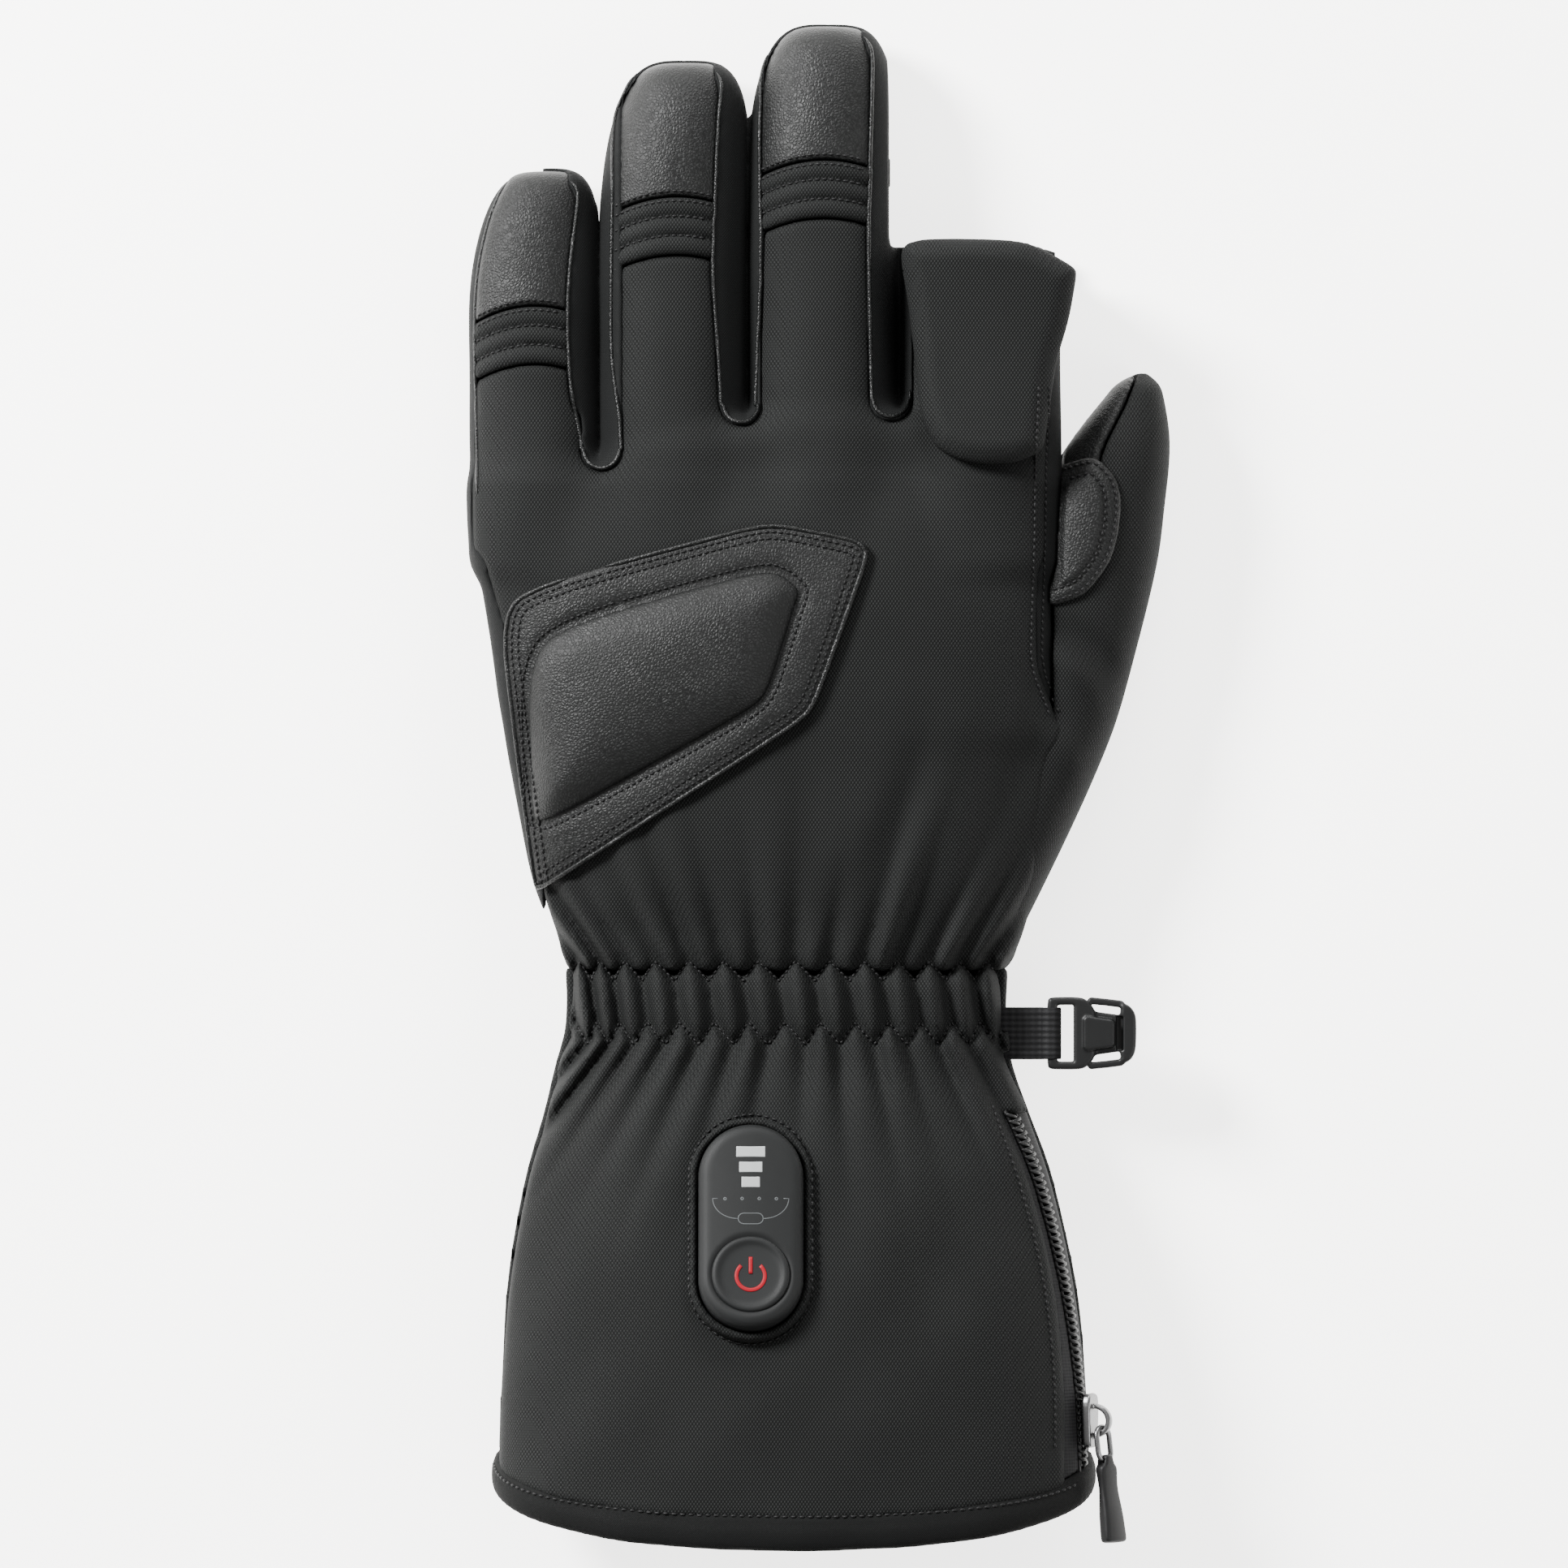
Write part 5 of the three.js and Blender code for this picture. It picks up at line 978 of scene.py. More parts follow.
def plain_material(name, colour, rough, grain=4.0, depth=0.012, metal=0.0, specular=0.16):
    """Moulded or cast surface with a fine grain."""
    s = Shader(name)
    fine = s.noise(grain, 3)
    worn = s.noise(0.25, 4)
    low, high = rough - 0.05, rough + 0.07
    s.set(colour=s.tint(colour, s.spread(worn, 0.3, 0.7, 0.94, 1.06)))
    s.set(rough=s.spread(fine, 0.3, 0.7, low, high), metal=metal, specular=specular)
    s.bump(fine, depth)
    return s.material


def ribbed_material(name, colour, pitch, depth, rough=0.8):
    """Narrow woven tape or webbing, ribbed across its length."""
    s = Shader(name)

    def ribs(a, b):
        one = s.calc("SINE", s.calc("MULTIPLY", b, 2 * math.pi / pitch))
        two = s.calc("SINE", s.calc("MULTIPLY", a, 2 * math.pi / (pitch * 1.2)))
        return s.spread(s.calc("MULTIPLY_ADD", two, 0.5, one), -1.2, 1.2, 0, 1)

    weave = s.all_round(ribs)
    fine = s.noise(3.0, 2)
    light = s.calc("MULTIPLY_ADD", weave, 0.7, 0.6)
    s.set(colour=s.tint(colour, light), rough=rough, specular=0.12)
    s.bump(s.calc("MULTIPLY_ADD", fine, 0.3, weave), depth)
    return s.material


def material_for(slot):
    """The one look of a slot, made when it is first asked for."""
    name = f"look_{slot}"
    found = bpy.data.materials.get(name)
    if found:
        return found
    c = bpy.context.scene.glove_colours
    makers = {
        "softshell": lambda: cloth_material(name, c.softshell, 0.72, 1.05, 0.09),
        "side_cloth": lambda: cloth_material(name, c.side_cloth, 0.5, 0.62, 0.04, contrast=0.5),
        "leather": lambda: leather_material(name, c.leather),
        "piping": lambda: leather_material(name, [v * 1.2 for v in c.leather], 0.38),
        "binding": lambda: cloth_material(name, c.binding, 0.45, 0.5, 0.03, contrast=0.4),
        "thread": lambda: plain_material(name, c.thread, 0.55, 9.0, 0.03),
        "zip_tape": lambda: ribbed_material(name, c.zip_tape, 0.7, 0.06),
        "zip_teeth": lambda: plain_material(name, c.zip_teeth, 0.4, specular=0.2),
        "zip_metal": lambda: plain_material(name, c.metal, 0.3, 6.0, 0.01, metal=1.0),
        "pull_rubber": lambda: plain_material(name, c.rubber, 0.5, 6.0, 0.012),
        "webbing": lambda: ribbed_material(name, c.webbing, 1.25, 0.16, 0.7),
        "clip_plastic": lambda: plain_material(name, c.clip, 0.42, 5.0, 0.02),
        "case_plastic": lambda: plain_material(name, c.case, 0.6, 7.0, 0.003),
        "legend": lambda: plain_material(name, [v * 11 for v in c.case], 0.5, 7.0, 0.004),
        "button_rubber": lambda: plain_material(name, [v * 1.1 for v in c.case], 0.6, 7.0, 0.004),
        "level_light": lambda: plain_material(name, c.light, 0.35, 3.0, 0.004),
        "symbol": lambda: plain_material(name, c.symbol, 0.45, 3.0, 0.004),
    }
    return makers[slot]()


# Thread, piping and other lines that lie on the finished pieces


def surface_tree():
    """Search tree over the finished pieces, in millimetres."""
    points, faces, start = [], [], 0
    for made in bpy.context.scene.objects:
        if made.type != "MESH" or made.hide_render or "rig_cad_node" in made:
            continue
        mesh = made.data
        co = np.empty(len(mesh.vertices) * 3, np.float32)
        mesh.vertices.foreach_get("co", co)
        points.extend((co.reshape(-1, 3) / MM).tolist())
        faces.extend([[start + i for i in polygon.vertices] for polygon in mesh.polygons])
        start += len(mesh.vertices)
    return BVHTree.FromPolygons(points, faces)


def resampled(points, pitch, closed=False):
    """Places along a line at an even pitch."""
    points = np.array(points, float)
    if closed:
        points = np.vstack([points, points[:1]])
    lengths = np.linalg.norm(np.diff(points, axis=0), axis=1)
    along = np.concatenate([[0], np.cumsum(lengths)])
    count = max(int(round(along[-1] / pitch)), 2)
    spots = np.linspace(0, along[-1], count + 1)
    return np.stack([np.interp(spots, along, points[:, i]) for i in range(points.shape[1])], axis=1)


def draped(tree, line, pitch, lift, closed, soften):
    """A line seen from above, laid on the surface below it. Gives points and surface normals."""
    spots = resampled(line, pitch, closed)
    points, normals = [], []
    for x, y in spots:
        found, normal, _, _ = tree.ray_cast(Vector((x, y, 120)), Vector((0, 0, -1)))
        if found is None:
            continue
        points.append(found)
        normals.append(normal)
    points, normals = np.array(points), np.array(normals)
    if len(points) < 3:
        return points, normals
    for _ in range(soften):
        middle = (points[:-2, 2] + points[2:, 2]) / 4 + points[1:-1, 2] / 2
        points[1:-1, 2] = middle
        normals[1:-1] = normals[:-2] + normals[2:] + 2 * normals[1:-1]
    normals /= np.linalg.norm(normals, axis=1)[:, None]
    return points + normals * lift, normals


def tube_arrays(points, normals, wide, high, sides=8, closed=False, taper=0):
    """Vertices and faces of a tube with an oval section along points."""
    count = len(points)
    ahead = np.roll(points, -1, axis=0) - np.roll(points, 1, axis=0)
    if not closed:
        ahead[0], ahead[-1] = points[1] - points[0], points[-1] - points[-2]
    ahead /= np.maximum(np.linalg.norm(ahead, axis=1), 1e-9)[:, None]
    across = np.cross(ahead, normals)
    across /= np.maximum(np.linalg.norm(across, axis=1), 1e-9)[:, None]
    up = np.cross(across, ahead)
    turn = 2 * np.pi * np.arange(sides) / sides
    size = np.ones(count)
    if taper and not closed:
        ends = np.minimum(np.arange(count), np.arange(count)[::-1]) / taper
        size = np.sqrt(np.clip(ends, 0.04, 1))
    ring = across[:, None, :] * (wide * np.cos(turn))[None, :, None]
    ring = ring + up[:, None, :] * (high * np.sin(turn))[None, :, None]
    vertices = (points[:, None, :] + ring * size[:, None, None]).reshape(-1, 3)
    faces = []
    for i in range(count if closed else count - 1):
        a, b = i * sides, ((i + 1) % count) * sides
        for k in range(sides):
            j = (k + 1) % sides
            faces.append([a + k, a + j, b + j, b + k])
    if not closed:
        faces.append(list(range(sides))[::-1])
        faces.append([(count - 1) * sides + k for k in range(sides)])
    return vertices, faces


class Collector:
    """Gathers small solids into one mesh."""

    def __init__(self):
        self.points, self.faces, self.start = [], [], 0

    def add(self, vertices, faces):
        self.points.append(np.asarray(vertices, float))
        self.faces.extend([[self.start + i for i in face] for face in faces])
        self.start += len(vertices)

    def tube(self, points, normals, wide, high, **rest):
        if len(points) > 2:
            self.add(*tube_arrays(points, normals, wide, high, **rest))

    def stitches(self, points, normals, size, radius):
        """A row of stitches along a fine line, each with its ends pulled into the cloth."""
        if len(points) < 4:
            return
        steps = np.linalg.norm(np.diff(points, axis=0), axis=1)
        along = np.concatenate([[0], np.cumsum(steps)])
        count = int(along[-1] / size)
        for i in range(count):
            spots = np.linspace(i * size, (i + 1 - STITCH_GAP) * size, 4)
            line = np.stack([np.interp(spots, along, points[:, k]) for k in range(3)], axis=1)
            out = np.stack([np.interp(spots, along, normals[:, k]) for k in range(3)], axis=1)
            dip = np.array([-1.1, 0.5, 0.5, -1.1]) * radius
            self.add(*tube_arrays(line + out * dip[:, None], out, radius, radius, sides=4))

    def build(self, name, slot, material=None, nodes=()):
        made = new_object(name, np.vstack(self.points), self.faces, material_for(material or slot))
        return placed(made, slot, *nodes)


def inset_line(points, inset):
    """A closed outline moved inwards."""
    points = np.array(points, float)
    area = np.sum(points[:, 0] * np.roll(points[:, 1], -1) - points[:, 1] * np.roll(points[:, 0], -1))
    ahead = np.roll(points, -1, axis=0) - np.roll(points, 1, axis=0)
    ahead /= np.maximum(np.linalg.norm(ahead, axis=1), 1e-9)[:, None]
    inward = np.stack([-ahead[:, 1], ahead[:, 0]], axis=1) * (1 if area > 0 else -1)
    return points + inward * inset


# Operators, one for each piece or group of like pieces


class Builder:
    """What all piece operators share."""

    bl_options = {"REGISTER", "UNDO"}

    def execute(self, context):
        self.build(measures(context.scene))
        return {"FINISHED"}


def walls(g, grid, parts, height=None):
    """Outside and inside of the cloth in a box."""
    plain = outer_field(g, grid, parts)
    outside = plain if height is None else plain - height
    return outside, plain + g.wall


def open_end(g, grid):
    """Distance past the open end of the index finger, on its side of the hand."""
    return np.where(grid.x > INDEX_BORDER, grid.y - fingers_of(g)["index"].tip, FAR)


def upper_row(g, grid):
    """Distance up from the upper zigzag row of the gathered wrist."""
    tooth = zigzag(phase_at(g, grid.x, grid.y))
    side = body_section(g, g.wrist_y).side
    on_back = step_up(grid.z, side - 4, side + 3)
    return (grid.y - g.wrist_y - UPPER_TOOTH * tooth * on_back) * 0.75


def cut_wall(outside, inside, region, roll=1.4):
    """The wall inside a region, with its edges rolled over."""
    return np.maximum(smooth_max(outside, region, roll), -inside)


class GAUNTLET_OT_back(Builder, bpy.types.Operator):
    """Softshell back of the hand and of the fingers"""

    bl_idname = "gauntlet.back"
    bl_label = "Back panel"

    def build(self, g):
        grid = Grid((-71, g.wrist_y - 4, 9), (64, g.knuckle_y + 73, 46), STEP)
        parts = ("hand", "pinky", "ring", "middle", "index", "thumb")
        outside, inside = walls(g, grid, parts, cloth_height(g, grid))
        region = smooth_max(back_region(g, grid), g.back_seam - grid.z, 2)
        region = smooth_max(region, open_end(g, grid), 1.2)
        fingers = fingers_of(g)
        for name in CAPPED:
            finger = fingers[name]
            bare = g.cap_length + RIBS * g.rib_pitch + SEAM_GAP
            near = np.abs(grid.x - finger.axis - finger.lean * CAP_LEAN) < finger.width / 2 + 0.5
            band = band_distance(grid, finger, FAR, bare)
            region = np.where(near, np.maximum(region, -band), region)
        field = np.maximum(cut_wall(outside, inside, region), -MEET - upper_row(g, grid))
        made = piece("back_of_hand", grid, field, "softshell", "back_panel")


class GAUNTLET_OT_fingertips(Builder, bpy.types.Operator):
    """Leather fingertip caps and the stitched ribs below them"""

    bl_idname = "gauntlet.fingertips"
    bl_label = "Fingertips"

    def build(self, g):
        for name in CAPPED:
            finger = fingers_of(g)[name]
            half = finger.width / 2 + 4
            low = finger.tip - g.cap_length - RIBS * g.rib_pitch - 8
            centre = finger.axis + finger.lean / 2
            grid = Grid((centre - half, low, 9), (centre + half, finger.tip + 3, 40), 0.55)
            plain = outer_field(g, grid, (name,))
            region = outline_distance(grid, finger_outline(finger))
            region = smooth_max(region, g.back_seam - grid.z, 2)
            puff = 0.25 + unevenness(grid.x, grid.y, grid.z) * 0.6
            cap_band = band_distance(grid, finger, FAR, g.cap_length - SEAM_GAP)
            cap = cut_wall(plain - puff, plain + g.wall, np.maximum(region, cap_band), 1.0)
            made = piece(f"{name}_cap_leather", grid, cap, "leather", f"{name}_cap")
            last_rib = g.cap_length + RIBS * g.rib_pitch - SEAM_GAP
            rib_band = band_distance(grid, finger, g.cap_length + SEAM_GAP, last_rib)
            ribs = plain - rib_height(g, grid, finger)
            ribs = cut_wall(ribs, plain + g.wall, np.maximum(region, rib_band), 0.6)
            made = piece(f"{name}_flex_ribs", grid, ribs, "softshell", f"{name}_ribs")


class GAUNTLET_OT_sides(Builder, bpy.types.Operator):
    """Side strips between the fingers and round the hand"""

    bl_idname = "gauntlet.sides"
    bl_label = "Side strips"

    def build(self, g):
        fingers = fingers_of(g)
        tips = [fingers[n].axis + fingers[n].lean for n in CAPPED]
        tips.append(fingers["index"].axis)
        low_y = {"ulnar_gusset": g.wrist_y - 1.5, "radial_gusset": 8.0}
        rows = [
            ("ulnar_gusset", -72, tips[0], ("hand", "pinky")),
            ("fourchette_pinky_ring", tips[0], tips[1], ("hand", "pinky", "ring")),
            ("fourchette_ring_middle", tips[1], tips[2], ("hand", "ring", "middle")),
            ("fourchette_middle_index", tips[2], tips[3], ("hand", "middle", "index")),
            ("radial_gusset", tips[3], 63, ("hand", "index")),
        ]
        for node, start, end, parts in rows:
            bottom = low_y.get(node, g.knuckle_y - 14)
            top = max(fingers[n].tip for n in parts if n in fingers) + 3
            top = min(top, fingers["index"].tip + 2) if node == "radial_gusset" else top
            grid = Grid((start - 2, bottom - 2, 3), (end + 2, top, 44), 0.85)
            outside, inside = walls(g, grid, parts, unevenness(grid.x, grid.y, grid.z))
            outside = outside + (-0.8 if node.startswith("fourchette") else 0.2)
            region = -0.7 - smooth_max(back_region(g, grid), g.back_seam - grid.z, 2)
            limits = np.maximum(start - MEET - grid.x, grid.x - end - MEET)
            limits = np.maximum(limits, np.maximum(bottom - grid.y, g.palm_seam + 0.15 - grid.z))
            if "index" in parts:
                limits = np.maximum(limits, open_end(g, grid))
            if node == "radial_gusset":
                limits = np.maximum(limits, grid.x - thumb_side(grid.y))
                limits = np.maximum(limits, grid.y - fingers["index"].tip + 4)
            field = np.maximum(cut_wall(outside, inside, region, 1.0), limits)
            piece(f"{node}_cloth", grid, field, "side_cloth", node)


def thumb_side(y):
    """Where the side strip of the hand gives way to the thumb."""
    return 58.4 + 6 * step_up(y, 12, 46)


class GAUNTLET_OT_palm(Builder, bpy.types.Operator):
    """Leather underside of the hand and fingers"""

    bl_idname = "gauntlet.palm"
    bl_label = "Palm"

    def build(self, g):
        grid = Grid((-71, g.wrist_y - 2, -2), (64, g.knuckle_y + 100, 9), 1.3)
        parts = ("hand", "pinky", "ring", "middle", "index")
        outside, inside = walls(g, grid, parts)
        inside = np.maximum(inside, g.wall - 0.5 - grid.z)
        region = np.maximum(grid.z - g.palm_seam - MEET, g.wrist_y - MEET - grid.y)
        region = np.maximum(region, grid.x - thumb_edge_line(g, grid.y) - 1.6)
        region = np.maximum(region, open_end(g, grid))
        field = cut_wall(outside, inside, region, 1.0)
        made = piece("palm_leather", grid, field, "leather", "palm_panel")


class GAUNTLET_OT_thumb(Builder, bpy.types.Operator):
    """Thumb back, thumb front and the stitched patch in the thumb fork"""

    bl_idname = "gauntlet.thumb"
    bl_label = "Thumb"

    def build(self, g):
        grid = Grid((30, g.wrist_y - 2, -2), (g.thumb_edge + 3, g.thumb_tip_y + 3, 34), 0.8)
        plain = smooth_max(thumb_field(g, grid), -grid.z, SOLE_EDGE)
        height = folds(grid.x, grid.y) * step_up(grid.z, 8, 18) + unevenness(grid.x, grid.y, grid.z)
        hand = smooth_min(body_field(g, grid), finger_field(g, grid, fingers_of(g)["index"]), JOIN)
        region = np.maximum(0.4 - hand, thumb_edge_line(g, grid.y) - grid.x)
        region = np.maximum(region, g.wrist_y + 0.15 - grid.y)
        front = thumb_front_region(grid)
        outside, inside = plain - height, np.maximum(plain + g.wall, 3 - grid.z)
        back = cut_wall(outside, inside, smooth_max(region, 0.3 - front, 1.2), 1.0)
        back = np.maximum(back, -grid.z)
        made = piece("thumb_back_cloth", grid, back, "softshell", "thumb_back")
        leather = cut_wall(plain + 0.1, inside, smooth_max(region, front, 1.2), 1.0)
        piece("thumb_front_leather", grid, leather, "leather", "thumb_front")

        fine = Grid((52, 34, 12), (74, 72, 32), 0.4)
        thumb = thumb_field(g, fine)
        hand = smooth_min(body_field(g, fine), finger_field(g, fine, fingers_of(g)["index"]), JOIN)
        outline = outline_distance(fine, rounded(PATCH_OUTLINE, 2))
        swell = 1.0 * step_up(-outline, 0.5, 4.5) - 0.5 * np.exp(-(((outline + 3.3) / 0.7) ** 2))
        skin = thumb - 1.3 - swell
        field = smooth_max(skin, outline, 0.9)
        field = np.maximum(field, np.maximum(0.1 - thumb, 0.4 - hand))
        piece("thumb_patch_leather", fine, field, "leather", "thumb_patch")


def thumb_front_region(grid):
    """Region of the thumb's leather front, left of its seam."""
    outline = outline_distance(grid, THUMB_SEAM + [(62.0, 55.0), (40.0, 50.0), (40.0, 92.0)])
    return np.maximum(outline, 9 - grid.z)


def blurred(values, times):
    """Values of a flat pattern, each mixed with its neighbours a number of times."""
    for _ in range(times):
        for axis in (0, 1):
            values = (np.roll(values, 1, axis) + np.roll(values, -1, axis) + 2 * values) / 4
    return values


class GAUNTLET_OT_guard(Builder, bpy.types.Operator):
    """Stitched knuckle guard and its padded panel"""

    bl_idname = "gauntlet.guard"
    bl_label = "Knuckle guard"

    def build(self, g):
        grid = Grid((-64, -26, 18), (21, 58, 50), 0.6)
        plain = outer_field(g, grid, ("hand", "pinky", "ring", "middle"))
        soft = plain - unevenness(grid.x, grid.y, grid.z)
        outline = outline_distance(grid, rounded(GUARD_OUTLINE, 3, 0.14))
        rows = np.exp(-(((outline + 1.5) / 0.45) ** 2)) + np.exp(-(((outline + 2.9) / 0.45) ** 2))
        pad_line = outline_distance(grid, rounded(PAD_OUTLINE, 3, 0.16))
        dip = 0.45 * np.exp(-((pad_line / 1.6) ** 2))
        skin = soft - g.guard_thick - 0.3 + 0.14 * rows + dip
        field = np.maximum(smooth_max(skin, outline, 1.3), 0.25 - plain)
        field = np.maximum(field, 10 - grid.z)
        piece("knuckle_guard_leather", grid, field, "leather", "knuckle_guard")

        dome = blurred(g.pad_rise * (1 - np.exp(-np.maximum(-pad_line - 0.4, 0) / 3.6)), 9)
        skin = soft - g.guard_thick - 0.25 - dome
        field = smooth_max(skin, pad_line + 0.5, 1.2)
        field = np.maximum(field, g.guard_thick - 0.5 - plain)
        made = piece("knuckle_pad_leather", grid, field, "leather", "knuckle_pad")


HOOD_X, HOOD_HALF = 43, 19


class GAUNTLET_OT_hood(Builder, bpy.types.Operator):
    """Fold-back hood that lies on the index finger"""

    bl_idname = "gauntlet.hood"
    bl_label = "Index hood"

    def build(self, g):
        grid = Grid((21, 64, 14), (65, 119, 46), 0.6)
        index = fingers_of(g)["index"]
        hand = outer_field(g, grid, ("hand", "middle", "index"))
        section = finger_section(index, grid.y)
        share = np.clip((115 - grid.y) / 47, 0, 1)
        thick = g.hood_height * (1 - 0.3 * share)
        outline = outline_distance(grid, rounded(HOOD_OUTLINE, 2))
        along = (grid.x - HOOD_X) / HOOD_HALF
        top = section.top + thick - 1.6 * along**2
        edge = step_up(-outline, -0.5, 5.0)
        crown = top - 2.2 * (1 - edge) ** 1.5
        wave = 0.3 * np.sin(grid.x / 5.0 + 1) * np.sin(grid.y / 8.0)
        under = section.top - 5.2 + 1.0 * np.abs(along)
        sheet = np.maximum(grid.z - crown - wave, under - grid.z)
        mouth = np.where(grid.y > 108, -9.0, outline + 2.2)
        space = np.maximum(grid.z - crown + 2.3, under + 2.6 - grid.z)
        space = np.maximum(space, np.maximum(mouth, np.abs(along) * HOOD_HALF - 17.5))
        field = smooth_max(sheet * 0.93, outline, 1.8)
        field = np.maximum(field, 0.3 - hand)
        field = np.maximum(field, -space)
        made = piece("index_hood_cloth", grid, field, "softshell", "index_hood")


class GAUNTLET_OT_cuff(Builder, bpy.types.Operator):
    """Gathered wrist, gauntlet and its bound hem"""

    bl_idname = "gauntlet.cuff"
    bl_label = "Gauntlet"

    def build(self, g):
        low_y = g.wrist_y - g.cuff_length - 16
        hem_y = g.wrist_y - g.cuff_length
        grid = Grid((-65, low_y, 16), (69, g.wrist_y + 3.6, 62), 0.9)
        plain = outer_field(g, grid, ("hand",))
        outside, inside = plain - cloth_height(g, grid), plain + g.wall + CUFF_PADDING
        edge = body_section(g, np.maximum(grid.y, hem_y)).left
        region = np.maximum(edge + 0.8 - grid.x, g.cuff_seam - grid.z)
        limits = np.maximum(hem_y + g.hem_band / 2 - HEM_LAP - leaned(g, grid), -zip_region(g, grid) - 0.6)
        field = cut_wall(outside, inside, smooth_max(region, limits, 1.0), 1.3)
        field = np.maximum(field, upper_row(g, grid) - MEET)
        made = piece("gauntlet_back", grid, field, "softshell", "cuff_back")

        grid = Grid((-65, low_y + 6, -2), (69, g.wrist_y + 1, 36), 1.2)
        plain = outer_field(g, grid, ("hand",))
        uneven = unevenness(grid.x, grid.y, grid.z) * step_up(grid.z, 1, 7)
        outside, inside = plain - uneven, np.maximum(plain + g.wall + CUFF_PADDING, 3 - grid.z)
        edge = body_section(g, np.maximum(grid.y, hem_y)).left
        region = 0.3 - np.maximum(edge + 0.8 - grid.x, g.cuff_seam - grid.z)
        limits = np.maximum(grid.y - g.wrist_y - 0.9, hem_y + g.hem_band / 2 - HEM_LAP - leaned(g, grid))
        limits = np.maximum(limits, -zip_region(g, grid) + 0.3)
        field = cut_wall(outside, inside, smooth_max(region, limits, 1.0), 1.3)
        made = piece("gauntlet_palm", grid, field, "softshell", "cuff_palm")

        grid = Grid((-66, low_y - 2, -2), (70, hem_y + 16, 62), 0.8)
        along = leaned(g, grid)
        section = body_section(g, np.maximum(along, hem_y))
        plain = grid.distance(tube(grid, section, BACK_ROUND, g.flat))
        plain = smooth_max(plain, -grid.z, SOLE_EDGE)
        ends = np.abs(along - hem_y) - g.hem_band / 2
        wave = 0.12 * np.sin(grid.x / 3.1) + 0.1 * np.sin(grid.x / 5.7 + 1)
        stitched = 0.3 * np.exp(-(((along - hem_y - g.hem_band / 2 + 1.5) / 0.6) ** 2))
        skin = plain - 0.75 - wave + stitched
        field = np.maximum(smooth_max(np.maximum(skin, -plain - g.wall), ends, 2.4), -grid.z)
        made = piece("hem_binding_cloth", grid, field, "binding", "hem_binding")


# Zip

ZIP_ROWS = [
    dict(at=0.0, edge=0.1, chain=0.06),
    dict(at=0.1, edge=0.1, chain=0.05),
    dict(at=0.25, edge=0.097, chain=0.04),
    dict(at=0.45, edge=0.092, chain=0.032),
    dict(at=0.7, edge=0.095, chain=0.024),
    dict(at=1.0, edge=0.105, chain=0.02),
]
ZIP_TOP = -69.2
ZIP_LENGTH = 75.4


def zip_x(g, y, name):
    """Places along the zip, measured inwards from the silhouette."""
    at = (ZIP_TOP - y) / ZIP_LENGTH
    edge = body_section(g, np.maximum(y, g.wrist_y - g.cuff_length)).right
    return edge - column(ZIP_ROWS, name, at) * g.cuff_width / 2


def zip_region(g, grid):
    """Distance to the opening for the zip, seen from above."""
    edge = zip_x(g, grid.y, "edge") - grid.x
    return np.maximum(np.maximum(edge, grid.y - ZIP_TOP), g.cuff_seam - grid.z)


def chain_frame(g, at):
    """Point on the cloth, outward, across and along directions, at a share of the zip."""
    y = ZIP_TOP - at * ZIP_LENGTH
    x = float(zip_x(g, y, "chain"))
    s = body_section(g, max(y, g.wrist_y - g.cuff_length))
    middle, half = (s.left + s.right) / 2, (s.right - s.left) / 2
    rise = s.top - s.side
    q = min(abs(x - middle) / half, 1)
    share = (1 - q**BACK_ROUND) ** (1 / BACK_ROUND)
    z = s.side + rise * share
    power = BACK_ROUND - 1
    out = Vector((q**power / half, 0, share**power / rise)).normalized()
    along = Vector((0, -1, 0))
    lean = min(HEM_LEAN, float(lean_at(g, y)))
    point = Vector((x, y - lean * (z - s.side), z))
    return point, out, out.cross(along), along


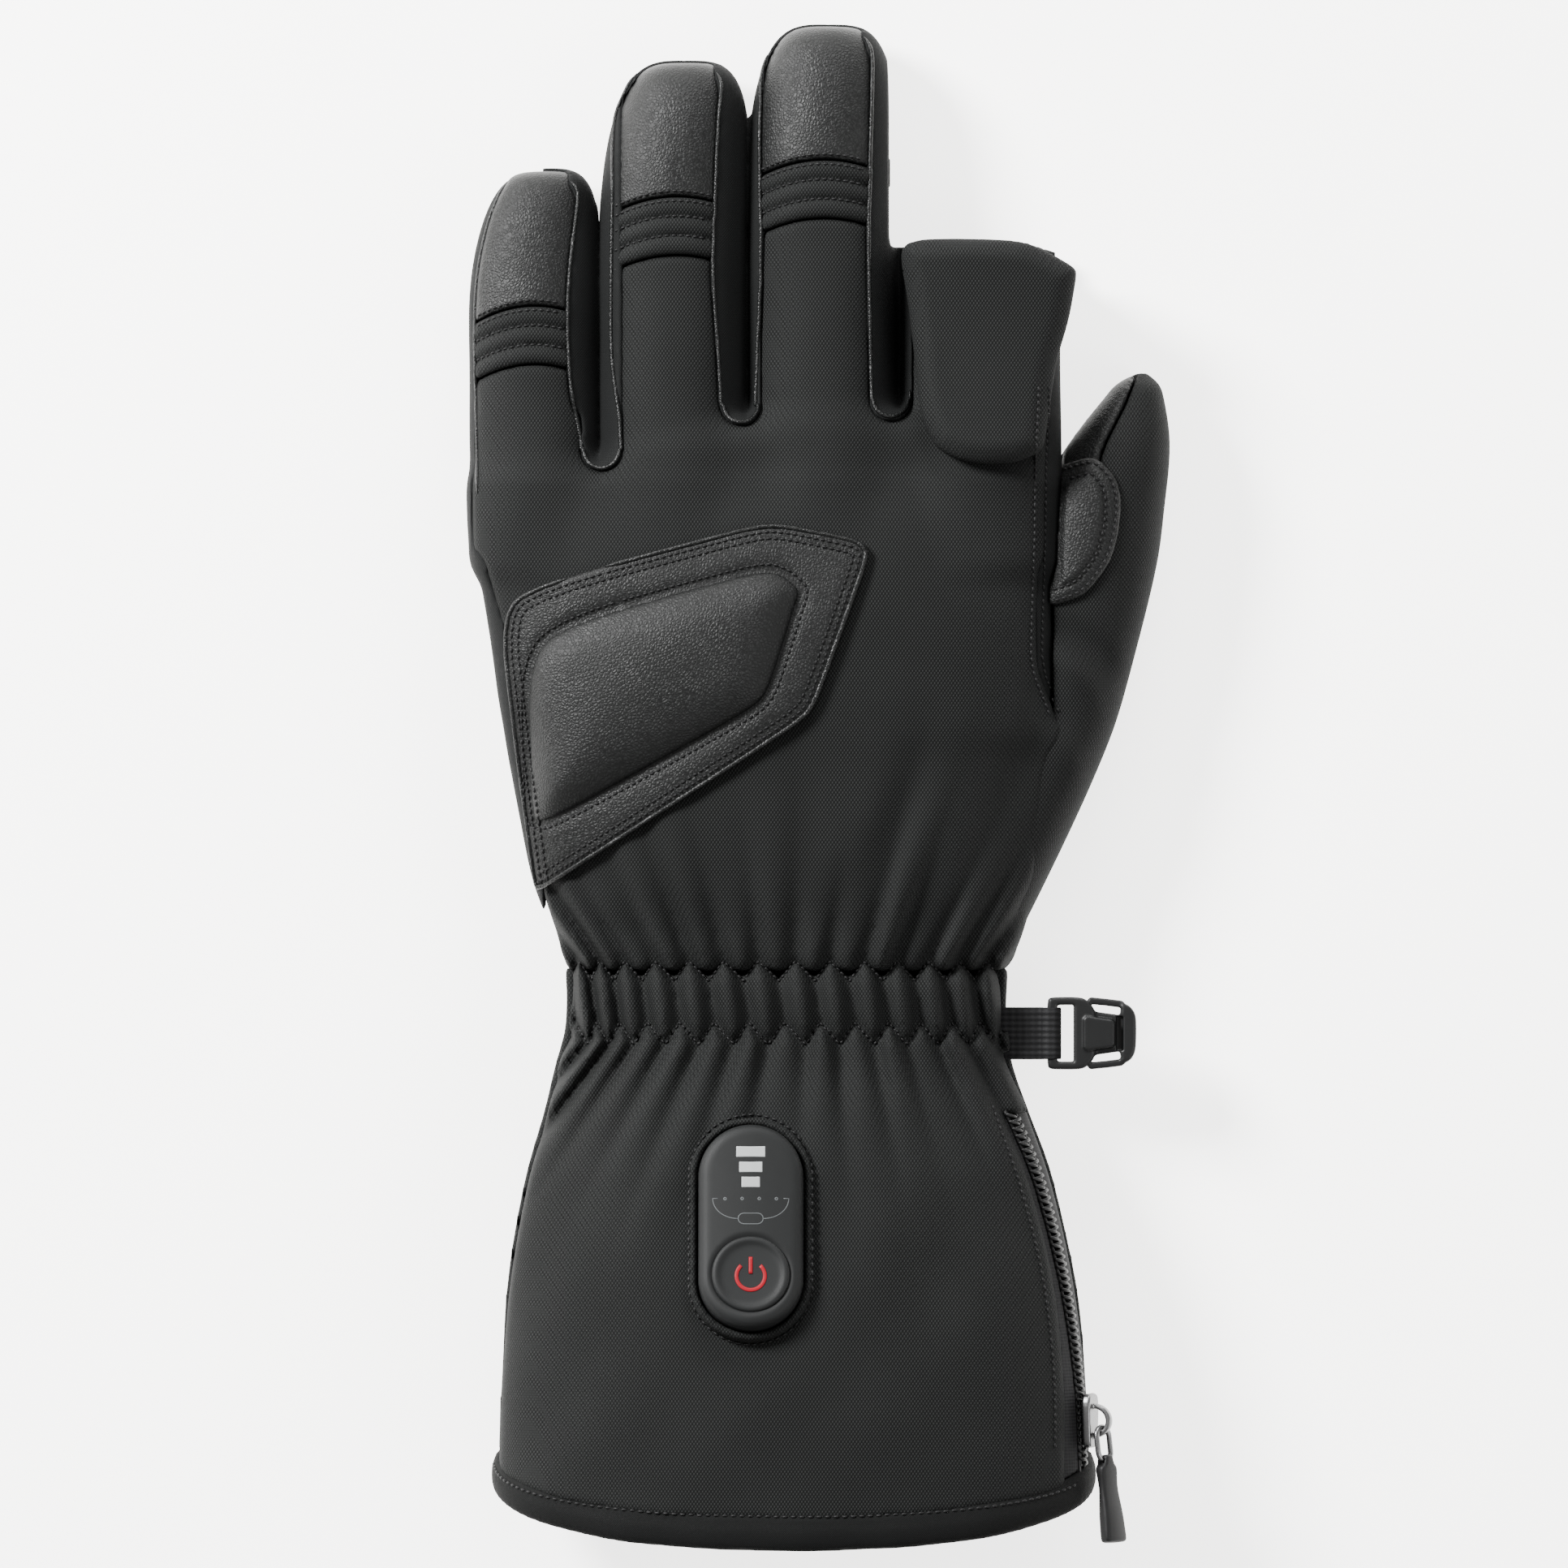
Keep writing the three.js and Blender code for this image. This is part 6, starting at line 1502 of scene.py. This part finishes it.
class GAUNTLET_OT_zip(Builder, bpy.types.Operator):
    """Side zip with its tapes, teeth, slider, link and pull"""

    bl_idname = "gauntlet.zip"
    bl_label = "Zip"

    def build(self, g):
        self.tapes(g)
        self.teeth(g)
        self.slider(g)

    def tapes(self, g):
        hem_y = g.wrist_y - g.cuff_length
        grid = Grid((38, hem_y - 8, 17), (69, ZIP_TOP + 2, 62), 0.5)
        along = leaned(g, grid)
        plain = grid.distance(tube(grid, body_section(g, along), BACK_ROUND, g.flat))
        lower = np.maximum(plain + g.zip_drop, -plain - g.zip_drop - 1.3)
        centres = [chain_frame(g, at) for at in np.linspace(-0.06, 1.1, 40)]
        ys = [c[0].y for c in centres][::-1]
        chain_x = np.interp(grid.y, ys, [c[0].x for c in centres][::-1])
        chain_z = np.interp(grid.y, ys, [c[0].z for c in centres][::-1])
        slot = np.sqrt((grid.x - chain_x) ** 2 + (grid.z - chain_z) ** 2) - 2.3
        region = np.maximum(zip_region(g, grid), hem_y + g.hem_band / 2 + 0.15 - along)
        whole = np.maximum(np.maximum(lower, region), -slot)
        above = (grid.z - chain_z) - (grid.x - chain_x)
        for node, side in (("zip_tape_front", -above), ("zip_tape_back", above)):
            field = np.maximum(whole, side)
            piece(f"{node}_weave", grid, field, "zip_tape", node)

    def teeth(self, g):
        parts = Collector()
        count = int(ZIP_LENGTH / g.tooth_pitch)
        for i in range(2 * count):
            at = 0.012 + 0.95 * (i / (2 * count))
            point, out, across, along = chain_frame(g, at)
            side = 1 if i % 2 else -1
            centre = point - out * (g.zip_drop - 0.35)
            spots = []
            for t, reach, lift in ((0, 1.75, -0.55), (0.3, 1.5, 0.15), (0.6, 0.2, 0.5), (1, -0.75, 0.12)):
                drift = along * (0.85 * (t - 0.3))
                spots.append(centre + across * (side * reach) + out * lift + drift)
            line = resampled([list(p) for p in spots], 0.45)
            ups = np.repeat([list(out)], len(line), axis=0)
            parts.tube(line, ups, 0.42, 0.42, sides=6)
        rails = [chain_frame(g, at) for at in np.linspace(0.0, 0.985, 70)]
        sunk = g.zip_drop + 0.25
        for side in (-1, 1):
            line = np.array([list(p - out * sunk + across * (side * 1.5)) for p, out, across, _ in rails])
            ups = np.array([list(out) for _, out, _, _ in rails])
            parts.tube(line, ups, 0.35, 0.5, sides=6)
        parts.build("zip_chain_teeth", "zip_teeth", nodes=("zip_chain",))

    def slider(self, g):
        point, out, across, along = chain_frame(g, 0.84)
        seat = Matrix((across, -along, out)).transposed().to_4x4()
        seat.translation = point
        grid = Grid((-5, -7.2, -1.4), (5, 7.2, 8), 0.16)
        body = [
            (-3.3, 3.2), (-2.6, 5.4), (-1.0, 5.9), (1.0, 5.9), (2.6, 5.4), (3.3, 3.2),
            (2.7, -4.6), (2.0, -5.7), (-2.0, -5.7), (-2.7, -4.6),
        ]
        outline = outline_distance(grid, rounded(body, 2))
        plate = smooth_max(outline, np.abs(grid.z - 1.2) - 0.95, 0.6)
        wedge = np.sqrt(grid.x**2 + (grid.y - 6.6) ** 2) - 1.5
        plate = np.maximum(plate, -np.maximum(wedge, grid.z - 1.4))
        arch = np.sqrt((grid.y / 3.7) ** 2 + (np.maximum(grid.z - 1.9, 0) / 4.1) ** 2)
        shell = np.abs(arch - 0.86) * 3.7 - 0.52
        bridge = smooth_max(np.maximum(shell, 1.2 - grid.z), np.abs(grid.x) - 0.95, 0.5)
        field = smooth_min(plate, bridge, 0.6)
        piece("zip_slider_body", grid, field, "zip_metal", "zip_slider", scaled_matrix(seat))

        hang = Matrix.Translation((0, -1.9, 3.6 + 0.3))
        hang = hang @ Matrix.Rotation(math.radians(-22), 4, "Y") @ Matrix.Rotation(math.radians(-8), 4, "X")
        world = seat @ hang
        line = []
        for end in (1, -1):
            for k in range(13):
                turn = math.pi * k / 12
                line.append((end * 2.0 * math.cos(turn), end * (1.6 + 2.0 * math.sin(turn)) - 3.0, 0))
        line = np.array(line)
        link = Collector()
        link.tube(line, np.repeat([[0, 0, 1.0]], len(line), axis=0), 0.62, 0.58, sides=10, closed=True)
        made = link.build("zip_link_wire", "zip_metal", nodes=("zip_ring",))
        made.data.transform(scaled_matrix(world))

        grid = Grid((-4.2, -25, -2.6), (4.2, -4, 2.6), 0.22)
        tab = [
            (-1.1, -5.3), (1.1, -5.3), (1.5, -7.2), (2.6, -8.0), (2.45, -12), (2.9, -18), (3.25, -23.4),
            (2.6, -24.0), (-2.6, -24.0), (-3.25, -23.4), (-2.9, -18), (-2.45, -12), (-2.6, -8.0),
            (-1.5, -7.2),
        ]
        outline = outline_distance(grid, rounded(tab, 2))
        thick = 1.5 - 0.45 * np.exp(-(((grid.y + 12.5) / 4.0) ** 2)) - 0.35 * (np.abs(grid.x) / 3.2) ** 2
        field = smooth_max(outline, np.abs(grid.z) - thick, 0.8)
        hole = np.sqrt((grid.y + 6.6) ** 2 + grid.z**2) - 0.85
        field = np.maximum(field, -hole)
        piece("zip_pull_tab", grid, field, "pull_rubber", "zip_pull", scaled_matrix(world))


def scaled_matrix(matrix):
    """A placement given in millimetres, for meshes in metres."""
    made = matrix.copy()
    made.translation = matrix.translation * MM
    return made


class GAUNTLET_OT_clip(Builder, bpy.types.Operator):
    """Webbing strap and moulded glove clip"""

    bl_idname = "gauntlet.clip"
    bl_label = "Strap and clip"

    def build(self, g):
        low, high = (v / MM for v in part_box("clip_strap"))
        grid = Grid((low.x - 4, low.y - 1, low.z - 5), (high.x + 3.5, high.y + 1, high.z + 5), 0.3)
        middle = (low.z + high.z) / 2
        end = high.x + 1.2
        bow = middle + 0.5 * np.sin((grid.x - low.x) / 3.2)
        flat = np.abs(grid.z - bow) - 0.95
        wide = np.abs(grid.y - (low.y + high.y) / 2) - (high.y - low.y) / 2 + 0.1
        loop = np.sqrt((grid.x - end) ** 2 + (grid.z - bow) ** 2) - 2.5
        hollow = np.sqrt((grid.x - end) ** 2 + (grid.z - bow) ** 2) - 1.55
        strap = np.maximum(flat, grid.x - end + 1.2)
        strap = np.minimum(strap, np.maximum(loop, -hollow))
        field = smooth_max(np.maximum(strap, low.x - 2 - grid.x), wide, 0.6)
        piece("clip_strap_webbing", grid, field, "webbing", "clip_strap")
        self.buckle()

    def buckle(self):
        low, high = (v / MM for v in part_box("clip_buckle"))
        grid = Grid((-1, -9, -3), (20.5, 9, 3.6), 0.25)
        plate = [
            (0, -6.9), (0.7, -7.7), (7.6, -7.7), (9.0, -6.4), (10.2, -5.0),
            (10.2, 5.0), (9.0, 6.4), (7.6, 7.7), (0.7, 7.7), (0, 6.9),
        ]
        outline = outline_distance(grid, rounded(plate, 2))
        slot = outline_distance(grid, [(2.5, -5.7), (5.3, -5.7), (5.3, 5.7), (2.5, 5.7)])
        body = smooth_max(np.maximum(outline, 0.3 - slot), np.abs(grid.z) - 2.0, 0.8)
        tongue = [(7.4, -5.0), (17.4, -3.6), (17.4, 3.6), (7.4, 5.0)]
        tongue = smooth_max(outline_distance(grid, rounded(tongue, 1)), np.abs(grid.z) - 1.3, 0.6)
        raised = [(7.6, -3.9), (14.4, -2.9), (14.4, 2.9), (7.6, 3.9)]
        raised = outline_distance(grid, rounded(raised, 1, 0.1))
        raised = smooth_max(raised, np.abs(grid.z - 0.8) - 1.75, 0.7)
        end = [(15.4, -6.6), (17.6, -5.9), (18.9, -3.8), (19.0, 3.8), (17.6, 5.9), (15.4, 6.6)]
        end = smooth_max(outline_distance(grid, rounded(end, 2)), np.abs(grid.z) - 2.0, 0.9)
        recess = outline_distance(grid, [(14.7, -3.6), (16.1, -3.6), (16.1, 3.6), (14.7, 3.6)])
        field = smooth_min(body, tongue, 0.8)
        field = smooth_min(field, raised, 0.3)
        for side in (-1, 1):
            spots = [(9.4, 6.9), (12.5, 6.6), (15.6, 6.2)]
            arm = None
            for (x0, y0), (x1, y1) in zip(spots, spots[1:]):
                dx, dy = x1 - x0, side * (y1 - y0)
                t = np.clip(((grid.x - x0) * dx + (grid.y - side * y0) * dy) / (dx * dx + dy * dy), 0, 1)
                near = np.sqrt((grid.x - x0 - t * dx) ** 2 + (grid.y - side * y0 - t * dy) ** 2) - 0.75
                arm = near if arm is None else np.minimum(arm, near)
            field = smooth_min(field, smooth_max(arm, np.abs(grid.z) - 1.6, 0.6), 0.4)
        field = smooth_min(field, end, 0.6)
        field = np.maximum(field, -np.maximum(recess, 0.3 - grid.z))
        middle = Vector((low.x, (low.y + high.y) / 2, (low.z + high.z) / 2))
        place = Matrix.Translation(middle * MM)
        piece("clip_buckle_moulding", grid, field, "clip_plastic", "clip_buckle", place)


# Controller

CASE_X, CASE_Y = -7.0, -93.9
CASE_WIDTH, CASE_LENGTH, CASE_HEIGHT = 22.1, 44.1, 5.0
CASE_CROWN = 0.0072
BUTTON_Y, BUTTON_RADIUS = -10.6, 8.2


def case_seat(g):
    """Placement of the controller on the slope of the gauntlet's back."""

    def height(y):
        s = body_section(g, y)
        middle, half = (s.left + s.right) / 2, (s.right - s.left) / 2
        q = abs(CASE_X - middle) / half
        return float(s.side + (s.top - s.side) * (1 - q**BACK_ROUND) ** (1 / BACK_ROUND))

    front, back = height(CASE_Y + CASE_LENGTH / 2), height(CASE_Y - CASE_LENGTH / 2)
    tilt = -math.atan2(back - front, CASE_LENGTH)
    seat = Matrix.Rotation(tilt, 4, "X")
    seat.translation = Vector((CASE_X, CASE_Y, height(CASE_Y)))
    return seat


def stadium(grid, width, size):
    """Distance to an upright oblong with round ends."""
    along = np.maximum(np.abs(grid.y) - (size - width) / 2, 0)
    return np.sqrt(grid.x**2 + along**2) - width / 2


class GAUNTLET_OT_controller(Builder, bpy.types.Operator):
    """Heat controller: collar, case, button, level windows and printed legend"""

    bl_idname = "gauntlet.controller"
    bl_label = "Controller"

    def build(self, g):
        seat = case_seat(g)
        world = scaled_matrix(seat)
        grid = Grid((-15, -26, -3.5), (15, 26, 6.5), 0.34)
        outline = stadium(grid, CASE_WIDTH, CASE_LENGTH)
        across = grid.z - CASE_HEIGHT + CASE_CROWN * grid.x**2
        spot = np.sqrt(grid.x**2 + (grid.y - BUTTON_Y) ** 2)
        dish = 0.55 * (1 - step_up(spot, 7.6, 9.2))
        case = smooth_max(outline, across + dish, 2.6)
        case = np.maximum(case, -1.6 - grid.z)
        lip = np.abs(grid.z - 1.9) - 0.12
        case = np.maximum(case, -np.maximum(lip, -outline - 0.35))
        piece("controller_case", grid, case, "case_plastic", "module_case", world)

        ring = np.abs(outline - 1.15) - 0.85
        top = 1.5 + 0.12 * np.sin(grid.x * 1.9) * np.sin(grid.y * 2.1)
        collar = smooth_max(ring, grid.z - top, 1.3)
        collar = np.maximum(collar, -2.6 - grid.z)
        piece("controller_collar", grid, collar, "softshell", "module_collar", world)

        small = Grid((-9.4, -9.4, 3.2), (9.4, 9.4, 6.2), 0.26)
        spot = np.sqrt(small.x**2 + small.y**2)
        rim = 4.55 + 0.38 * np.exp(-(((spot - 7.3) / 0.8) ** 2)) + 0.25 * (spot / BUTTON_RADIUS) ** 2
        button = smooth_max(spot - BUTTON_RADIUS, np.maximum(small.z - rim, 3.9 - small.z), 0.5)
        place = world @ Matrix.Translation((0, BUTTON_Y * MM, 0))
        piece("controller_button", small, button, "button_rubber", "module_button", place)
        self.windows(world)
        self.legend(world)

    def windows(self, world):
        rows = ((15.75, 6.2, 2.4), (12.45, 5.0, 2.4), (9.2, 4.0, 2.4))
        for i, (y, wide, high) in enumerate(rows):
            grid = Grid((-4.4, -2.4, 4.2), (4.4, 2.4, 5.8), 0.12)
            outline = np.maximum(np.abs(grid.x) - wide / 2, np.abs(grid.y) - high / 2)
            field = smooth_max(outline, np.abs(grid.z - 4.82) - 0.24, 0.3)
            place = world @ Matrix.Translation((0, y * MM, 0))
            piece(f"level_window_{i + 1}", grid, field, "level_light", f"level_bar_{i + 1}", place)

    def legend(self, world):
        up = np.array([0, 0, 1.0])
        printed = Collector()
        top = CASE_HEIGHT - 0.02
        for x in (-5.4, -1.8, 1.8, 5.4):
            turn = np.linspace(0, 2 * np.pi, 13)[:-1]
            line = np.stack([x + 0.26 * np.cos(turn), 5.6 + 0.26 * np.sin(turn), 0 * turn], axis=1)
            line[:, 2] = top - CASE_CROWN * line[:, 0] ** 2
            printed.tube(line, np.repeat([up], 12, axis=0), 0.16, 0.05, sides=6, closed=True)
        for side in (-1, 1):
            turn = np.linspace(0, np.pi / 2, 14)
            x = side * (8.0 - 5.4 * (1 - np.cos(turn)))
            y = 5.7 - 4.4 * np.sin(turn)
            line = np.stack([x, y, top - CASE_CROWN * x**2], axis=1)
            hook = np.array([[side * 6.9, 5.7, top - 0.34], [side * 7.5, 5.7, top - 0.4]])
            line = np.vstack([hook, line])
            printed.tube(line, np.repeat([up], len(line), axis=0), 0.12, 0.05, sides=6)
        pill = []
        for end in (1, -1):
            for k in range(7):
                turn = math.pi * (k / 6 - 0.5)
                pill.append((end * (1.5 + 1.15 * math.cos(turn)), 1.3 + end * 1.15 * math.sin(turn), top))
        printed.tube(np.array(pill), np.repeat([up], len(pill), axis=0), 0.12, 0.05, sides=6, closed=True)
        made = printed.build("controller_legend", "level_light", "legend")
        made.data.transform(world)

        symbol = Collector()
        turn = np.radians(np.linspace(90 + 42, 450 - 42, 34))
        x, y = 3.0 * np.cos(turn), BUTTON_Y - 0.4 + 3.0 * np.sin(turn)
        spot = np.hypot(x, y - BUTTON_Y)
        line = np.stack([x, y, 4.62 + 0.25 * (spot / BUTTON_RADIUS) ** 2], axis=1)
        symbol.tube(line, np.repeat([up], len(line), axis=0), 0.42, 0.08, sides=8)
        stem = np.array([(0, BUTTON_Y + t, 4.64) for t in np.linspace(0.1, 3.7, 8)])
        symbol.tube(stem, np.repeat([up], len(stem), axis=0), 0.42, 0.08, sides=8)
        made = symbol.build("controller_power_symbol", "button_rubber", "symbol")
        made.data.transform(world)


class GAUNTLET_OT_seams(Builder, bpy.types.Operator):
    """Piped seams and stitch rows"""

    bl_idname = "gauntlet.seams"
    bl_label = "Seams"

    def build(self, g):
        tree = surface_tree()
        self.threads, self.piping = Collector(), Collector()
        self.finger_seams(g, tree)
        self.guard_seams(g, tree)
        self.wrist_rows(g, tree)
        self.cuff_seams(g, tree)
        self.thumb_seams(g, tree)
        self.piping.build("seam_piping", "leather", "piping")
        self.threads.build("seam_threads", "binding", "thread")

    def row(self, g, tree, line, closed=False, size=None):
        """A stitch row along a line seen from above."""
        points, normals = draped(tree, line, 0.5, 0.02, closed, 3)
        self.threads.stitches(points, normals, size or g.stitch, g.thread)

    def pipe(self, tree, line, wide, lift, soften=6):
        """Piping along a line seen from above, thin at both ends."""
        points, normals = draped(tree, line, 0.7, lift, False, soften)
        self.piping.tube(points, normals, wide, wide, sides=8, taper=4)

    def finger_seams(self, g, tree):
        fingers = list(fingers_of(g).values())
        for before, after, crotch in zip(fingers, fingers[1:], CROTCHES):
            x, y, half = (crotch[key] * g.palm_width for key in ("x", "y", "half"))
            centre = y + half - 1.2
            down = self.side_line(before, "right", -0.1, centre)
            turn = np.linspace(0, np.pi, 16)
            under = list(zip(x - half * np.cos(turn), centre - half * np.sin(turn)))
            up = self.side_line(after, "left", 0.1, centre)[::-1]
            self.pipe(tree, down + under + up, 0.45, 0.12, soften=4)
        self.pipe(tree, self.side_line(fingers[0], "left", 0.1, g.knuckle_y - 2), 0.42, 0.05)
        for finger in fingers[:3]:
            self.cap_seam(g, tree, finger)

    def side_line(self, finger, side, inner, low):
        """Seam line down one side of a finger."""
        rows = FINGER_SEAMS[finger.name]
        start = 0.6 if finger.open else rows[0]["at"]
        places = np.linspace(start, (finger.tip - low) / finger.length, 50)
        xs = finger.axis + column(rows, side, places) * finger.width / 2 + inner
        return list(zip(xs, finger.tip - places * finger.length))

    def cap_seam(self, g, tree, finger):
        rows = FINGER_SEAMS[finger.name]

        def curve(back, trim=0.6):
            spot = np.array([back / finger.length])
            left = float(column(rows, "left", spot)[0]) * finger.width / 2 + finger.axis + trim
            right = float(column(rows, "right", spot)[0]) * finger.width / 2 + finger.axis - trim
            xs = np.linspace(left, right, 30)
            q = (xs - finger.axis - finger.lean * CAP_LEAN) / (finger.width / 2)
            return list(zip(xs, finger.tip - back - CAP_ARC * q * q))

        self.pipe(tree, curve(g.cap_length + 0.1, 0.2), 0.62, 0.12)
        self.row(g, tree, curve(g.cap_length - 1.25), size=1.5)
        for i in range(4):
            self.row(g, tree, curve(g.cap_length + i * g.rib_pitch + (0.9 if i == 0 else 0)), size=1.5)

    def guard_seams(self, g, tree):
        outline = rounded(GUARD_OUTLINE, 3, 0.14)
        edge = inset_line(outline, 0.35)
        self.pipe(tree, edge.tolist(), 0.55, 0.05)
        for inset in (1.5, 2.9):
            self.row(g, tree, inset_line(outline, inset).tolist(), closed=True, size=1.5)
        pad = rounded(PAD_OUTLINE, 3, 0.16)
        self.row(g, tree, inset_line(pad, -1.1).tolist(), closed=True, size=1.5)

    def wrist_rows(self, g, tree):
        xs = np.linspace(-43.5, 44.5, 900)
        for upper in (True, False):
            ys = np.full_like(xs, g.wrist_y if upper else g.wrist_y - g.row_gap)
            for _ in range(3):
                tooth = zigzag(phase_at(g, xs, ys))
                lower = g.wrist_y - g.row_gap - LOWER_TOOTH * tooth
                ys = g.wrist_y + UPPER_TOOTH * tooth if upper else lower
            self.row(g, tree, list(zip(xs, ys)), size=1.25)

    def cuff_seams(self, g, tree):
        hem_y = g.wrist_y - g.cuff_length
        xs = np.linspace(-61.5, 62.0, 160)
        s = body_section(g, hem_y)
        middle, half = (s.left + s.right) / 2, (s.right - s.left) / 2
        q = np.clip(np.abs(xs - middle) / half, 0, 0.9999)
        z = s.side + (s.top - s.side) * (1 - q**BACK_ROUND) ** (1 / BACK_ROUND)
        ys = hem_y + g.hem_band / 2 - 1.5 - HEM_LEAN * (z - s.side)
        self.row(g, tree, list(zip(xs, ys)), size=1.8)
        ys = np.linspace(ZIP_TOP + 1.2, hem_y + 4, 60)
        self.row(g, tree, [(float(zip_x(g, y, "edge")) - 1.5, y) for y in ys], size=1.6)
        turn = np.linspace(0, 2 * np.pi, 90)[:-1]
        x = CASE_X + 12.9 * np.cos(turn)
        y = CASE_Y + 11.2 * np.sign(np.sin(turn)) + 12.9 * np.sin(turn)
        self.row(g, tree, list(zip(x, y)), closed=True, size=1.7)

    def thumb_seams(self, g, tree):
        self.pipe(tree, THUMB_SEAM[1:5], 0.4, 0.05)
        patch = np.array(rounded(PATCH_OUTLINE, 3))
        patch = patch[patch[:, 0] > 57.5]
        middle = np.array([60.0, 54.0])
        turn = np.arctan2(patch[:, 1] - middle[1], patch[:, 0] - middle[0])
        patch = patch[np.argsort(turn)]
        for inset in (1.0, 3.3):
            ahead = np.gradient(patch, axis=0)
            ahead /= np.linalg.norm(ahead, axis=1)[:, None]
            inward = np.stack([-ahead[:, 1], ahead[:, 0]], axis=1)
            self.row(g, tree, (patch + inward * inset).tolist(), size=1.5)
        ys = np.linspace(84, 14, 80)
        self.row(g, tree, [(float(radial_seam(g, y)) + 1.1, y) for y in ys], size=1.5)
        self.row(g, tree, [(float(radial_seam(g, y)) - 1.2, y) for y in ys], size=1.5)


# Camera: sensor in millimetres, heights and the picture's width at the glove in metres
SENSOR = 36
CAMERA_HEIGHT = 4.0
FOCUS_DISTANCE = 3.98
PICTURE_WIDTH = 0.3327


class GAUNTLET_OT_stage(Builder, bpy.types.Operator):
    """Pale floor, soft lights and the camera above the glove"""

    bl_idname = "gauntlet.stage"
    bl_label = "Stage"

    def build(self, g):
        scene = bpy.context.scene
        turns = ((-1, -1), (1, -1), (1, 1), (-1, 1))
        floor = new_object("floor", [(a * 3000, b * 3000, -0.2) for a, b in turns], [[0, 1, 2, 3]])
        paper = bpy.data.materials.new("paper")
        paper.use_nodes = True
        sheet = paper.node_tree.nodes["Principled BSDF"]
        sheet.inputs["Base Color"].default_value = (0.97, 0.965, 0.95, 1)
        sheet.inputs["Emission Color"].default_value = (1, 0.995, 0.98, 1)
        sheet.inputs["Emission Strength"].default_value = 2.8
        sheet.inputs["Roughness"].default_value = 0.9
        floor.data.materials.append(paper)
        world = bpy.data.worlds.new("studio")
        world.use_nodes = True
        sky = world.node_tree.nodes["Background"]
        sky.inputs["Color"].default_value = (1.0, 0.99, 0.97, 1)
        sky.inputs["Strength"].default_value = 0.8
        scene.world = world
        self.lamp("key", (-850, 650, 750), 420, 75.0)
        self.lamp("fill", (900, -300, 900), 700, 9.0)
        self.lamp("back", (200, 1100, 500), 450, 16.0)
        camera = bpy.data.objects.new("camera", bpy.data.cameras.new("camera"))
        camera.location = (0, 0, CAMERA_HEIGHT)
        camera.data.lens = SENSOR * FOCUS_DISTANCE / PICTURE_WIDTH
        camera.data.sensor_width = SENSOR
        scene.collection.objects.link(camera)
        scene.camera = camera

    def lamp(self, name, place, size, power):
        data = bpy.data.lights.new(name, "AREA")
        data.shape = "DISK"
        data.size = size * MM
        data.energy = power
        made = bpy.data.objects.new(name, data)
        made.location = Vector(place) * MM
        made.rotation_euler = (-made.location).to_track_quat("-Z", "Y").to_euler()
        bpy.context.scene.collection.objects.link(made)


OPERATORS = (
    GAUNTLET_OT_back,
    GAUNTLET_OT_fingertips,
    GAUNTLET_OT_sides,
    GAUNTLET_OT_palm,
    GAUNTLET_OT_thumb,
    GAUNTLET_OT_guard,
    GAUNTLET_OT_hood,
    GAUNTLET_OT_cuff,
    GAUNTLET_OT_zip,
    GAUNTLET_OT_clip,
    GAUNTLET_OT_controller,
    GAUNTLET_OT_seams,
    GAUNTLET_OT_stage,
)


class GAUNTLET_PT_panel(bpy.types.Panel):
    """Lists the pieces of the gauntlet"""

    bl_idname = "GAUNTLET_PT_panel"
    bl_label = "Heated gauntlet"
    bl_space_type = "VIEW_3D"
    bl_region_type = "UI"
    bl_category = "Gauntlet"

    def draw(self, context):
        for operator in OPERATORS:
            self.layout.operator(operator.bl_idname)


CLASSES = (GloveSizes, GloveColours, *OPERATORS, GAUNTLET_PT_panel)


def register():
    for item in CLASSES:
        bpy.utils.register_class(item)
    bpy.types.Scene.glove_sizes = bpy.props.PointerProperty(type=GloveSizes)
    bpy.types.Scene.glove_colours = bpy.props.PointerProperty(type=GloveColours)


def unregister():
    del bpy.types.Scene.glove_colours
    del bpy.types.Scene.glove_sizes
    for item in reversed(CLASSES):
        bpy.utils.unregister_class(item)


def main():
    register()
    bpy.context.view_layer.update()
    for operator in OPERATORS:
        group, name = operator.bl_idname.split(".")
        getattr(getattr(bpy.ops, group), name)()


if __name__ == "__main__":
    main()
